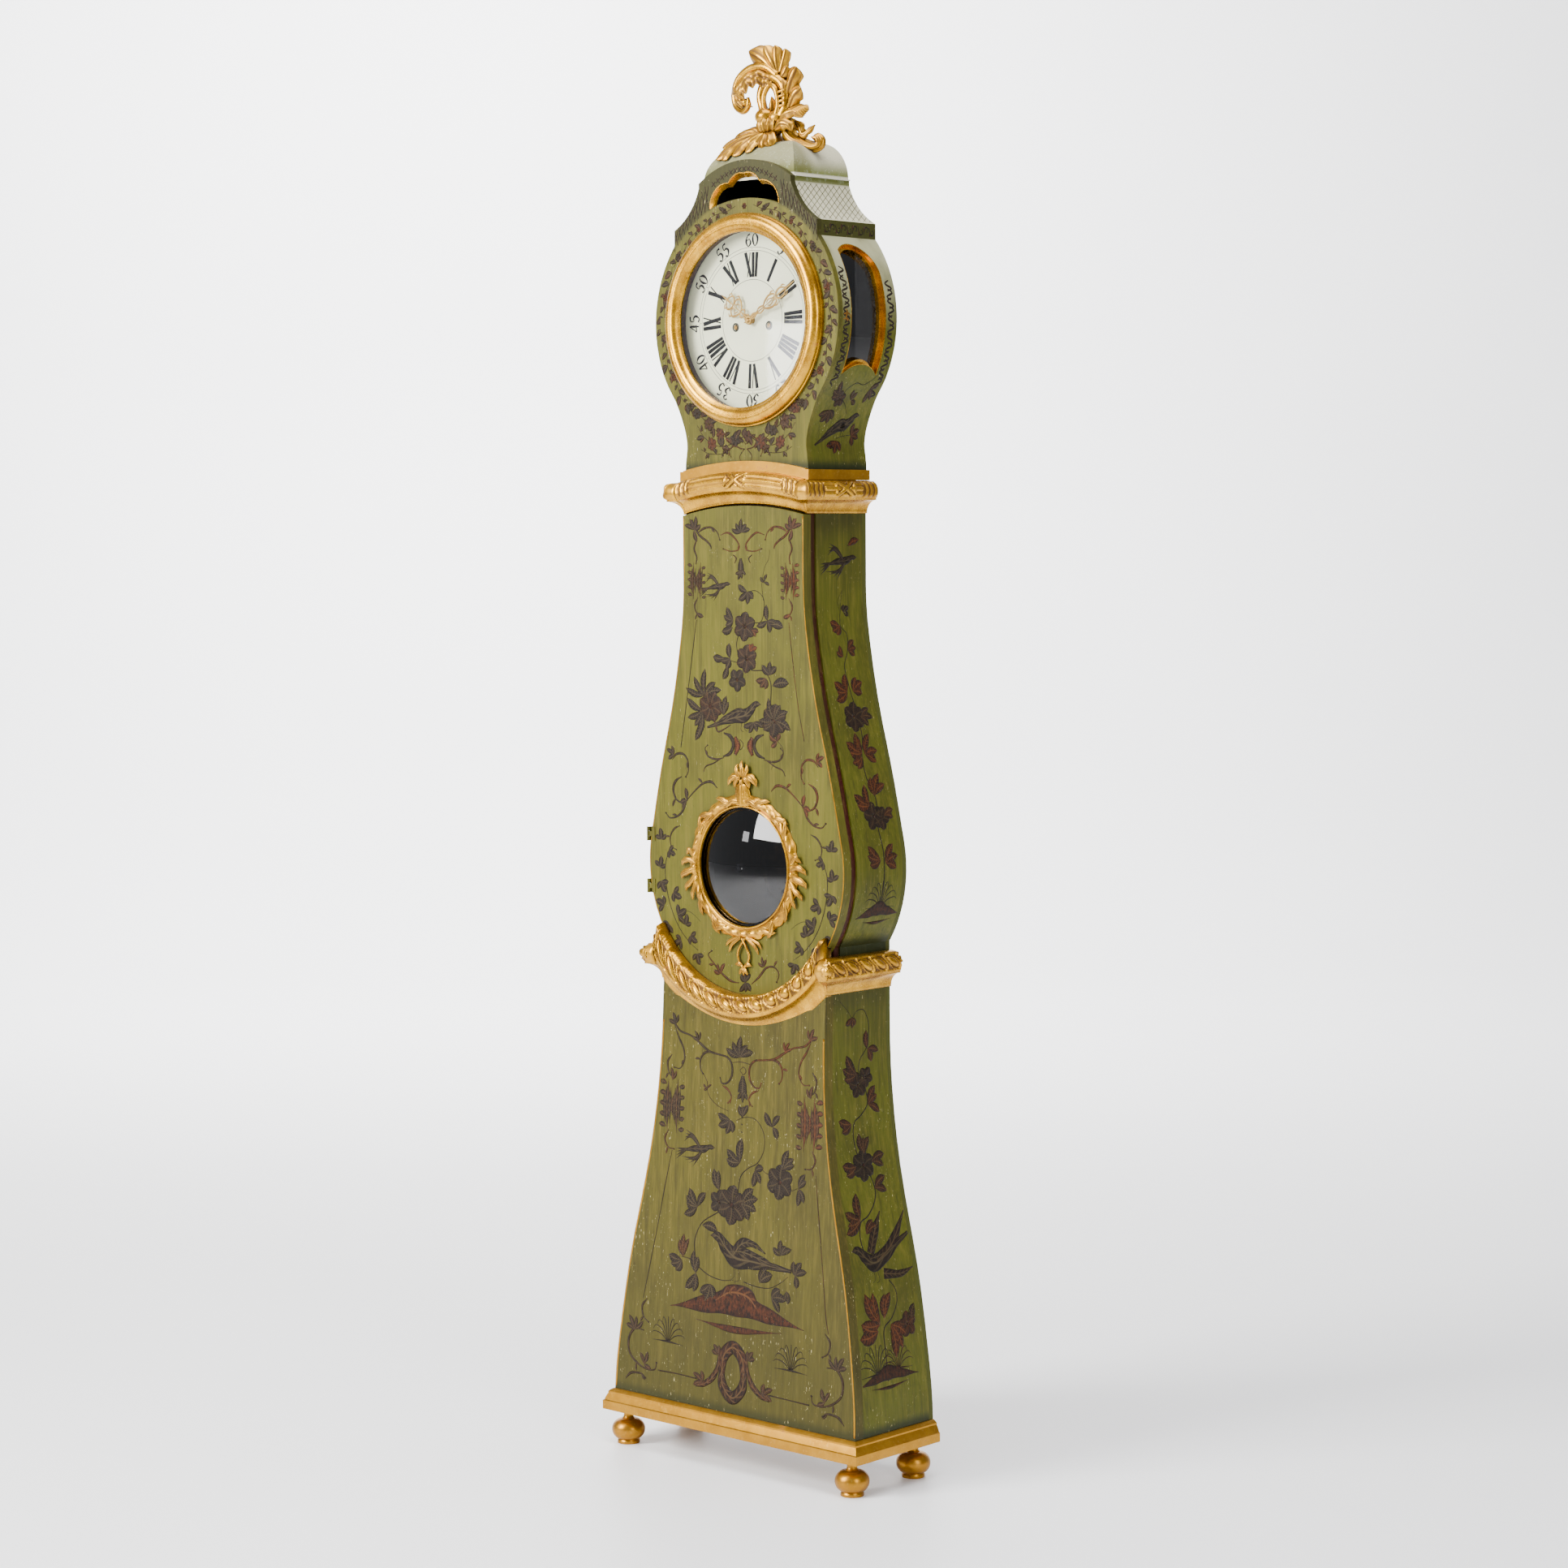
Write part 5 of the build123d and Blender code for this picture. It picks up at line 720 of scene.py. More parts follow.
class Painter:
    """Lays strokes on a ground. flip is -1 for the mirror image."""

    def __init__(self, ground, lift=None, sink=0.06, step=4.0):
        self.ground = ground
        self.lift = paint().relief / MM if lift is None else lift
        self.sink, self.step, self.flip = sink, step, 1
        self.work = Work("across", "along", "warm", "kind")

    def stroke(self, points, widths, warm=0.0, kind=0.0, step=None):
        line, shares = smooth_line([(self.flip * a, b) for a, b in points], step or self.step)
        fat = max(widths)
        count = 3 + 2 * min(5, int(fat / 9))
        rows, marks = [], {m: [] for m in self.work.marks}
        for i, p in enumerate(line):
            run = line[min(i + 1, len(line) - 1)] - line[max(i - 1, 0)]
            run.normalize()
            side = Vector((-run.y, run.x))
            half = max(along_list(widths, shares[i]) / 2, 0.12)
            row = []
            for k in range(count):
                t = 2 * k / (count - 1) - 1
                up = self.lift * (1 - abs(t) ** 3) - self.sink
                q = p + side * half * t
                row.append(self.ground.at(q.x, q.y, up))
                marks["across"].append(t)
                marks["along"].append(shares[i])
                marks["warm"].append(warm)
                marks["kind"].append(kind)
            rows.append(row)
        self.work.skin(rows, marks)

    def leaf(self, a, b, turn, long, wide, warm=0.0):
        c, s = math.cos(math.radians(turn)), math.sin(math.radians(turn))
        bend = long * 0.08
        middle_at = (a + c * long * 0.5 - s * bend, b + s * long * 0.5 + c * bend)
        self.stroke([(a, b), middle_at, (a + c * long, b + s * long)], [0.8, wide * 0.72, wide * 1.12, wide * 1.2,
            wide * 0.9, 0.4], warm, 1.0, max(1.5, long / 9))

    def leaves(self, a, b, turns, long, wide, warm=0.0):
        for i, turn in enumerate(turns):
            self.leaf(a, b, turn, long * (1 - 0.12 * (i % 3)), wide * (1 - 0.1 * (i % 2)), warm)

    def sprays(self, *bunches):
        for bunch in bunches:
            self.leaves(*bunch)

    def branch(self, points, wide, size, warm, gap):
        """A stem that carries leaves by turns on its two sides."""
        self.stroke(points, [wide, wide * 1.3, wide], warm * 0.5)
        line, _ = smooth_line(points, gap)
        for i in range(1, len(line) - 1):
            run = line[i + 1] - line[i - 1]
            turn = math.degrees(math.atan2(run.y, run.x)) + (52 if i % 2 else -52)
            long = size * (0.85 + 0.3 * math.sin(i * 2.3))
            a, b = line[i]
            self.leaf(a, b, turn, long, long * 0.46, warm * (0.5 + 0.5 * math.sin(i * 1.7)))
            turn += 34 if i % 2 else -34
            self.leaf(a, b, turn, long * 0.7, long * 0.34, warm * (0.5 + 0.5 * math.cos(i)))

    def flower(self, a, b, size, petals, warm, turn=20.0):
        for i in range(petals):
            t = math.radians(turn + i * 360 / petals)
            self.stroke([(a + size * 0.12 * math.cos(t), b + size * 0.12 * math.sin(t)),
                (a + size * 0.55 * math.cos(t + 0.12), b + size * 0.55 * math.sin(t + 0.12)),
                (a + size * math.cos(t), b + size * math.sin(t))], [size * 0.2, size * 0.7, size * 0.98,
                size * 0.86, size * 0.2], warm, 0.6, max(1.5, size / 7))
        self.stroke([(a - size * 0.16, b), (a + size * 0.16, b)], [size * 0.1, size * 0.34, size * 0.1], 0.5, 0.0,
            1.5)

    def scroll(self, points, wide, warm):
        """A C-scroll that ends in a small knob and carries a leaflet on its back."""
        self.stroke(points, [wide * 0.35, wide, wide * 0.8, wide * 0.55, wide * 0.4], warm, 0.7, 3.0)
        a, b = points[-1]
        self.stroke([(a - wide * 0.35, b), (a + wide * 0.35, b)], [wide * 0.3, wide * 0.8, wide * 0.3], warm, 0.0,
            1.5)
        p, q = points[len(points) // 2], points[len(points) // 2 - 1]
        turn = math.degrees(math.atan2(p[1] - q[1], p[0] - q[0]))
        self.leaf(p[0], p[1], turn + 48, wide * 2.2, wide * 0.8, warm)

    def vine_leaf(self, a, b, size, turn):
        for d, s in ((0, 1.0), (62, 0.78), (-62, 0.78)):
            self.leaf(a, b, turn + d, size * s, size * 0.55 * s)

    def tuft(self, a, b, size, warm=0.0):
        for i in range(9):
            t = math.radians(22 + 17 * i)
            c, s = math.cos(t), math.sin(t)
            long = size * (0.75 + 0.25 * math.sin(t))
            self.stroke([(a + c * 3, b), (a + c * long * 0.45, b + s * long * 0.7),
                (a + c * long * 0.9, b + s * long * 0.92), (a + c * long * 1.12, b + s * long * 0.62)],
                [1.6, 2.6, 1.8, 0.8], warm, 0.0, 3.0)
        self.stroke([(a - size * 0.8, b - 2), (a, b - 1), (a + size * 0.8, b - 3)], [0.8, 4.5, 0.8], warm)

    def mound(self, a, b, wide, high, warm):
        self.stroke([(a - wide / 2, b), (a - wide * 0.2, b + high * 0.25), (a, b + high * 0.42),
            (a + wide * 0.2, b + high * 0.25), (a + wide / 2, b + 2)], [1.5, high * 0.55, high * 0.85, high * 0.5,
            1.5], warm, 0.12)
        self.stroke([(a - wide * 0.3, b - high * 0.22), (a, b - high * 0.3), (a + wide * 0.34, b - high * 0.16)],
            [1.0, high * 0.22, 1.0], warm, 0.12)

    def shell(self, a, b, wide, high, warm):
        """A ragged upright cartouche."""
        for i in range(7):
            t = i / 6
            x = a + wide * (t - 0.5) * 0.8
            rise = high * (0.34 + 0.16 * math.sin(t * math.pi * 3))
            self.stroke([(x, b - rise), (x + 2, b), (x - 1, b + rise)], [1.0, wide * 0.2, wide * 0.24, 1.0],
                warm * (0.4 + 0.6 * (i % 2)), 1.0)
        for i in range(5):
            z = b + high * (i / 4 - 0.5) * 0.8
            self.leaf(a + wide * 0.35, z, 10, wide * 0.4, wide * 0.22, warm)
            self.leaf(a - wide * 0.35, z - 3, 170, wide * 0.34, wide * 0.2, warm * 0.5)

    def bellflower(self, a, b, size):
        self.stroke([(a, b + size * 0.5), (a, b), (a, b - size * 0.35)], [size * 0.25, size * 0.62, size * 0.7],
            0.0, 1.0, 2.0)
        for turn in (235, 270, 305):
            self.leaf(a, b - size * 0.2, turn, size * 0.6, size * 0.24)

    def flying_bird(self, a, b, size):
        p = bird_places(a, b, size, 1)
        self.stroke([p(-0.42, -0.06), p(-0.1, 0.0), p(0.2, 0.02), p(0.42, 0.1), p(0.5, 0.1), p(0.62, 0.1)],
            [size * 0.08, size * 0.2, size * 0.24, size * 0.14, size * 0.15, 0.6], 0.0, 0.8, 2.5)
        for k in range(4):
            self.stroke([p(0.12, 0.02), p(-0.12 - 0.04 * k, 0.3), p(-0.42 - 0.02 * k, 0.46 - 0.1 * k)],
                [size * 0.09, size * 0.1, 0.8], 0.0, 0.6, 2.5)
            self.stroke([p(0.16, -0.04), p(0.02 - 0.05 * k, -0.24), p(-0.14 - 0.14 * k, -0.46 + 0.07 * k)],
                [size * 0.08, size * 0.08, 0.8], 0.0, 0.6, 2.5)
            self.stroke([p(-0.38, -0.04), p(-0.75, -0.06 - 0.09 * k)], [size * 0.07, size * 0.06, 0.8], 0.0, 0.6, 2.5)

    def perched_bird(self, a, b, size, way, tail):
        """Body about its middle, with the tail's end this share of its size above or below."""
        p = bird_places(a, b, size, way)
        self.stroke([p(-0.98, tail), p(-0.6, tail * 0.62), p(-0.22, tail * 0.2), p(0.1, 0.0), p(0.3, 0.12),
            p(0.42, 0.24), p(0.5, 0.27), p(0.62, 0.26)], [size * 0.06, size * 0.12, size * 0.26, size * 0.34,
            size * 0.24, size * 0.17, size * 0.15, 0.5], 0.0, 1.0, 3.0)
        self.stroke([p(0.2, 0.08), p(-0.05, 0.1), p(-0.4, tail * 0.3 + 0.05), p(-0.72, tail * 0.62)],
            [size * 0.08, size * 0.16, size * 0.13, 0.8], 0.0, 1.0, 3.0)
        for leg in ([p(0.05, -0.14), p(0.02, -0.3), p(0.1, -0.34)], [p(0.14, -0.12), p(0.13, -0.28), p(0.2, -0.32)]):
            self.stroke(leg, [1.4, 1.2, 1.0])

    def both(self, draw):
        """Runs draw for the right side and for its mirror image."""
        for self.flip in (1, -1):
            draw(self)
        self.flip = 1

    def piece(self, name, node, material=None, slot="case_paint"):
        return self.work.piece(name, material or ornament_paint(), carrier(node), slot)


# ---------------------------------------------------------------- painted ornament
def door_ornament():
    p = Painter(Ground("front", "trunk_door"))

    def frame_half(s):
        left = s.flip < 0
        w = 0.15 if left else 0.75
        s.scroll([(104, 1582), (90, 1590), (72, 1592), (58, 1584), (52, 1571)], 5.5, w)
        s.scroll([(50, 1579), (34, 1583), (20, 1576), (8, 1563), (10, 1554), (28, 1552), (44, 1556)], 5.0, 0.85)
        s.stroke([(116, 1606), (110, 1592), (98, 1578), (84, 1570), (74, 1562), (72, 1556)], [2, 6, 5, 3], w, 0.6)
        s.leaves(112, 1588, [100, 60, 150, 20, 250], 24, 9, w * 0.6)
        s.stroke([(106, 1572), (112, 1556), (106, 1542), (108, 1530)], [4, 5, 4, 3], w, 0.5)
        s.shell(106, 1502, 30, 62, 0.25 + 0.6 * (not left))
        s.scroll([(104, 1474), (112, 1460), (106, 1446), (94, 1442)], 5.0, w)
        s.leaf(108, 1448, 200, 18, 8, w)
        s.stroke([(22, 1546), (14, 1540), (18, 1532)], [2, 4, 2], 0.3)

    p.both(frame_half)
    p.stroke([(-108, 1436), (-116, 1390), (-130, 1310), (-147, 1218)], [2.0, 2.6, 2.2, 2.6], 0.0)
    p.stroke([(104, 1434), (111, 1380), (123, 1300), (137, 1238)], [1.8, 2.4, 2.0, 2.2], 0.9)
    p.leaves(-2, 1583, [90, 130, 50, 165, 15], 24, 9)
    p.bellflower(-4, 1528, 24)
    p.leaves(-6, 1518, [250, 290, 200, 340], 15, 7)
    p.flying_bird(-60, 1492, 52)
    p.stroke([(60, 1284), (63, 1312), (62, 1334), (48, 1352), (18, 1354), (-6, 1372), (-15, 1396), (-4, 1420),
        (14, 1432), (40, 1434), (48, 1452), (47, 1474), (30, 1486), (12, 1484)], [2.6, 2.4, 2.2, 1.8, 1.4])
    p.stroke([(47, 1470), (44, 1498), (50, 1524), (60, 1540), (62, 1554)], [1.6, 1.2, 0.8])
    p.sprays((48, 1500, [60, -20, 130], 16, 7), (10, 1484, [215, 270, 320, 150], 24, 12),
        (56, 1436, [95, -18, -75, 200], 27, 12))
    p.leaf(62, 1430, -8, 30, 15)
    p.flower(4, 1426, 25, 6, 0.1)
    p.leaves(-22, 1436, [125, 160, 205], 27, 12)
    p.leaf(-24, 1424, 196, 26, 14)
    p.leaves(20, 1420, [-10, -50], 16, 9, 0.6)
    p.flower(8, 1372, 24, 6, 0.15)
    p.leaves(16, 1384, [25, 60, 95], 18, 9, 1.0)
    p.stroke([(-4, 1364), (-28, 1368), (-48, 1374)], [1.6, 1.4])
    p.leaves(-30, 1372, [95, 190, 240], 26, 13)
    p.leaf(-44, 1372, 175, 26, 14)
    p.leaf(-36, 1360, 245, 26, 13)
    p.leaves(62, 1346, [140, 92, 45], 26, 12)
    p.leaf(66, 1328, 8, 38, 17)
    p.leaves(52, 1340, [190, 225, 262], 24, 11, 0.3)
    p.flower(-14, 1336, 20, 5, 0.0, 50)
    p.leaves(-90, 1308, [88, 128, 42, 165, 15], 46, 13)
    p.stroke([(-90, 1310), (-82, 1292), (-76, 1276)], [2.2, 2.6, 2])
    p.flower(-76, 1290, 27, 8, 0.2)
    p.stroke([(-76, 1276), (-66, 1262), (-60, 1248), (-46, 1252), (-30, 1260)], [3, 5, 3.5, 2.4], 0.3, 0.6)
    p.leaves(-96, 1282, [150, 200, 235, 262], 42, 13)
    p.leaf(-98, 1268, 248, 40, 14)
    p.leaves(-46, 1276, [78, 110, 62], 34, 12)
    p.perched_bird(-8, 1276, 78, 1, -0.28)
    p.flower(70, 1270, 28, 6, 0.05)
    p.sprays((70, 1270, [-22, 28, 62, 110, 180, 212], 40, 14), (22, 1266, [200, 240, 300, 340], 24, 10),
        (76, 1236, [150, 215, 60], 20, 10, 0.5))
    p.stroke([(76, 1238), (90, 1222), (84, 1208), (70, 1200), (62, 1188)], [1.5, 1.3, 1.0], 0.4)

    # cartouche over the glass
    def cartouche(s):
        s.stroke([(46, 1246), (30, 1240), (24, 1226), (32, 1212), (48, 1206)], [3, 9, 8, 8, 3], 0.0, 0.6)
        s.stroke([(20, 1240), (14, 1226), (20, 1210)], [8, 16, 8], 0.9, 1.0)
        s.scroll([(46, 1204), (66, 1201), (84, 1206), (90, 1218), (84, 1224)], 5.0, 0.1)
        s.stroke([(50, 1204), (70, 1194), (88, 1188), (94, 1178)], [2.2, 3.4, 2.0], 0.3)

    p.both(cartouche)
    p.stroke([(-8, 1236), (-15, 1228), (-8, 1219), (-1, 1228), (-8, 1236)], [1.6, 2.0, 1.6], 0.1, 0, 2.0)
    # scrolls either side of the glass
    for p.flip, w in ((-1, 0.05), (1, 0.85)):
        p.scroll([(168, 1196), (158, 1206), (142, 1207), (131, 1196), (130, 1178), (136, 1168)], 6.0, w)
        p.scroll([(146, 1168), (160, 1160), (166, 1146), (160, 1130), (148, 1124), (140, 1130)], 7.5, w)
        p.scroll([(62, 1152), (76, 1162), (96, 1158), (116, 1144), (134, 1128)], 6.5, w)
        p.scroll([(134, 1130), (142, 1112), (156, 1100), (174, 1096), (184, 1104)], 6.0, w * 0.6)
        p.sprays((134, 1128, [80, 300, 340], 22, 9, w), (164, 1204, [30, 70, 330], 20, 8, w))
        p.scroll([(150, 1084), (164, 1078), (174, 1064), (172, 1048), (160, 1042)], 5.0, 0.1)
    p.flip = 1
    # vines at the foot
    for p.flip in (-1, 1):
        p.stroke([(172, 1048), (186, 1016), (184, 976), (172, 938), (154, 908), (132, 886), (110, 872)],
            [2.0, 2.4, 2.0, 1.2])
        for a, b, size, turn in (
            (196, 1058, 20, 80), (178, 1040, 18, 200), (200, 1010, 20, 100), (196, 986, 22, 240),
            (168, 968, 22, 200), (190, 944, 22, 20), (158, 930, 24, 150), (178, 912, 22, 300),
            (140, 914, 20, 100), (128, 896, 20, 210), (150, 886, 20, 330), (112, 866, 20, 250),
        ):
            p.vine_leaf(a, b, size, turn)
        p.stroke([(160, 930), (136, 938), (118, 932), (104, 922)], [1.6, 1.2, 0.8])
    p.flip = 1
    p.scroll([(14, 824), (32, 838), (48, 854), (66, 857), (77, 846), (72, 832)], 6.0, 0.4)
    p.scroll([(-14, 824), (-34, 826), (-56, 838), (-72, 852), (-86, 866), (-78, 874)], 6.0, 0.5)
    p.sprays((-58, 836, [60, 110, 160], 22, 8, 0.6), (0, 826, [90, 50, 130, 230, 310, 270], 22, 10),
        (44, 856, [110, 160, 70], 18, 7, 0.4))
    p.piece("door_painting", "trunk_door")


def base_ornament():
    p = Painter(Ground("front", "base_front"))

    def head(s):
        right = s.flip > 0
        w = 0.85 if right else 0.05
        s.stroke([(172, 750), (158, 744), (144, 732), (118, 726), (98, 716), (76, 704), (52, 700), (32, 697),
            (21, 686), (20, 668), (30, 654), (43, 652), (48, 662)], [2, 5, 4, 6, 4, 5, 6, 4, 3], w, 0.6)
        s.scroll([(66, 702), (84, 700), (94, 688), (94, 672), (88, 664)], 6.0, w)
        s.leaves(100, 718, [60, 100, 20], 20, 7, w)
        s.scroll([(42, 648), (28, 642), (20, 630), (28, 620)], 5.5, 0.8)
        s.scroll([(158, 742), (148, 722), (136, 704), (132, 684), (142, 668), (156, 668)], 5.5, w)
        s.leaves(156, 742, [70, 110, 20], 22, 8, w * 0.5)
        s.scroll([(162, 690), (172, 676), (168, 658), (158, 650)], 6.0, 0.1)
        s.shell(158, 602, 42, 92, 0.2 + 0.5 * right)
        s.scroll([(166, 560), (174, 544), (166, 530), (152, 528)], 6.0, 0.4)
        s.leaves(160, 646, [80, 120], 22, 8, 0.3)

    p.both(head)
    p.stroke([(-20, 689), (0, 692), (20, 690)], [1.4, 1.8, 1.4], 0.2)
    p.leaves(-2, 700, [90, 128, 52, 160, 20], 36, 13)
    p.stroke([(-2, 678), (6, 684), (12, 677), (5, 671), (-2, 678)], [1.5, 2, 1.5], 0.3, 0, 2.0)
    p.bellflower(5, 652, 34)
    for i in range(5):
        p.stroke([(4, 626 - 13 * i), (8, 626 - 13 * i)], [1, 6 - i * 0.7, 1], 0.0, 0, 1.5)
    p.stroke([(-94, 672), (-78, 652), (-74, 630), (-54, 614), (-26, 606)], [1.0, 2.0, 1.6, 1.0], 0.3)
    p.leaves(-76, 640, [150, 40, 200], 13, 5, 0.3)
    p.stroke([(-8, 592), (14, 600), (38, 598), (56, 578), (58, 550), (44, 526), (22, 514), (6, 498), (0, 470),
        (-12, 452), (-44, 432), (-80, 410), (-96, 380), (-94, 350), (-84, 332)], [1.4, 2.0, 2.4, 2.6, 3.0])
    p.stroke([(44, 526), (62, 512), (84, 508)], [1.8, 1.4])
    p.stroke([(104, 494), (120, 488), (136, 494)], [1.6, 1.2])
    p.sprays((76, 590, [128, 52, -58], 30, 13), (-22, 592, [205, 252, 288, 165], 30, 14),
        (8, 600, [60, 120, 90], 24, 11), (4, 522, [86, 148, 175], 42, 17), (38, 512, [262, 305, 20], 28, 13))
    p.flower(96, 500, 30, 6, 0.0)
    p.sprays((102, 522, [70, 40, 20], 36, 14), (138, 494, [268, 300, 40, 60], 30, 12))
    p.flower(-12, 448, 34, 6, 0.05)
    p.flower(-42, 450, 22, 5, 0.0, 70)
    p.sprays((-42, 470, [112, 95], 38, 15), (10, 452, [48, -12, -55, 20], 40, 17),
        (-92, 436, [125, 55, 172, 208, 150], 36, 16))
    p.leaf(-80, 406, -8, 36, 16)
    p.flying_bird(-96, 534, 66)
    p.perched_bird(12, 360, 118, -1, -0.05)
    p.stroke([(-8, 362), (14, 386), (40, 388), (68, 376)], [20, 22, 12, 3], 0.0, 1.0)
    p.stroke([(-84, 332), (-60, 322), (-30, 318), (-4, 322)], [2.6, 2.2, 1.4])
    p.stroke([(-84, 334), (-104, 344), (-128, 346)], [2.2, 1.4])
    p.sprays((-122, 346, [90, 70, 110], 40, 12, 0.4), (-126, 340, [170, 200, 235], 32, 16),
        (-92, 322, [230, 262, 80, 100], 38, 16), (-58, 308, [250, 215, 285], 34, 17))
    p.stroke([(20, 322), (50, 318), (80, 320), (104, 332), (120, 344)], [2.4, 1.8, 1.2])
    p.sprays((104, 378, [95, 150, 60, 30], 26, 12), (136, 348, [60, 100, 280, 20], 28, 13),
        (56, 326, [30, 60], 34, 18), (84, 304, [0, -50, 40], 34, 15), (118, 320, [280, 250], 22, 11))
    p.mound(4, 258, 310, 66, 0.75)
    p.stroke([(-44, 282), (-10, 300), (30, 298), (56, 276)], [6, 30, 34, 6], 0.6, 1.0)
    p.tuft(-154, 196, 46)
    p.tuft(132, 190, 46)
    # framing lines and foot scrolls
    p.stroke([(-156, 526), (-170, 466), (-184, 400), (-200, 330), (-216, 262)], [1.6, 2.8, 2.0, 2.6, 2.0])
    p.stroke([(176, 520), (186, 446), (197, 366), (207, 290), (214, 262)], [1.6, 2.8, 2.0, 2.6, 2.0], 0.5)
    p.stroke([(-176, 142), (-130, 143), (-84, 142)], [3.0, 2.4, 3.0], 0.2)
    p.stroke([(84, 140), (130, 139), (176, 138)], [3.0, 2.4, 3.0], 0.2)

    def foot(s):
        s.scroll([(212, 206), (234, 206), (248, 188), (246, 164), (228, 148), (204, 140), (184, 142), (180, 154)],
            7.0, 0.15)
        s.scroll([(206, 262), (218, 248), (214, 230), (202, 222)], 6.0, 0.1)
        s.leaves(236, 204, [60, 100, 20, 140], 28, 9, 0.1)
        s.scroll([(254, 116), (240, 128), (216, 130), (206, 124)], 6.5, 0.1)
        s.leaves(210, 148, [110, 60, 200], 24, 9, 0.2)
        s.stroke([(86, 130), (66, 136), (46, 150), (34, 172), (32, 196)], [5, 12, 14, 10, 4], 0.35, 1.0)
        s.sprays((70, 138, [30, 340, 80], 26, 10, 0.3), (36, 190, [60, 100, 20], 20, 9, 0.2))

    p.both(foot)
    p.stroke([(-24, 160), (-22, 190), (0, 208), (22, 190), (24, 160)], [14, 26, 26, 26, 14], 0.35, 1.0)
    p.stroke([(-26, 168), (-22, 140), (0, 122), (22, 140), (26, 168)], [14, 24, 26, 24, 14], 0.25, 1.0)
    p.piece("base_painting", "base_front")


def side_ornament(side):
    p = Painter(Ground(side, "trunk_sides"))
    p.flying_bird(42, 1534, 66)
    p.leaf(60, 1560, 20, 30, 12, 1.0)
    p.stroke([(46, 958), (50, 1004), (50, 1056), (46, 1100), (52, 1140), (38, 1178), (38, 1212), (48, 1244),
        (46, 1284), (38, 1326), (34, 1360), (46, 1384), (50, 1412), (36, 1428), (40, 1460), (45, 1486)],
        [3.4, 3.0, 2.6, 2.4, 2.0, 1.2])
    p.stroke([(36, 1452), (34, 1470), (44, 1484)], [1.2, 0.8])
    p.sprays((46, 1450, [30, 330, 80], 16, 10), (34, 1428, [165, 205, 240], 24, 14, 0.8),
        (48, 1386, [45, 10, 330], 24, 12, 0.6), (34, 1376, [110, 150], 20, 10, 0.7),
        (32, 1318, [150, 92, 178, 205], 34, 17, 0.85), (46, 1318, [30, 62, 350], 30, 15, 0.8))
    p.flower(38, 1276, 25, 6, 0.1)
    p.sprays((54, 1276, [-5, 30, -45], 30, 12, 0.2), (40, 1216, [150, 105, 175], 40, 18, 0.8),
        (46, 1214, [62, 8, 330], 38, 15, 0.8), (38, 1210, [200, 230], 28, 14, 0.7),
        (34, 1130, [150, 100, 175], 40, 17, 0.8), (50, 1146, [62, 30, 95], 40, 16, 0.8))
    p.flower(40, 1112, 24, 5, 0.1)
    p.flower(58, 1108, 20, 5, 0.1, 60)
    p.sprays((66, 1112, [20, 350], 26, 13, 0.4), (42, 1040, [140, 165, 195], 38, 16, 0.6),
        (54, 1034, [55, 20, 340], 38, 16, 0.7))
    p.tuft(48, 962, 46)
    p.mound(46, 944, 108, 34, 0.45)
    p.piece("trunk_side_painting_" + side, "trunk_sides")

    p = Painter(Ground(side, "base_sides"))
    p.stroke([(-20, 806), (0, 788), (10, 776), (22, 786), (40, 786), (52, 762), (50, 738), (44, 720), (28, 704),
        (24, 684), (34, 664), (40, 646), (40, 628), (22, 612), (4, 602), (-2, 580), (2, 552), (16, 536), (28, 510),
        (34, 486), (26, 466), (6, 448), (-14, 440), (-22, 420), (-20, 396), (-8, 380)], [1.2, 2.2, 2.8, 3.0, 3.4])
    p.sprays((10, 776, [215, 268, 300], 20, 11, 0.5), (48, 720, [95, -12, -68], 32, 14, 0.5),
        (18, 680, [125, 160, 190], 42, 17, 0.35))
    p.flower(20, 662, 22, 5, 0.1)
    p.flower(40, 674, 18, 5, 0.1, 50)
    p.sprays((42, 628, [55, -30, 30], 36, 15, 0.5), (-4, 600, [165, 205], 32, 16, 0.5),
        (20, 548, [105, 60, 85], 36, 15, 0.3))
    p.flower(14, 530, 27, 6, 0.0)
    p.sprays((36, 534, [15, 340], 34, 15, 0.3), (-4, 530, [172, 205], 34, 18, 0.4),
        (34, 490, [30, 345], 34, 15, 0.4), (-14, 444, [92, 155, 190, 205], 44, 19, 0.5),
        (-6, 420, [20, 45], 34, 15, 0.5))
    p.perched_bird(10, 372, 96, -1, 0.42)
    p.stroke([(-4, 388), (14, 420), (36, 452)], [20, 22, 3], 0.1, 1.0)
    p.stroke([(6, 372), (52, 396), (98, 448)], [26, 24, 3], 0.1, 1.0)
    p.stroke([(20, 352), (60, 346), (94, 352)], [20, 14, 3], 0.1, 1.0)
    p.stroke([(0, 178), (0, 220), (2, 262), (24, 278), (42, 302), (42, 324), (30, 340)], [3.0, 3.4, 2.6, 2.4])
    p.sprays((-6, 272, [118, 100, 172], 62, 22, 0.8), (-12, 262, [188, 160], 48, 24, 0.8),
        (6, 280, [62, 80], 46, 18, 0.7), (20, 268, [275, 300, 330], 56, 20, 0.8))
    p.flower(62, 262, 22, 5, 0.5)
    p.leaf(72, 262, 70, 34, 16, 0.2)
    p.tuft(-24, 194, 52)
    p.tuft(28, 196, 44, 0.5)
    p.mound(2, 178, 150, 34, 0.5)
    p.piece("base_side_painting_" + side, "base_sides")

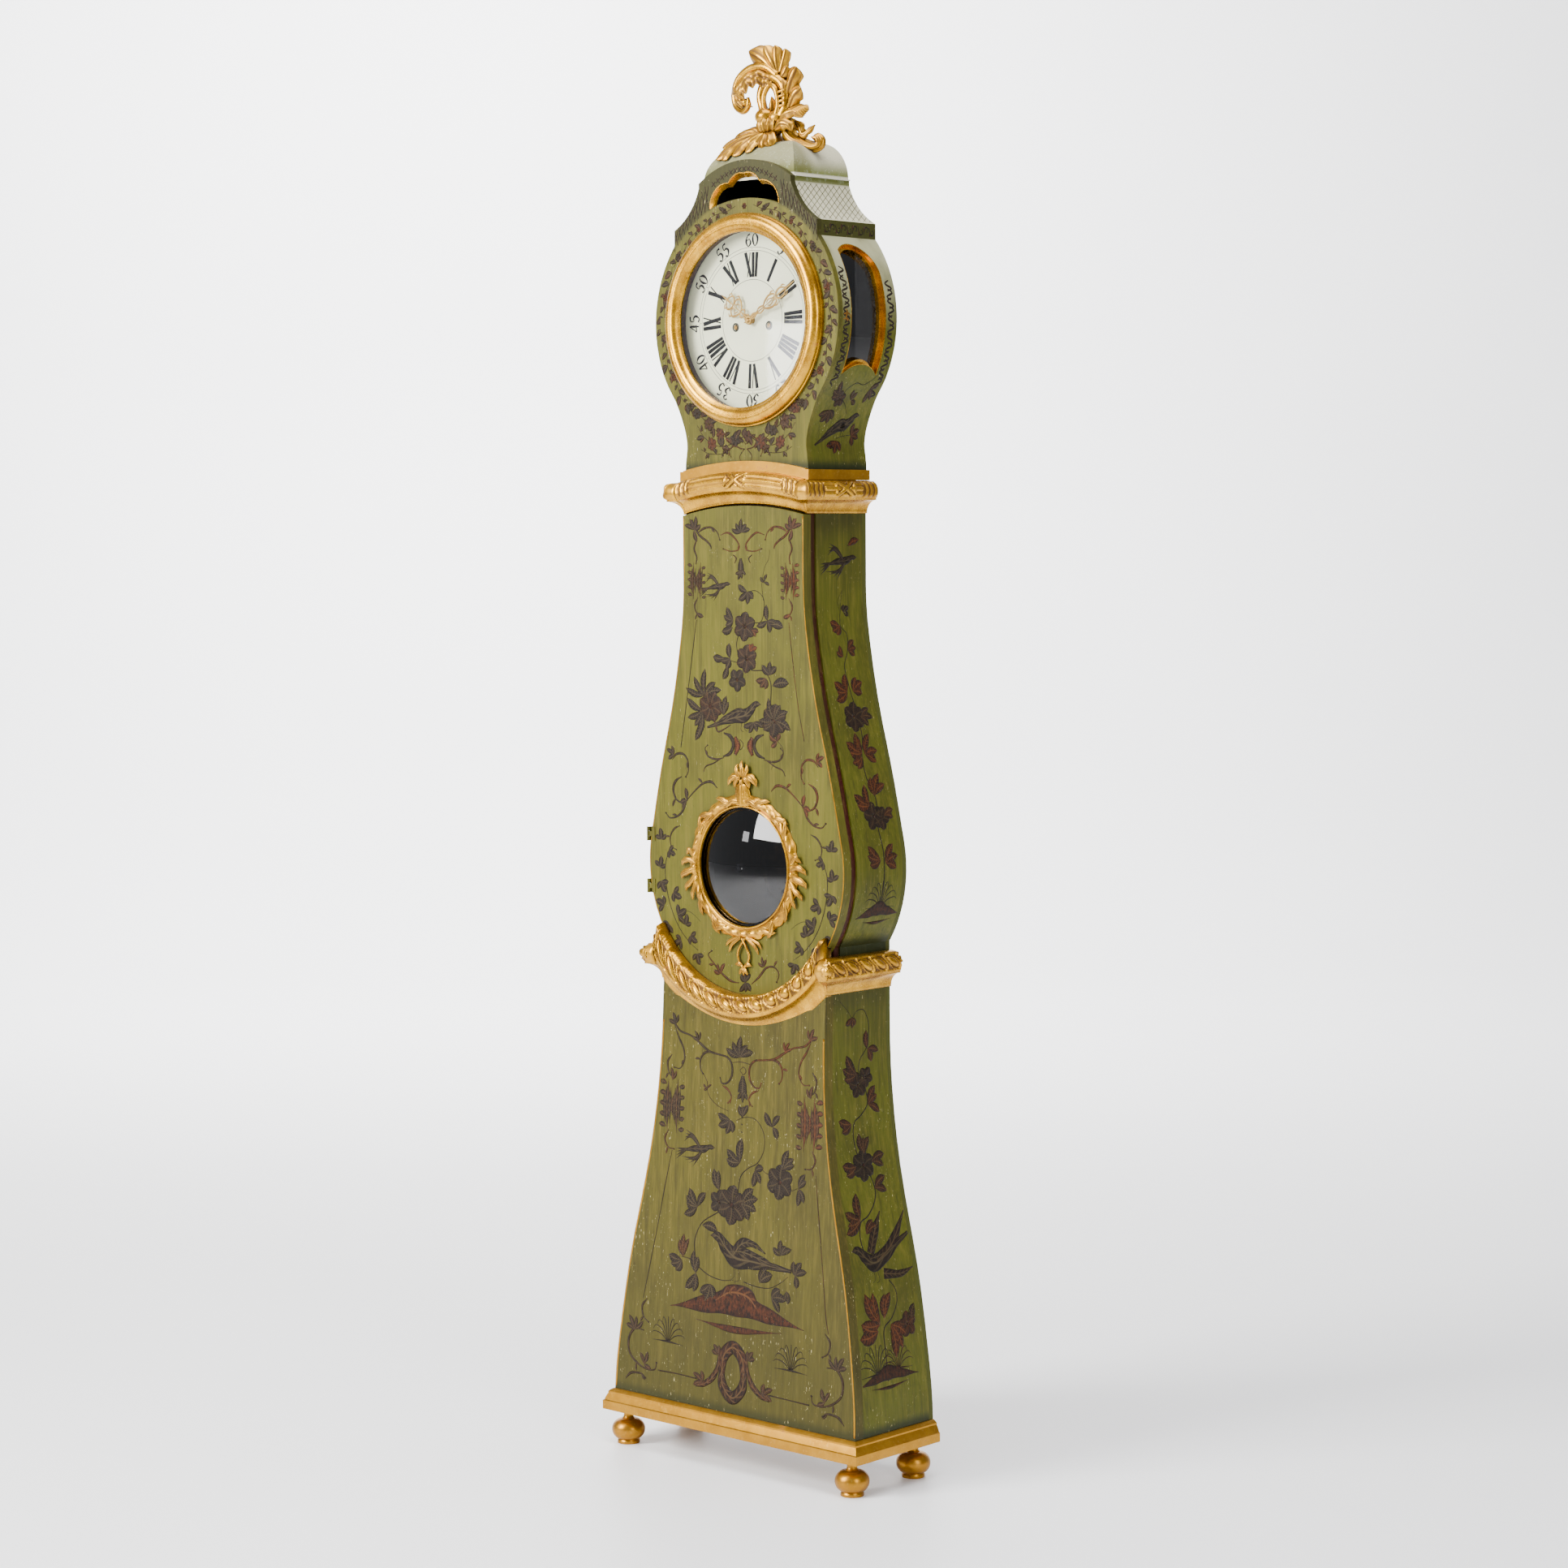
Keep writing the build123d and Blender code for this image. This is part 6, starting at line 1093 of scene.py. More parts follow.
    p = Painter(Ground(side, "hood_sides"), step=3.0)
    p.perched_bird(42, 1760, 62, 1, -0.55)
    p.stroke([(94, 1852), (80, 1838), (60, 1826), (40, 1828), (24, 1818), (22, 1804), (36, 1792), (46, 1778)],
        [1.2, 2.0, 1.8, 1.4])
    p.flower(16, 1802, 14, 5, 0.2)
    p.sprays((14, 1808, [120, 160, 190], 26, 11, 0.2), (2, 1784, [230, 270, 310, 200], 26, 12, 0.2),
        (46, 1800, [100, 60, 330], 18, 9, 0.2), (80, 1820, [260, 300, 20], 24, 10, 0.2),
        (34, 1734, [200, 250, 300], 26, 12, 0.8), (70, 1742, [30, 350, 280, 80], 22, 11, 0.5))
    p.stroke([(34, 1738), (50, 1742), (68, 1744)], [1.6, 1.4])
    z = 2010.0
    for k in range(13):
        way = 1 if k % 2 else -1
        p.stroke([(-19 + 3 * way, z + 6), (-19 - 7 * way, z), (-19 + 7 * way, z - 6), (-20 - 3 * way, z - 14)],
            [3.4, 5.0, 3.4], 0.1)
        p.stroke([(92 - 3 * way, z - 12), (92 + 7 * way, z - 18), (92 - 7 * way, z - 25), (91 + 3 * way, z - 30)],
            [3.4, 5.0, 3.4], 0.1)
        z -= 14.5
    for k in range(9):
        y = -22 + 14 * k
        up = 1 if k % 2 else -1
        p.stroke([(y, 2080 - 6 * up), (y + 5, 2080 + 6 * up), (y + 11, 2080 + 5 * up), (y + 11, 2080 - 2 * up),
            (y + 7, 2080)], [1.8, 3.2, 2.6, 2.0, 1.4], 0.0)
        p.leaf(y + 2, 2080, 90 * up, 9, 5, 0.4)
    p.piece("hood_side_painting_" + side, "hood_sides")


def hood_ornament():
    p = Painter(Ground("front", "hood_front"), step=3.0)
    z0 = HANDS.z

    def wreath(first, last, radius, sway):
        """Points of a waving line round the glazed ring."""
        points = []
        for t in range(first, last + 1, 6):
            r, a = radius + sway * math.sin(t * 0.35), math.radians(t)
            points.append((r * math.sin(a), z0 + r * math.cos(a)))
        return points

    for p.flip in (-1, 1):
        p.branch(wreath(6, 60, 188.5, 2.5), 1.2, 13.5, 0.35, 9.0)
        p.branch(wreath(60, 144, 191.0, 4.0), 1.4, 18.0, 0.3, 12.0)
    p.flip = 1
    for i, turn in enumerate((-138, -118, -97, -76, -54, -34, -14, 0, 14, 34, 54, 76, 97, 118, 138)):
        a = math.radians(turn)
        far = 190.0 if abs(turn) > 50 else 188.5
        p.flower(far * math.sin(a), z0 + far * math.cos(a), 8.0 if abs(turn) > 50 else 5.6, 6, 0.8 * (i % 2), turn)
    swag = [(-112, 1784), (-84, 1766), (-58, 1748), (-24, 1738), (4, 1744), (34, 1734), (62, 1752), (88, 1768),
            (112, 1788)]
    p.branch(swag, 1.6, 19.0, 0.3, 11.0)
    for i, (a, b) in enumerate(swag):
        p.flower(a, b, 10 + 2 * (i % 2), 6, 0.35 * (i % 3), 30 * i)
    for p.flip in (-1, 1):
        p.branch([(20, 1738), (44, 1728), (70, 1730), (96, 1744), (112, 1764)], 1.3, 16.0, 0.5, 13.0)
        p.branch([(30, 1728), (52, 1716), (84, 1716), (104, 1724)], 1.2, 14.0, 0.2, 13.0)
        p.flower(78, 1732, 11, 6, 0.8)
        p.flower(46, 1722, 9, 5, 0.2)
        p.stroke([(0, 1730), (12, 1742), (24, 1738), (18, 1726), (2, 1722)], [1.6, 3.4, 2.6, 2.0], 0.5)
        p.stroke([(4, 1722), (14, 1710), (10, 1700)], [2.6, 2.0, 1.2], 0.5)
    p.flip = 1
    p.scroll([(-10, 1722), (-26, 1728), (-38, 1720), (-34, 1710)], 4.0, 0.6)
    p.scroll([(10, 1722), (26, 1728), (38, 1720), (34, 1710)], 4.0, 0.6)
    # trellis over the shoulders of the arch
    for p.flip in (-1, 1):
        for k in range(11):
            a = 82 + 8 * k
            low = z0 + math.sqrt(206.0**2 - min(a + 4, 170) ** 2)
            high = 2163 - 7.6 * k
            if high - low > 8:
                p.stroke([(a, high), (a + 8, low)], [2.0, 2.4, 2.0], 0.2)
                p.stroke([(a, low), (a + 8, high)], [2.0, 2.4, 2.0], 0.2)
    p.flip = 1
    for k in range(15):
        a = -70 + 10 * k
        top = 2188 - a * a * 0.0042
        p.stroke([(a - 4, top - 6), (a + 4, top + 2)], [2.0, 2.6, 2.0], 0.2)
        p.stroke([(a + 4, top - 6), (a - 4, top + 2)], [2.0, 2.6, 2.0], 0.2)
    p.piece("hood_painting", "hood_front")


# ---------------------------------------------------------------- carved and gilded work
def moulding_profile(out, up):
    """Projection and height up the face of the cove and torus moulding."""
    line = [(0, 0), (0.10 * out, 0)]
    for start, bow, end, count in (
        ((0.10, 0), (0.25, 0.25), (0.72, 0.40), COVE_STEPS),
        (TORUS_FOOT, (1.0, 0.72), (0.62, 0.97), TORUS_STEPS),
    ):
        ax, az = start[0] * out, start[1] * up
        bx, bz = bow[0] * out, bow[1] * up
        cx, cz = end[0] * out, end[1] * up
        d = 2 * (ax * (bz - cz) + bx * (cz - az) + cx * (az - bz))
        ux = ((ax**2 + az**2) * (bz - cz) + (bx**2 + bz**2) * (cz - az) + (cx**2 + cz**2) * (az - bz)) / d
        uz = ((ax**2 + az**2) * (cx - bx) + (bx**2 + bz**2) * (ax - cx) + (cx**2 + cz**2) * (bx - ax)) / d
        r = math.hypot(ax - ux, az - uz)
        t0, t1 = math.atan2(az - uz, ax - ux), math.atan2(cz - uz, cx - ux)
        tm = math.atan2(bz - uz, bx - ux)
        while not min(t0, t1) <= tm <= max(t0, t1):
            if abs(t0 - tm) > abs(t1 - tm):
                t0 += 2 * math.pi * (1 if tm > t0 else -1)
            else:
                t1 += 2 * math.pi * (1 if tm > t1 else -1)
        for k in range(1, count + 1):
            t = t0 + (t1 - t0) * k / count
            line.append((ux + r * math.cos(t), uz + r * math.sin(t)))
        if count == COVE_STEPS:
            line += [(0.80 * out, 0.40 * up), (TORUS_FOOT[0] * out, TORUS_FOOT[1] * up)]
    line += [(0.20 * out, up), (0, up)]
    return line


def carve(profile, first, last, run, depth):
    """The profile pushed in and out along its own normal by depth(run, share across)."""
    made, hollows = [], []
    for i, (a, b) in enumerate(profile):
        if first <= i <= last:
            t = (i - first) / (last - first)
            pa, pb = profile[max(i - 1, 0)], profile[min(i + 1, len(profile) - 1)]
            ta, tb = pb[0] - pa[0], pb[1] - pa[1]
            size = math.hypot(ta, tb) or 1.0
            fade = min(1.0, 10 * t, 10 * (1 - t))
            d, hollow = depth(run, t)
            made.append((a + tb / size * d * fade, b - ta / size * d * fade))
            hollows.append(hollow * fade)
        else:
            made.append((a, b))
            hollows.append(0.0)
    return made, hollows


def gadroons(pitch, lean):
    """Egg-shaped lobes with a raised rim, leaning over the torus."""

    def depth(run, t):
        u = (run + lean * (t - 0.5)) / pitch
        u -= math.floor(u)
        x = (u - 0.5) * 2
        y = (t - 0.5) * 2
        r = math.sqrt((x / 0.90) ** 2 + (y / 1.02) ** 2)
        if r < 0.66:
            d = -4.0 + 5.0 * math.sqrt(max(0.0, 1 - (r / 0.66) ** 2))
            return d, 0.6 * (r / 0.66) ** 5
        if r < 0.78:
            return -4.6, 1.0
        if r < 1.0:
            k = (r - 0.78) / 0.22
            return -4.4 + 4.6 * math.sin(math.pi * k), 0.4 * abs(k - 0.5)
        return -4.4 + 2.4 * math.sin(u * 2 * math.pi * 3) ** 2, 0.9

    return depth


def reeds(places, ribbon, wraps, wrap):
    """Reeds along the torus, bound with crossed ribbons at these places and leaves at the wraps."""

    def depth(run, t):
        near = min(abs(run - p) for p in places)
        d = -3.8 + 3.8 * abs(math.sin(t * math.pi * 3)) ** 0.6
        hollow = 1 - abs(math.sin(t * math.pi * 3)) ** 0.5
        if near < ribbon:
            x = min((run - p for p in places), key=abs) / ribbon
            cross = min(abs(x - (2 * t - 1)), abs(x + (2 * t - 1)))
            if cross < 0.26:
                return 0.9 - 1.6 * (cross / 0.26) ** 4, 0.5 * (cross / 0.26) ** 2
            if cross < 0.36:
                return -3.6, 1.0
            if near > ribbon * 0.84:
                return 0.7, 0.1
        end = min(abs(run - p) for p in wraps)
        if end < wrap:
            vein = math.sin(0.55 * end - 5.0 * abs(t - 0.45))
            lobe = math.sin(math.pi * 3 * t + 0.4)
            return -0.6 + 0.9 * vein + 0.8 * lobe, 0.45 - 0.45 * vein
        if end < wrap + 3:
            return -2.6, 1.0
        return d, hollow

    return depth


def torus_span(profile, out, rise):
    """First and last places of the torus in a profile."""
    first = profile.index((TORUS_FOOT[0] * out, TORUS_FOOT[1] * rise)) + 1
    return first, first + TORUS_STEPS - 1


def front_moulding(work, profile, span, face_y, centre_z, radius, sign, half, depth):
    """Moulding bent round a centre, cut off upright at half its width."""
    first, last = span
    middle_r = radius + sign * profile[-1][1] / 2
    full = math.asin(half / middle_r)
    steps = int(2 * full * middle_r / FRONT_STEP)
    rows, hollow = [], []
    for i in range(steps + 1):
        s = 2 * i / steps - 1
        carved, hs = carve(profile, first, last, s * full * middle_r, depth)
        ring = []
        for a, b in carved:
            r = radius + sign * b
            t = s * math.asin(min(1.0, half / r))
            ring.append((r * math.sin(t), face_y - a, centre_z + sign * r * math.cos(t)))
        back = [(p[0], face_y + 12, p[2]) for p in (ring[-1], ring[0])]
        rows.append(ring + back)
        hollow += hs + [0.0, 0.0]
    work.skin(rows, {"hollow": hollow})


def side_moulding(work, profile, span, face_y, x0, z0, back_y, sign, depth):
    """The straight run along a side, with its mitred corner."""
    first, last = span
    out = max(a for a, b in profile)
    count = int((back_y - face_y + out) / SIDE_STEP)
    rows, hollow = [], []
    for k in range(4):
        u = k / 4
        carved, hs = carve(profile, first, last, -out * (1 - u) - 40, lambda r, t: (-0.4, 0.3))
        ring = [(sign * (x0 + a * u), face_y - a, z0 + b) for a, b in carved]
        rows.append(ring + [(x - sign * 10, face_y + 8, z) for x, _, z in (ring[-1], ring[0])])
        hollow += hs + [0.0, 0.0]
    for i in range(count + 1):
        u = i / count
        y = face_y - out + (back_y - face_y + out) * u
        carved, hs = carve(profile, first, last, y, depth)
        ring = [(sign * (x0 + a), max(y, face_y - a), z0 + b) for a, b in carved]
        rows.append(ring + [(sign * (x0 - 10), max(y, face_y), end[2]) for end in (ring[-1], ring[0])])
        hollow += hs + [0.0, 0.0]
    work.skin(rows, {"hollow": hollow})


def frond(work, spine, widths, facing=(0, -1, 0), cup=0.25, ribs=0, lobes=0, thick=1.6, ragged=0.22, across=11):
    """A carved leaf: a cupped, ribbed blade with lobed edges along a curve in space.
    facing is the way its upper side looks, one vector or one for each end."""
    line, shares = smooth_line(spine, LEAF_STEP)
    looks = [Vector(v) for v in (facing if isinstance(facing, list) else [facing])]
    rows, hollow = [], []
    for i, p in enumerate(line):
        s = shares[i]
        run = (line[min(i + 1, len(line) - 1)] - line[max(i - 1, 0)]).normalized()
        look = looks[0].lerp(looks[-1], s).normalized()
        side = run.cross(look)
        side = side.normalized() if side.length > 0.02 else Vector((1, 0, 0))
        up = side.cross(run).normalized()
        half = max(along_list(widths, s) / 2, 0.25)
        if s > 0.82:
            half = max(half * math.sqrt(max(0.0, 1 - ((s - 0.82) / 0.18) ** 2)), 0.25)
        if lobes:
            notch = abs(math.sin(math.pi * lobes * s)) ** 0.7
            half *= 1 - ragged + ragged * 1.25 * notch
        top, bottom = [], []
        for k in range(across):
            t = 2 * k / (across - 1) - 1
            h = -cup * half * t * t + 0.16 * half * math.exp(-((t / 0.13) ** 2))
            cut = 0.0
            if ribs:
                wave = math.cos(math.pi * ribs * abs(t))
                h += 0.055 * half * wave * (1 - 0.4 * abs(t))
                cut = 0.75 * (0.5 - 0.5 * wave)
            if lobes:
                vein = math.cos(2 * math.pi * lobes * s - 2.2 * abs(t))
                h += 0.05 * half * vein * abs(t)
                cut = max(cut, 0.5 * (0.5 - 0.5 * vein) * abs(t))
            q = p + side * half * t
            top.append(q + up * (h + thick / 2))
            bottom.append(q + up * (h - thick / 2 * (1 - t * t) - 0.1))
            hollow.append(min(1.0, cut + 0.35 * (abs(t) < 0.22) * (abs(t) > 0.1)))
        rows.append(top + bottom[::-1])
        hollow += [0.9] * across
    work.skin(rows, {"hollow": hollow})


def knob(work, centre, radii, hollow=0.0):
    """A carved bead or boss."""
    sides, rings = 14, 9
    rows = []
    for i in range(rings + 1):
        a = math.pi * (i / rings - 0.5)
        a = max(min(a, 1.52), -1.52)
        row = []
        for k in range(sides):
            b = 2 * math.pi * k / sides
            out = (radii[0] * math.cos(a) * math.cos(b), radii[1] * math.sin(a),
                   radii[2] * math.cos(a) * math.sin(b))
            row.append(Vector(centre) + Vector(out))
        rows.append(row)
    work.skin(rows, {"hollow": [hollow] * (len(rows) * sides)})


def carved_mouldings():
    finish = gilding("carved", 1.0, carved=1.0)
    low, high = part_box("waist_moulding_sides")
    out = high.x / MM - WAIST_HALF
    face_y = low.y / MM + out
    rise = (high.z - low.z) / MM
    ring_low = LENS.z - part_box("waist_moulding_front")[0].z / MM
    profile = moulding_profile(out, rise)
    span = torus_span(profile, out, rise)
    work = Work("hollow")
    lobes = gadroons(GADROON_PITCH, 26.0)
    front_moulding(work, profile, span, face_y, LENS.z, ring_low, -1, WAIST_HALF, lobes)
    work.piece("waist_carving_front", finish, "case", "gilding", ("waist_moulding_front",))
    work = Work("hollow")
    lobes = gadroons(GADROON_PITCH, 30.0)
    for sign in (-1, 1):
        side_moulding(work, profile, span, face_y, WAIST_HALF, low.z / MM, high.y / MM, sign, lobes)
        # leaf folded over the corner
        x, y, z = sign * (WAIST_HALF + out * 0.72), face_y - out * 0.72, low.z / MM + rise * 0.72
        spine = [(x * 0.93, y + 12, z + 14), (x, y - 1, z + 8), (x + sign * 3, y - 5, z - 6),
                 (x - sign * 4, y + 3, z - 18)]
        frond(work, spine, [9, 20, 22, 8], (sign, -1, 0.2), 0.5, 4, 3)
    work.piece("waist_carving_sides", finish, "case", "gilding", ("waist_moulding_sides",))

    low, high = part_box("neck_mouldings")
    out = high.x / MM - NECK_HALF
    face_y = low.y / MM + out
    inner_r, centre_z, rise = 605.1, 1628.0 - 603.1, 55.0
    profile = moulding_profile(out, rise)
    span = torus_span(profile, out, rise)
    work = Work("hollow")
    bound = reeds([0.0], 24.0, (-140.0, 140.0), 30.0)
    front_moulding(work, profile, span, face_y, centre_z, inner_r, 1, NECK_HALF, bound)
    bound = reeds([26.0], 24.0, (face_y - 20, high.y / MM), 34.0)
    for sign in (-1, 1):
        side_moulding(work, profile, span, face_y, NECK_HALF, low.z / MM, high.y / MM, sign, bound)
    work.piece("neck_carving", finish, "case", "gilding", ("neck_mouldings",))


def lens_carving():
    finish = gilding("lens", 0.3, carved=0.5)
    work = Work("hollow")
    rows, hollow = [], []
    steps = 420
    radii = [100.6, 100.9, 102.2, 103.8, 104.8, 105.6]
    radii += [105.6 + 13.4 * k / 12 for k in range(1, 13)] + [121.0, 122.4, 122.8]
    for i in range(steps):
        t = 2 * math.pi * i / steps
        row = []
        for k, r in enumerate(radii):
            if k < 6:
                h = (2.5, 5.2, 6.6, 6.2, 4.2, 3.2)[k]
                cut = (0.2, 0, 0, 0, 0.5, 0.9)[k]
                wide = r
            elif k < 18:
                u = (k - 6) / 11
                flute = math.sin(34 * t + u * 2.6)
                ripple = 0.5 + 0.5 * math.sin(9 * t + 1.3)
                h = 3.2 + 4.6 * math.sin(math.pi * (0.12 + 0.8 * u)) + 1.0 * flute * math.sin(math.pi * u)
                cut = 0.75 * (0.5 - 0.5 * flute) * math.sin(math.pi * u)
                wide = r + 1.6 * ripple * u
            else:
                ragged = 1.4 * math.sin(27 * t) + 1.6 * math.sin(11 * t + 0.7)
                h = (3.4, 2.2, 0.3)[k - 18]
                cut = (0.3, 0.4, 0.7)[k - 18]
                wide = r + ragged + (0, 0.4, 0.2)[k - 18]
            row.append((wide * math.sin(t), DOOR_Y - h, LENS.z + wide * math.cos(t)))
            hollow.append(cut)
        row += [(r * math.sin(t), DOOR_Y + 0.05, LENS.z + r * math.cos(t)) for r in (radii[-1], radii[0])]
        hollow += [0.6, 0.6]
        rows.append(row)
    rows.append(rows[0])
    hollow += hollow[: len(rows[0])]
    work.skin(rows, {"hollow": hollow}, caps=False)

    def at(x, z, lift):
        return (x, DOOR_Y - lift, LENS.z + z)

    def polar(turn, r, lift):
        a = math.radians(turn)
        return (r * math.sin(a), DOOR_Y - lift, LENS.z + r * math.cos(a))

    # leaves that run round the ring and lift off its edge
    for turn, way, size in (
        (14, 1, 20), (38, 1, 24), (62, -1, 20), (118, 1, 22), (140, 1, 24), (160, -1, 18),
        (-14, -1, 20), (-38, -1, 24), (-62, 1, 20), (-118, -1, 22), (-140, -1, 24), (-160, 1, 18),
    ):
        frond(work, [polar(turn, 108, 6), polar(turn + way * 5, 116, 8), polar(turn + way * 10, 124, 7),
            polar(turn + way * 15, 129, 3)], [5, size * 0.5, size * 0.45, 2], (0, -1, 0), 0.45, 3, 3, 1.8)
        frond(work, [polar(turn, 109, 7), polar(turn + way * 7, 112, 8.5), polar(turn + way * 14, 115, 6)],
            [4, size * 0.4, 2], (0, -1, 0), 0.45, 3, 3, 1.6)
    # shells at the sides
    for side in (-1, 1):
        for d, r, wide in ((0, 146, 13), (9, 142, 11), (-9, 143, 11), (17, 134, 9), (-17, 133, 9)):
            turn = side * (96 + d)
            frond(work, [polar(side * (94 + d * 0.4), 108, 6), polar(turn, 124, 9),
                polar(turn + side * 2, r - 6, 8), polar(turn + side * 5, r, 3)], [6, wide, wide * 0.9, 3],
                (0, -1, 0), 0.5, 4, 3, 2.0)
        knob(work, polar(side * 93, 112, 7), (5, 3, 5))
    # crest: stem with an oval boss, drooping collar, flame bud
    frond(work, [at(0, 104, 5), at(0, 124, 6), at(0, 142, 6)], [52, 34, 24], (0, -1, 0), 0.25, 0, 0, 5, across=15)
    knob(work, at(0, 121, 7.2), (7, 2.0, 9))
    for side in (-1, 1):
        for spine, widths, tilt, cup, ribs in (
            ([(8, 112, 6), (22, 112, 8), (34, 104, 7), (40, 98, 4)], [10, 13, 11, 3], 0.3, 0.4, 3),
            ([(4, 150, 6), (16, 154, 8), (27, 148, 7.5), (33, 137, 4)], [8, 14, 13, 4], 0.4, 0.5, 4),
            ([(2, 150, 7), (9, 150, 9), (15, 142, 8), (17, 133, 5)], [7, 11, 10, 3], 0.2, 0.5, 4),
            ([(3, 152, 6), (10, 160, 8), (12, 168, 7), (8, 174, 4)], [8, 10, 8, 2], 0, 0.4, 3),
        ):
            frond(work, [at(side * x, z, out) for x, z, out in spine], widths, (0, -1, tilt), cup, ribs, 3)
    frond(work, [at(0, 148, 8), at(0, 140, 9), at(0, 131, 7)], [9, 12, 4], (0, -1, 0.2), 0.5, 4, 3)
    frond(work, [at(0, 152, 6), at(1, 164, 8), at(-1, 173, 7), at(0, 180, 4)], [9, 12, 9, 2], cup=0.4, ribs=3,
        lobes=4)
    # ribbons and pendant loop
    for side in (-1, 1):
        for spine, widths in (
            ([(6, -118, 5), (18, -126, 6), (28, -134, 5), (34, -146, 3)], [6, 7, 6, 3]),
            ([(5, -120, 5), (20, -122, 5), (34, -128, 4), (41, -136, 3)], [5, 6, 6, 2]),
        ):
            frond(work, [at(side * x, z, out) for x, z, out in spine], widths, cup=0.4, ribs=2, thick=2.0)
        loop = [(-4, -120, 4), (8, -136, 5), (13, -150, 4), (8, -164, 4), (0, -170, 4)]
        work.tube([at(side * x, z, out) for x, z, out in loop], [2.4, 2.2, 2.0, 2.2], 8)
        for spine, widths, lobes in (
            ([(2, -168, 4), (10, -164, 6), (19, -166, 4)], [5, 9, 2], 3),
            ([(1, -170, 4), (6, -176, 6), (10, -182, 4)], [5, 7, 2], 2),
        ):
            frond(work, [at(side * x, z, out) for x, z, out in spine], widths, cup=0.4, ribs=3, lobes=lobes)
    frond(work, [at(0, -168, 4), at(0, -176, 6), at(0, -184, 3)], [5, 8, 2], cup=0.4, ribs=3, lobes=3)
    work.piece("lens_carving", finish, "door", "gilding", ("lens_frame",))


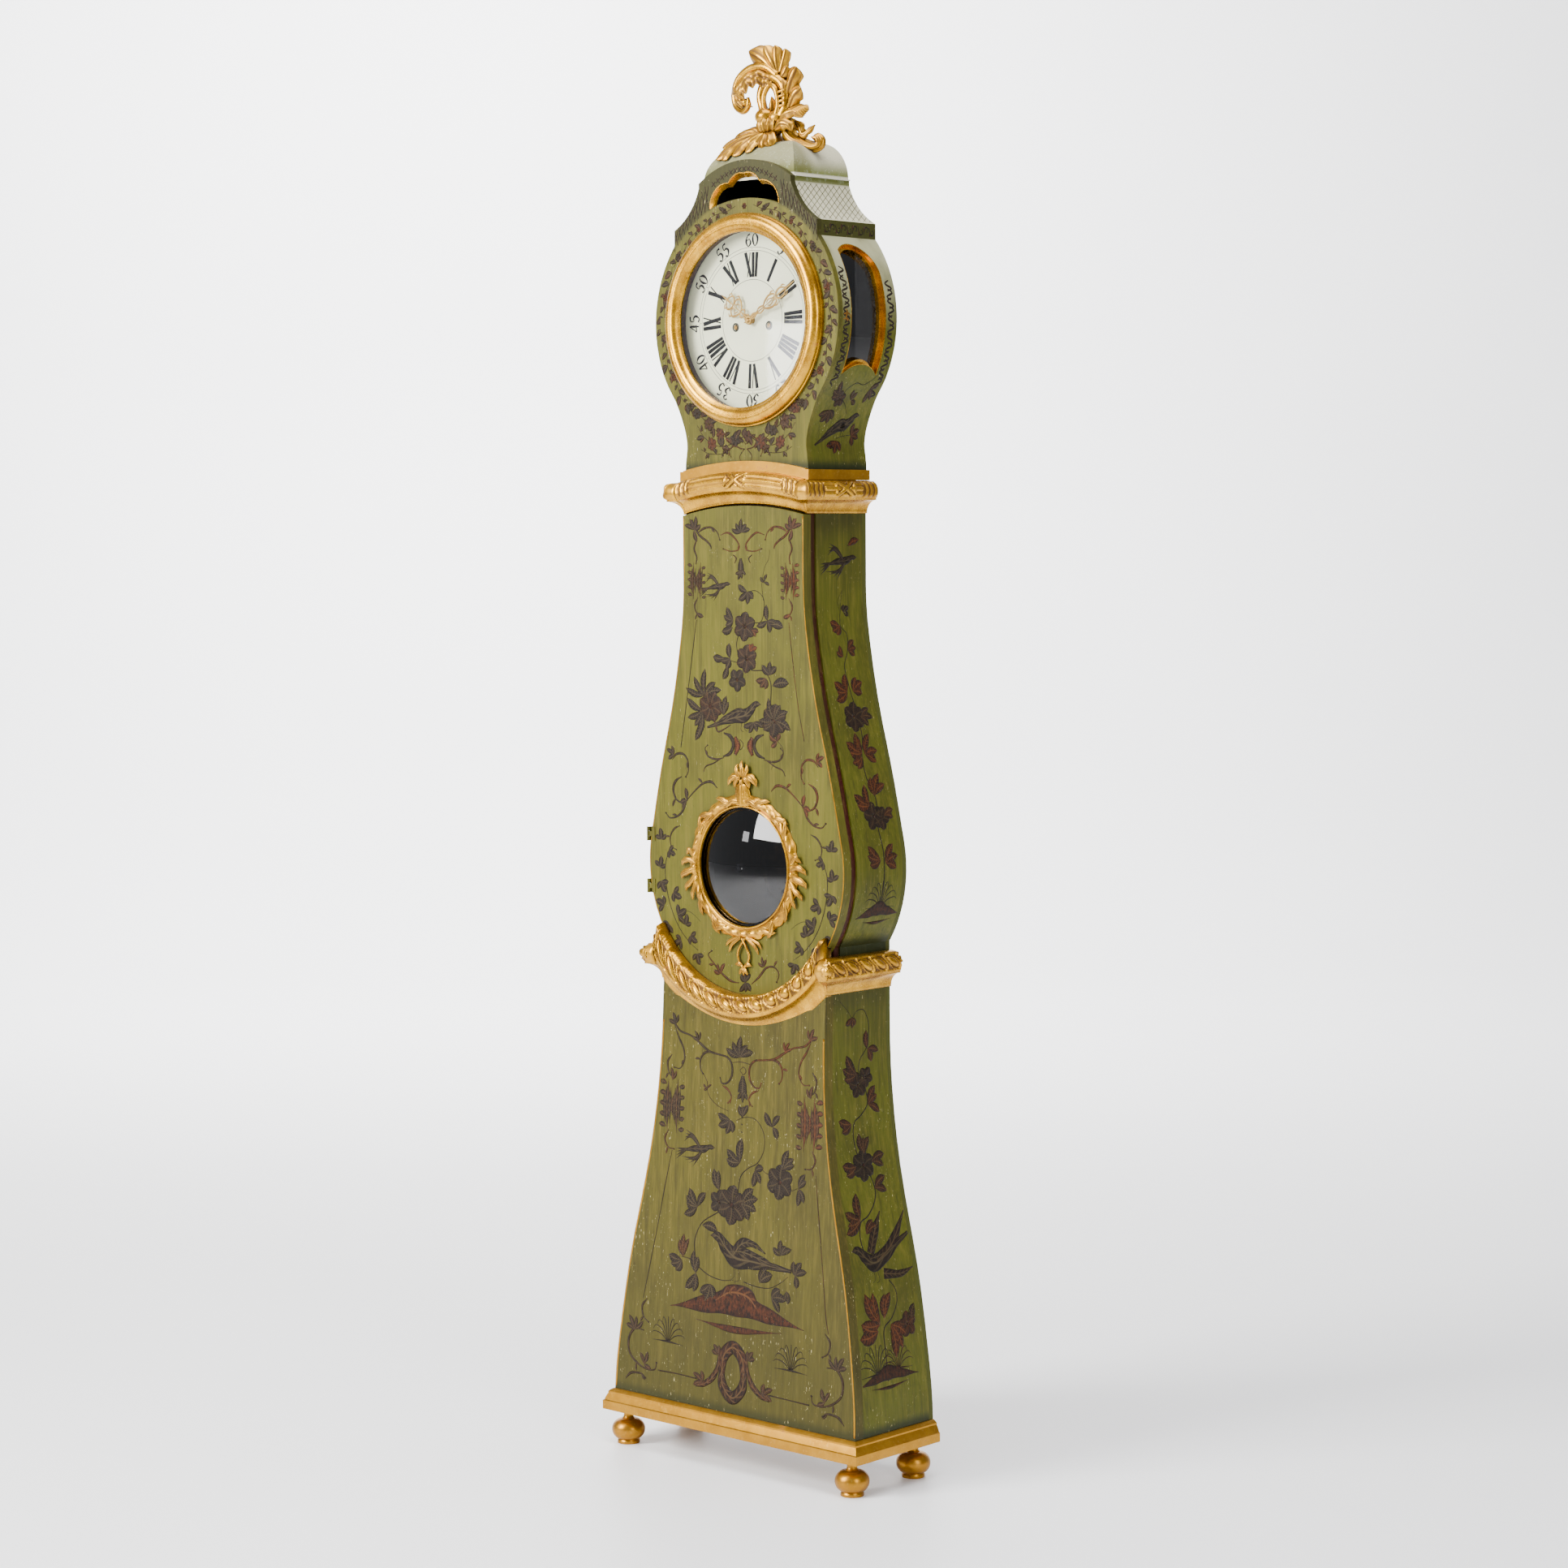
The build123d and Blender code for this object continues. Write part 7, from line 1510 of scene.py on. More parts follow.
def finial_carving():
    finish = gilding("finial", 0.35, carved=1.0)
    work = Work("hollow")
    y = FINIAL_Y

    def at(x, z, d=0.0):
        return (x, y - d, ROOF_TOP + z)

    front = (0.15, -1, 0.1)
    # ground block and calyx
    work.tube([at(0, -6), at(0, 6), at(2, 16)], [24, 22, 15], 16, 0.6)
    for k in range(9):
        a = math.radians(-90 + 24 * (k - 4))
        c, s = math.cos(a), math.sin(a)
        spine = [at(2 + r * c, z, -r * s) for r, z in ((9, 8), (20, 17), (24, 28), (19, 38))]
        frond(work, spine, [9, 13, 15, 9], (c, s, -0.2), 0.55, 2, 0, 2.8)
    knob(work, at(-7, 42, 6), (20, 17, 15))
    knob(work, at(15, 38, 2), (17, 15, 14), 0.2)
    # pale scalloped leaf in front
    for x, z, lean, wide in ((-24, -2, -0.8, 20), (-10, -10, -0.3, 22), (6, -13, 0.1, 22), (22, -6, 0.5, 20)):
        frond(work, [at(2, 14, 16), at(x * 0.7 + 2, 7, 24), at(x, z * 0.4, 29), at(x + lean * 5, z - 6, 27)],
            [11, wide, wide * 1.25, wide * 0.85], (0.1, -1, 0.5), 0.32, 2, 0, 2.6)
    # drooping spray over the front slope
    for spine, wide in (
        ([at(-14, 14, 12), at(-38, 8, 26), at(-60, -8, 40), at(-80, -28, 50)], 30),
        ([at(-18, 14, 10), at(-34, 19, 14), at(-50, 16, 18), at(-64, 7, 22)], 26),
        ([at(-26, 8, 22), at(-36, -6, 36), at(-46, -24, 46)], 26),
        ([at(-40, 8, 26), at(-60, 3, 32), at(-76, -8, 38)], 22),
        ([at(-50, -4, 34), at(-60, -18, 46), at(-66, -30, 50)], 20),
        ([at(-6, 8, 18), at(-14, -6, 34), at(-20, -20, 42)], 20),
    ):
        frond(work, spine, [7, wide * 0.85, wide, wide * 0.9, wide * 0.6], [(0, -1, 0.3), (-0.3, -0.8, 0.7)], 0.5,
            4, 2, 3.0, 0.2)
    # two stems that part and meet, with a bud between them
    work.tube([at(-12, 44, 2), at(-18, 62, 2), at(-21, 78, 2), at(-14, 94, 1), at(4, 103, 0)], [11, 8, 8, 9, 8], 12)
    work.tube([at(-5, 44, 8), at(-9, 60, 8), at(-10, 76, 7), at(-3, 90, 6), at(8, 98, 4)], [6, 4.4, 4.4, 5, 5], 10,
        0.1)
    work.tube([at(26, 40, 0), at(33, 58, 0), at(33, 76, 0), at(26, 94, 0), at(8, 106, 0), at(-12, 113, 0)],
        [13, 9, 9, 10, 10, 8], 12)
    work.tube([at(19, 42, 8), at(23, 58, 8), at(21, 76, 8), at(15, 88, 7), at(0, 97, 6)], [7, 5, 5, 6, 4], 10, 0.1)
    for z in (56, 64, 72, 80):
        work.tube([at(20, z - 2, 7), at(28, z, 10), at(38, z + 2, 8)], [2.2, 2.8, 2.2], 8, 0.3)
    frond(work, [at(5, 44, 4), at(7, 58, 6), at(6, 74, 4)], [8, 20, 4], front, 0.9, 3, 0, 6)
    # plume: fluted shell curling to the left, with a frilled lip
    rows, hollow = [], []
    lip = [at(0, 86, 6), at(-14, 93, 16), at(-28, 90, 22), at(-40, 80, 22), at(-44, 71, 18), at(-40, 64, 13),
           at(-34, 62, 10)]
    back = [at(16, 110, -2), at(-8, 127, -4), at(-40, 128, -6), at(-69, 114, -6), at(-82, 91, -4), at(-78, 66, 0),
            at(-58, 54, 5)]
    line_a, line_b = smooth_line(lip, 1.8)[0], smooth_line(back, 1.8)[0]
    count = min(len(line_a), len(line_b))
    for i in range(count):
        u = i / (count - 1)
        a = line_a[round(u * (len(line_a) - 1))]
        b = line_b[round(u * (len(line_b) - 1))]
        frill = 2.6 * math.sin(u * 30)
        inner, outer = [], []
        for k in range(17):
            v = k / 16
            bow = math.sin(math.pi * v)
            flute = math.cos(2 * math.pi * 4 * v)
            p = a.lerp(b, v) + Vector((0, -13 * bow * (0.4 + 0.6 * u) - 1.9 * flute * bow, 4 * bow))
            p += Vector((0.6, -1, 1)) * frill * (1 - v)
            inner.append(p)
            outer.append(p + Vector((-1.5, 3.0, 2.0)))
            hollow.append(min(1.0, 0.8 * (0.5 - 0.5 * flute) + 0.25 * (1 - v)))
        hollow += [0.5] * 17
        rows.append(inner + outer[::-1])
    work.skin(rows, {"hollow": hollow})
    work.tube([at(16, 108, 0), at(-8, 124, 2), at(-40, 125, 3), at(-67, 112, 3), at(-79, 90, 3), at(-75, 67, 5),
        at(-56, 55, 9), at(-40, 62, 13), at(-40, 76, 14)], [8, 8.5, 8, 7.5, 7, 6.5, 6, 5, 3], 12)
    knob(work, at(-45, 68, 15), (7, 7, 7))
    for k in range(7):
        t = k / 6
        frond(work, [at(-80 + 28 * t, 76 - 14 * t + 22 * (1 - t), 6), at(-68 + 22 * t, 78 - 6 * t + 10 * (1 - t),
            18), at(-54 + 12 * t, 74 + 10 * (1 - t), 23)], [10, 13, 5], (0.4, -1, 0), 0.55, 2, 0, 2.4)
    # spray at the top
    for spine, wide in (
        ([at(14, 106), at(-2, 118, 2), at(-18, 126, 4), at(-36, 132, 3)], 23),
        ([at(12, 108), at(-4, 130, 4), at(-24, 145, 6), at(-46, 154, 4)], 36),
        ([at(14, 110), at(8, 130, 6), at(-2, 147, 7), at(-10, 160, 5)], 25),
        ([at(16, 110), at(15, 130, 4), at(13, 146, 4), at(12, 159, 2)], 22),
        ([at(18, 108), at(22, 124, -2), at(27, 140, -3), at(31, 152, -3)], 20),
        ([at(22, 104, 2), at(31, 112, 2), at(36, 123, 0)], 20),
    ):
        frond(work, spine, [6, wide * 0.8, wide * 1.05, wide * 1.05, wide * 0.95, wide * 0.8], front, 0.65, 4, 2,
            3.0, 0.12)
    # leaves climbing on the right
    for spine, wide in (
        ([at(32, 68), at(42, 88, 3), at(52, 106, 4), at(60, 119, 2)], 32),
        ([at(34, 46), at(46, 62, 4), at(58, 76, 5), at(70, 83, 2)], 30),
        ([at(30, 62, 6), at(34, 84, 8), at(31, 100, 6)], 20),
    ):
        frond(work, spine, [7, wide * 0.9, wide, wide, wide * 0.75], front, 0.65, 4, 2, 3.0, 0.14)
    # frilled leaf over the right shoulder
    for k in range(5):
        frond(work, [at(24 + 3 * k, 26 + 3 * k, 10 - k), at(42 + 4 * k, 41 + 2 * k, 15 - 2 * k),
            at(62 + 3 * k, 45 + 1.5 * k, 11 - 2 * k), at(78 + 1.5 * k, 34 + 3 * k, 6 - 2 * k)], [10, 20, 18, 9],
            (0.2, -1, 0.5), 0.6, 2, 3, 3.0, 0.3)
    frond(work, [at(20, 18, 14), at(36, 27, 18), at(52, 24, 16), at(58, 12, 12)], [12, 27, 22, 7], (0.2, -1, 0.2),
        0.55, 4, 3, 3.2)
    # scroll that rides on the roof
    turn = Matrix.Rotation(math.radians(10), 4, "Z")

    def turned(points):
        pivot = Vector((0, y, 0))
        return [tuple(turn @ (Vector(p) - pivot) + pivot) for p in points]

    for lift, wide in ((0.0, 22), (6.0, 13)):
        frond(work, turned([at(38, 34, 4 + lift), at(36, 18, 7 + lift), at(46, 4, 10 + lift),
            at(64, -5, 10 + lift), at(84, -12, 8 + lift), at(98, -10, 6 + lift), at(96, 0, 6 + lift),
            at(86, 1, 6 + lift)]), [12, wide + 5, wide + 4, wide, wide, wide - 2, 8, 5], (0.2, -1, 0.5), 0.55, 4,
            0, 4.0)
    frond(work, turned([at(50, 30, 6), at(61, 20, 9), at(67, 8, 9), at(79, 14, 8), at(90, 22, 5)]),
        [10, 18, 17, 13, 5], (0, -1, 0.3), 0.55, 4, 3, 3.2)
    work.tube(turned([at(40, 36, 0), at(38, 15, 3), at(52, -3, 4), at(76, -14, 4), at(98, -14, 4), at(103, -4, 4),
        at(95, 4, 4), at(86, -1, 4)]), [8, 9, 9, 8, 7, 6, 5, 4.5], 12, 0.2)
    work.piece("finial_carving", finish, "hood", "gilding", ("finial",))


# ---------------------------------------------------------------- dial, numerals and hands
# each digit's line in a box one wide and one high, and the line's widths
DIGITS = {
    "0": ([(0.5, 1.0), (0.16, 0.78), (0.12, 0.4), (0.42, 0.02), (0.82, 0.26), (0.88, 0.66), (0.5, 1.0)],
          [0.6, 1.0, 1.7, 0.7, 1.4, 1.8, 0.6]),
    "1": ([(0.3, 0.82), (0.52, 1.0), (0.48, 0.5), (0.44, 0.0)],
          [0.6, 1.2, 1.9, 1.0]),
    "2": ([(0.14, 0.76), (0.34, 1.0), (0.76, 0.92), (0.72, 0.6), (0.32, 0.22), (0.1, 0.04), (0.5, 0.08),
           (0.92, 0.02)],
          [1.4, 0.7, 1.5, 1.2, 0.7, 1.0, 1.6, 0.8]),
    "3": ([(0.16, 0.84), (0.46, 1.0), (0.76, 0.8), (0.42, 0.55), (0.86, 0.34), (0.5, 0.0), (0.1, 0.14)],
          [1.3, 0.7, 1.5, 0.7, 1.8, 0.9, 1.4]),
    "4": ([(0.72, 0.0), (0.74, 0.6), (0.72, 1.0), (0.3, 0.5), (0.06, 0.28), (0.5, 0.3), (0.96, 0.32)],
          [1.0, 1.6, 0.9, 0.7, 0.8, 1.2, 0.8]),
    "5": ([(0.84, 0.98), (0.34, 0.94), (0.26, 0.58), (0.66, 0.58), (0.88, 0.34), (0.56, 0.0), (0.12, 0.1)],
          [1.4, 0.9, 0.7, 1.3, 1.8, 0.8, 1.4]),
    "6": ([(0.78, 0.94), (0.34, 0.78), (0.12, 0.36), (0.46, 0.0), (0.86, 0.24), (0.66, 0.54), (0.24, 0.42)],
          [1.2, 0.8, 1.7, 0.8, 1.6, 0.8, 0.7]),
}


def hour_strokes(text):
    """Radial strokes of a Roman numeral as (foot, head, width), about its middle."""
    made, x = [], 0.0
    for letter in text:
        if letter == "I":
            made.append((x + 3.2, x + 3.2, 6.6))
            x += 8.6
        else:
            feet, tip = ((8.4, 8.4), 13.6) if letter == "V" else ((13.4, 2.8), 13.2)
            made += [(x + feet[0], x + 2.4, 6.8), (x + feet[1], x + tip, 2.4)]
            x += 17.0
    return [(a - x / 2, b - x / 2, w) for a, b, w in made]


def dial_writing():
    s = bpy.context.scene.clock_dial
    low, high = s.hours_in / MM, s.hours_out / MM
    ring = Painter(Flat(DIAL_Y, 0.0, (0.0, HANDS.z)), 0.13, 0.01, 6.0)
    for radius, wide in ((68.0, 0.9), (116.2, 0.8), (121.8, 0.8)):
        ring.stroke(round_line(radius, 10), [wide])
    for sign in (-1, 1):
        ring.stroke(round_line(6.4, 30, (sign * 38, -10)), [2.6], step=1.5)
    for i in range(12):
        t = math.radians(30 * i)
        ring.stroke([(r * math.sin(t), r * math.cos(t)) for r in (118.2, 119.8)], [1.4], step=1.0)
    for hour, text in enumerate("XII I II III IIII V VI VII VIII IX X XI".split()):
        ring.ground = Flat(DIAL_Y, hour * 30.0, (0.0, HANDS.z))
        for foot, head, wide in hour_strokes(text):
            squeeze = low / high
            ring.stroke([(foot * squeeze * 1.12, low), (head, high)], [wide * 0.96, wide * 1.02, wide * 1.08])
    high_n, foot = s.minutes_high / MM, s.minutes_in / MM
    wide_n = high_n * 0.72
    for i in range(12):
        label = str(i * 5 or 60)
        ring.ground = Flat(DIAL_Y, i * 30.0, (0.0, HANDS.z))
        for k, digit in enumerate(label):
            points, widths = DIGITS[digit]
            x0 = -wide_n * len(label) / 2 + wide_n * k
            line = [(x0 + wide_n * (0.06 + 0.88 * a), foot + high_n * b) for a, b in points]
            ring.stroke(line, [2.7 * w for w in widths], step=1.2)
    ring.work.piece("dial_numerals", numeral_paint(), carrier("dial"), "dial_paint")


def pierced_hand(name, node, turn, reach, wide, y):
    """A hand sawn from sheet brass: scrolls either side of an open middle, and a point."""
    p = Painter(Flat(y, turn, (0.0, HANDS.z)), 0.75, 0.45, 2.0)
    p.stroke(round_line(5.4, 30), [4.2], step=1.5)

    def half(s):
        s.stroke([(1.5, reach * 0.05), (wide * 0.32, reach * 0.10), (wide * 0.16, reach * 0.16),
            (1.2, reach * 0.19)], [2.7, 3.5, 2.4])
        s.stroke([(0.8, reach * 0.18), (wide * 0.42, reach * 0.24), (wide * 0.30, reach * 0.31),
            (1.0, reach * 0.33)], [2.4, 3.2, 2.4])
        s.stroke([(1.0, reach * 0.32), (wide * 0.6, reach * 0.38), (wide * 0.95, reach * 0.48),
            (wide * 0.6, reach * 0.57), (wide * 0.2, reach * 0.55), (wide * 0.3, reach * 0.49)],
            [2.7, 4.1, 3.2, 2.4, 1.9])
        s.stroke([(wide * 0.2, reach * 0.40), (wide * 0.5, reach * 0.44), (wide * 0.35, reach * 0.50)],
            [1.9, 2.4, 1.6])
        s.stroke([(1.0, reach * 0.58), (wide * 0.55, reach * 0.62), (wide * 0.72, reach * 0.70),
            (wide * 0.3, reach * 0.77), (1.0, reach * 0.80)], [2.7, 3.8, 2.7, 2.2])
        s.stroke([(wide * 0.9, reach * 0.49), (wide * 1.15, reach * 0.54), (wide * 0.95, reach * 0.60)],
            [2.2, 3.0, 1.1])
        s.stroke([(wide * 0.6, reach * 0.70), (wide * 0.85, reach * 0.76), (wide * 0.5, reach * 0.80)],
            [1.9, 2.7, 1.1])

    p.both(half)
    p.stroke([(0, reach * 0.04), (0, reach * 0.5), (0, reach * 0.84), (0, reach * 0.995)], [3.4, 1.6, 3.6, 0.5])
    p.stroke([(-1.2, -reach * 0.08), (0, -reach * 0.02), (1.2, reach * 0.05)], [2.0, 5.0, 3.0])
    finish = plain_metal("hand_gold", srgb(196, 160, 84), srgb(150, 110, 50), 0.42, 0.7)
    p.work.piece(name, finish, carrier(node), "brass", (node,))


# ---------------------------------------------------------------- lines along edges
def edge_line(name, ground, points, widths, finish, node):
    p = Painter(ground, lift=0.35, sink=0.08, step=9.0)
    p.stroke(points, widths)
    p.piece(name, node, finish, "gilding")


def door_outline(inset):
    """The door's edge seen from the front, drawn in by inset: a round foot and a tapering neck."""
    r = DOOR_ROUND - inset
    z0 = LENS.z
    right = [(r * math.sin(math.radians(a)), z0 - r * math.cos(math.radians(a))) for a in range(0, 99, 6)]
    taper = [(0.26, 0.70), (0.51, 0.36), (0.77, 0.10)]
    x_start = math.sqrt(DOOR_ROUND**2 - 47.5**2)
    right = [q for q in right if q[1] < z0 + 44.0]
    right.append((x_start - inset, z0 + 47.5))
    for up, wide in taper:
        right.append((NECK_HALF + (x_start - NECK_HALF) * wide - inset, z0 + 47.5 + 431.0 * up))
    right += [(NECK_HALF - inset, z0 + up) for up in (478.5, 540.0, 588.0)]
    return right


# ---------------------------------------------------------------- stage
CAMERA_AT = Vector((4037.4, -4356.7, 1576.6)) * MM
CAMERA_TURN = (42.495, 4.025, -0.344)
CAMERA_FOCUS = 4339.3
PICTURE = 1932.0
# the sweep lies flat this far back, then turns up with this radius, in millimetres
SWEEP_STEPS, SWEEP_BACK, SWEEP_ROUND = 40, 6500, 2600


def build_stage():
    s = bpy.context.scene.clock_stage
    scene = bpy.context.scene
    work = Work()
    rows = []
    away = Vector((-math.sin(math.radians(CAMERA_TURN[0])), math.cos(math.radians(CAMERA_TURN[0])), 0))
    side = Vector((away.y, -away.x, 0))
    for i in range(SWEEP_STEPS + 1):
        t = i / SWEEP_STEPS
        if t < 0.5:
            d, h = -9000 + 31000 * t, 0.0
        else:
            a = (t - 0.5) * math.pi
            d, h = SWEEP_BACK + SWEEP_ROUND * math.sin(a), SWEEP_ROUND * (1 - math.cos(a))
        if i == SWEEP_STEPS:
            h = 9000
        rows.append([away * d + side * w + Vector((0, 0, h - 0.2)) for w in (-12000, -4000, 4000, 12000)])
    work.skin(rows, loop=False)
    f = Finish("paper_sweep", Roughness=0.5, Specular_IOR_Level=0.3)
    cloud = f.grain(900, detail=3.0)
    fine = f.grain(2.0, detail=3.0)
    tint = tuple(s.floor)
    f.set(Base_Color=f.mix(cloud.between(0.3, 0.7) * 0.3, tint, darker(tint, 0.96)), Roughness=0.42 + fine * 0.1)
    floor = work.stand("floor_sweep", f.material)

    world = bpy.data.worlds.new("studio")
    scene.world = world
    world.use_nodes = True
    back = world.node_tree.nodes["Background"]
    back.inputs[0].default_value = (0.94, 0.96, 1.0, 1.0)
    back.inputs[1].default_value = s.sky

    def lamp(name, at, look, size, power, tint=(1, 1, 1)):
        data = bpy.data.lights.new(name, "AREA")
        data.shape = "RECTANGLE"
        data.size, data.size_y = size
        data.energy, data.color = power, tint
        made = put_in_scene(name, data)
        made.location = at
        made.rotation_euler = (Vector(look) - Vector(at)).to_track_quat("-Z", "Y").to_euler()

    lamp("key", (-1.9, -4.7, 3.4), (0, 0, 1.2), (2.2, 3.0), s.key, (1.0, 0.99, 0.97))
    lamp("window", (-3.62, -4.4, 2.02), (0, 0, 1.9), (0.5, 0.5), s.key * 0.012)
    lamp("fill", (4.8, -1.4, 2.4), (0, 0, 1.3), (0.9, 3.0), s.fill, (0.97, 0.98, 1.0))
    lamp("top", (0.3, -0.6, 5.4), (0, 0, 0), (3.2, 3.2), s.key * 0.45)
    lamp("sweep light", (-4.2, 2.6, 4.8), (-6.4, 6.4, 1.2), (5.0, 2.4), s.key * 1.8)

    cam = bpy.data.cameras.new("camera")
    cam.lens = 36.0 * CAMERA_FOCUS / PICTURE
    cam.sensor_width = 36.0
    cam.clip_end = 100.0
    az, pitch, roll = (math.radians(v) for v in CAMERA_TURN)
    ahead = Vector((-math.sin(az) * math.cos(pitch), math.cos(az) * math.cos(pitch), -math.sin(pitch)))
    right = Vector((math.cos(az), math.sin(az), 0))
    up = right.cross(ahead)
    right, up = right * math.cos(roll) + up * math.sin(roll), up * math.cos(roll) - right * math.sin(roll)
    made = put_in_scene("camera", cam)
    made.matrix_world = Matrix.Translation(CAMERA_AT) @ Matrix((right, up, -ahead)).transposed().to_4x4()
    scene.camera = made


# ---------------------------------------------------------------- operators
class PieceOperator:
    bl_options = {"REGISTER", "UNDO"}


class CLOCK_OT_case(PieceOperator, bpy.types.Operator):
    """Paints the case, its door and the plain wood inside and behind"""

    bl_idname = "clock.paint_case"
    bl_label = "Paint Case"

    def execute(self, context):
        # the sides take the darker green, which is partly painted shade
        front, side = tuple(paint().front_green), tuple(paint().side_green)
        shaded = darker(toward(front, srgb(84, 60, 24), 0.2), 0.76)
        dress(green_paint("base_front", shaded, foot=PLINTH_TOP, low=0.5), "base_front")
        dress(green_paint("base_side", side, foot=PLINTH_TOP, head=WAIST_FOOT), "base_sides")
        dress(green_paint("door", front, chips=0.6), "trunk_door")
        dress(green_paint("trunk_side", side, foot=TRUNK_FOOT, head=TRUNK_HEAD, chips=0.6), "trunk_sides")
        hole = (0.0, HANDS.z * MM, 0.1485, HOOD_Y * MM)
        dress(green_paint("hood_front", front, foot=HOOD_FOOT, chips=0.8, dusk=(0.199, 0.206), hole=hole),
            "hood_front")
        dress(green_paint("hood_side", side, foot=HOOD_FOOT, pale=(1.90, 2.03), band=2.0675), "hood_sides")
        dress(green_paint("hinge", front), "door_hinge_case_leaves", "door_hinge_door_leaves", "bezel_hinge_leaf")
        dress(green_paint("oxblood", tuple(paint().oxblood), chips=0.2), "trunk_front_frame")
        dress(roof_paint(), "hood_roof_coves", "hood_roof_dome")
        dress(pine("backboard", painted=1.0), "backboard")
        dress(pine(), "base_bottom_board", "seat_board", "seat_cheeks")
        return {"FINISHED"}


class CLOCK_OT_ornament(PieceOperator, bpy.types.Operator):
    """Paints scrolls, birds and branches on the front and the sides"""

    bl_idname = "clock.paint_ornament"
    bl_label = "Paint Ornament"

    def execute(self, context):
        door_ornament()
        base_ornament()
        hood_ornament()
        for side in ("right", "left"):
            side_ornament(side)
        return {"FINISHED"}


class CLOCK_OT_edges(PieceOperator, bpy.types.Operator):
    """Draws the rubbed gilt lines along the edges of the door and the base"""

    bl_idname = "clock.gild_edges"
    bl_label = "Gild Edges"

    def execute(self, context):
        finish = gilding("edge", 1.6, 0.35)
        ground = Ground("front", "trunk_door")
        line = door_outline(1.6)
        edge_line("door_edge_right", ground, line, [3.6, 3.0, 3.8], finish, "trunk_door")
        edge_line("door_edge_left", ground, [(-a, b) for a, b in line], [2.4], finish, "trunk_door")
        ground = Ground("front", "base_front")
        corners = [v.co / MM for v in NODES["base_front"].data.vertices]
        for side, name in ((-1, "base_edge_left"), (1, "base_edge_right")):
            heights = [100 + 40.5 * k for k in range(17)]
            line = [
                (side * self.half_at(ground, z), z)
                for z in heights
                if any(abs(v.z - z) < 24 and v.x * side > 0 for v in corners)
            ]
            edge_line(name, ground, line, [5.4, 4.0, 5.0, 3.6, 5.6], finish, "base_front")
        return {"FINISHED"}

    @staticmethod
    def half_at(ground, z):
        """Half the width of the raked base at a height, just inside its edge."""
        beside = Vector((400, -91.2 + 0.05 * (z - 95) + 4, z))
        spot = ground.tree.ray_cast(beside, Vector((-1, 0, 0)))[0]
        return (spot.x if spot else WAIST_HALF) - 2.0


class CLOCK_OT_gilding(PieceOperator, bpy.types.Operator):
    """Gilds the plain mouldings, feet, window linings and the glazed ring"""

    bl_idname = "clock.gild_plain"
    bl_label = "Gild Plain Parts"

    def execute(self, context):
        dress(gilding("plain", 1.3, 0.4), "plinth_mouldings", "hood_base_band")
        dress(gilding("feet", 1.2, 0.6), "bun_feet")
        dress(gilding("ring", 1.0), "bezel_ring")
        dress(gilding("lining", 0.6), "hood_aperture_frame", "hood_window_frames")
        return {"FINISHED"}


class CLOCK_OT_mouldings(PieceOperator, bpy.types.Operator):
    """Carves the gadroons of the waist and the ribbons and reeds of the neck"""

    bl_idname = "clock.carve_mouldings"
    bl_label = "Carve Mouldings"

    def execute(self, context):
        carved_mouldings()
        return {"FINISHED"}


class CLOCK_OT_lens(PieceOperator, bpy.types.Operator):
    """Carves the frame of the round glass in the door"""

    bl_idname = "clock.carve_lens_frame"
    bl_label = "Carve Lens Frame"

    def execute(self, context):
        lens_carving()
        return {"FINISHED"}


class CLOCK_OT_finial(PieceOperator, bpy.types.Operator):
    """Carves the leaves, plume and scroll of the finial"""

    bl_idname = "clock.carve_finial"
    bl_label = "Carve Finial"

    def execute(self, context):
        finial_carving()
        return {"FINISHED"}


class CLOCK_OT_glass(PieceOperator, bpy.types.Operator):
    """Glazes the ring, the door and the side windows"""

    bl_idname = "clock.glaze"
    bl_label = "Glaze"

    def execute(self, context):
        dress(thin_glass("dial", (0.62, 0.62, 0.66), 0.07), "bezel_glass")
        # painted shade: the lens glass's near-black tint stands for the shade inside the trunk behind it
        dress(glass("lens", (0.10, 0.10, 0.12)), "lens_glass")
        # painted shade: the side windows' glass is nearly opaque and near black, standing for the shade inside the
        # hood
        dress(thin_glass("window", (0.045, 0.044, 0.046), 0.93), "hood_window_glass")
        return {"FINISHED"}


class CLOCK_OT_catch(PieceOperator, bpy.types.Operator):
    """Fixes the small brass catch on the right side of the hood"""

    bl_idname = "clock.fix_catch"
    bl_label = "Fix Catch"

    def execute(self, context):
        p = Painter(Ground("right", "hood_sides"), 1.2, 0.3, 2.0)
        z = HANDS.z
        p.stroke([(-20, z + 9), (-17, z + 3), (-20, z - 3), (-17, z - 10)], [3.0, 7.0, 6.0, 3.0])
        p.stroke([(-26, z + 1), (-18, z + 3), (-11, z + 1), (-9, z - 5)], [3.0, 4.4, 3.4, 2.0])
        p.stroke([(-27, z - 7), (-18, z - 6), (-12, z - 9)], [2.6, 4.0, 2.0])
        finish = plain_metal("catch", srgb(178, 132, 60), srgb(84, 54, 24), 0.4)
        p.piece("hood_catch", "hood_sides", finish, "gilding")
        return {"FINISHED"}


class CLOCK_OT_dial(PieceOperator, bpy.types.Operator):
    """Paints the dial with its hours and minutes"""

    bl_idname = "clock.paint_dial"
    bl_label = "Paint Dial"

    def execute(self, context):
        dress(dial_paint(), "dial")
        dial_writing()
        return {"FINISHED"}


class CLOCK_OT_hands(PieceOperator, bpy.types.Operator):
    """Saws and pierces the two hands"""

    bl_idname = "clock.pierce_hands"
    bl_label = "Pierce Hands"

    def execute(self, context):
        for node, turn, reach, wide in (("minute_hand", 60.0, 124.0, 11.0), ("hour_hand", 305.0, 80.0, 17.0)):
            pierced_hand(node + "_pierced", node, turn, reach, wide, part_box(node)[1].y / MM - 0.6)
        return {"FINISHED"}


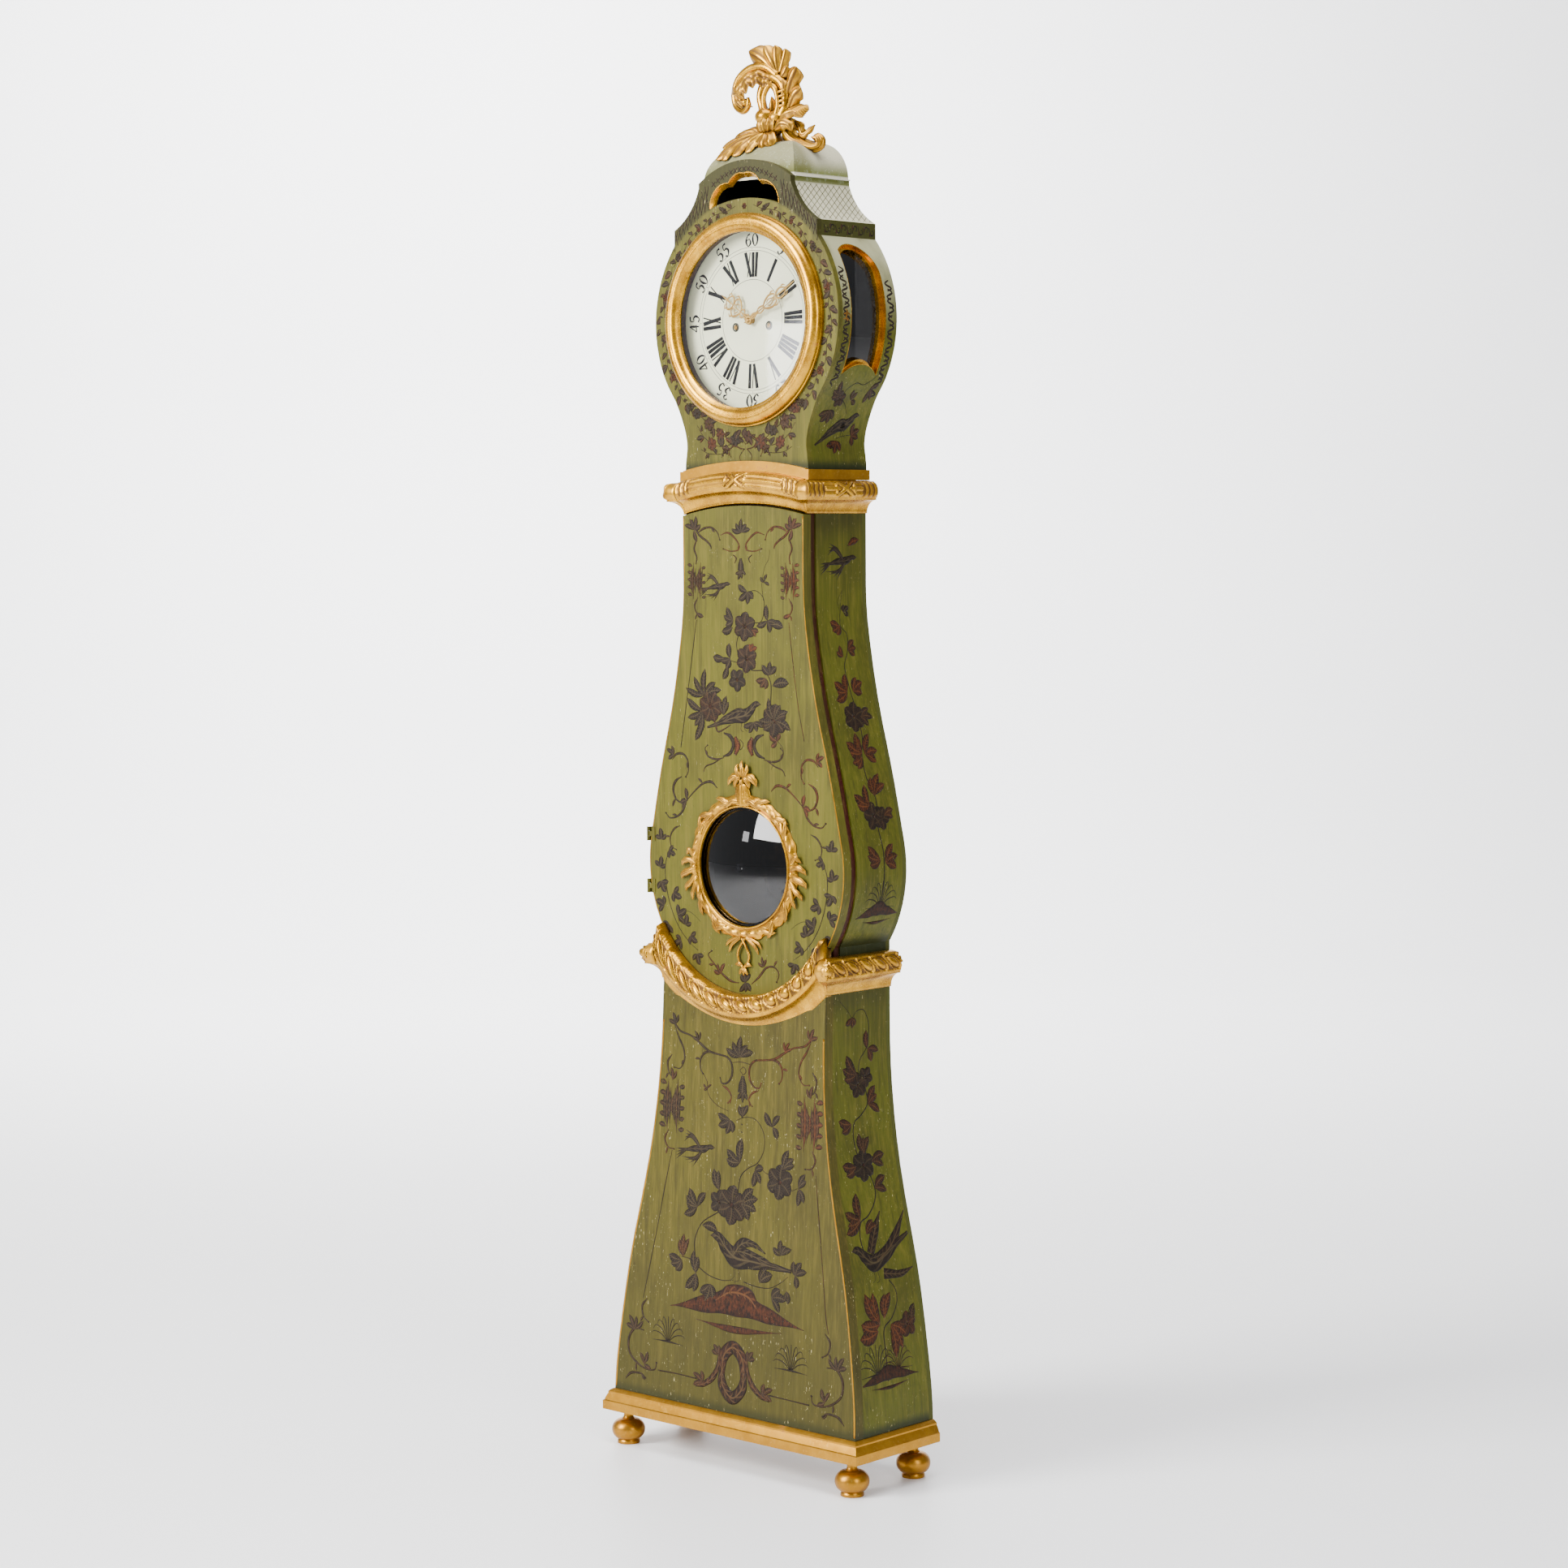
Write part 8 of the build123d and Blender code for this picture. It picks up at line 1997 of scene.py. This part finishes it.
class CLOCK_OT_works(PieceOperator, bpy.types.Operator):
    """Finishes the movement, pendulum, weights, lines and ironwork"""

    bl_idname = "clock.finish_works"
    bl_label = "Finish Works"

    def execute(self, context):
        brass = plain_metal("brass", srgb(196, 158, 88), srgb(120, 86, 40), 0.34)
        steel = plain_metal("steel", srgb(120, 118, 114), srgb(58, 52, 48), 0.38)
        iron = plain_metal("iron", srgb(58, 54, 52), srgb(70, 44, 30), 0.6, 0.7)
        cast = plain_metal("cast", srgb(48, 47, 46), srgb(62, 42, 30), 0.66, 0.5, 9.0)
        dress(brass, "movement_plates", "centre_wheel", "third_wheel", "escape_wheel", "going_great_wheel",
            "strike_great_wheel", "going_barrel", "strike_barrel", "pin_wheel", "fly", "hour_wheel",
            "minute_wheel", "going_pulley", "strike_pulley", "bell", "pendulum_bob")
        dress(steel, "pallets_crutch", "hammer", "pendulum_rod")
        dress(iron, "door_lock", "lock_bolt")
        dress(cast, "going_weight", "strike_weight")
        gut = pine("gut", srgb(170, 134, 82))
        dress(gut, "going_line", "strike_line", "line_upper_runs")
        return {"FINISHED"}


class CLOCK_OT_stage(PieceOperator, bpy.types.Operator):
    """Lays the paper sweep and sets the lights and the camera"""

    bl_idname = "clock.build_stage"
    bl_label = "Build Stage"

    def execute(self, context):
        build_stage()
        return {"FINISHED"}


class CLOCK_PT_dressing(bpy.types.Panel):
    bl_label = "Longcase Clock"
    bl_idname = "CLOCK_PT_dressing"
    bl_space_type = "VIEW_3D"
    bl_region_type = "UI"
    bl_category = "Longcase Clock"

    def draw(self, context):
        for operator in OPERATORS:
            self.layout.operator(operator.bl_idname)
        for group in ("clock_paint", "clock_gilding", "clock_dial", "clock_stage"):
            settings = getattr(context.scene, group)
            box = self.layout.box()
            for label in settings.__annotations__:
                box.prop(settings, label)


GROUPS = {
    "clock_paint": ClockPaint,
    "clock_gilding": ClockGilding,
    "clock_dial": ClockDial,
    "clock_stage": ClockStage,
}
OPERATORS = [
    CLOCK_OT_stage,
    CLOCK_OT_case,
    CLOCK_OT_gilding,
    CLOCK_OT_works,
    CLOCK_OT_glass,
    CLOCK_OT_mouldings,
    CLOCK_OT_lens,
    CLOCK_OT_finial,
    CLOCK_OT_dial,
    CLOCK_OT_hands,
    CLOCK_OT_catch,
    CLOCK_OT_edges,
    CLOCK_OT_ornament,
]


def register():
    for made in [*GROUPS.values(), *OPERATORS, CLOCK_PT_dressing]:
        bpy.utils.register_class(made)
    for label, group in GROUPS.items():
        setattr(bpy.types.Scene, label, bpy.props.PointerProperty(type=group))


def unregister():
    for label in GROUPS:
        delattr(bpy.types.Scene, label)
    for made in [CLOCK_PT_dressing, *reversed(OPERATORS), *GROUPS.values()]:
        bpy.utils.unregister_class(made)


def main():
    register()
    for operator in OPERATORS:
        section, name = operator.bl_idname.split(".")
        getattr(getattr(bpy.ops, section), name)()


if __name__ == "__main__":
    main()
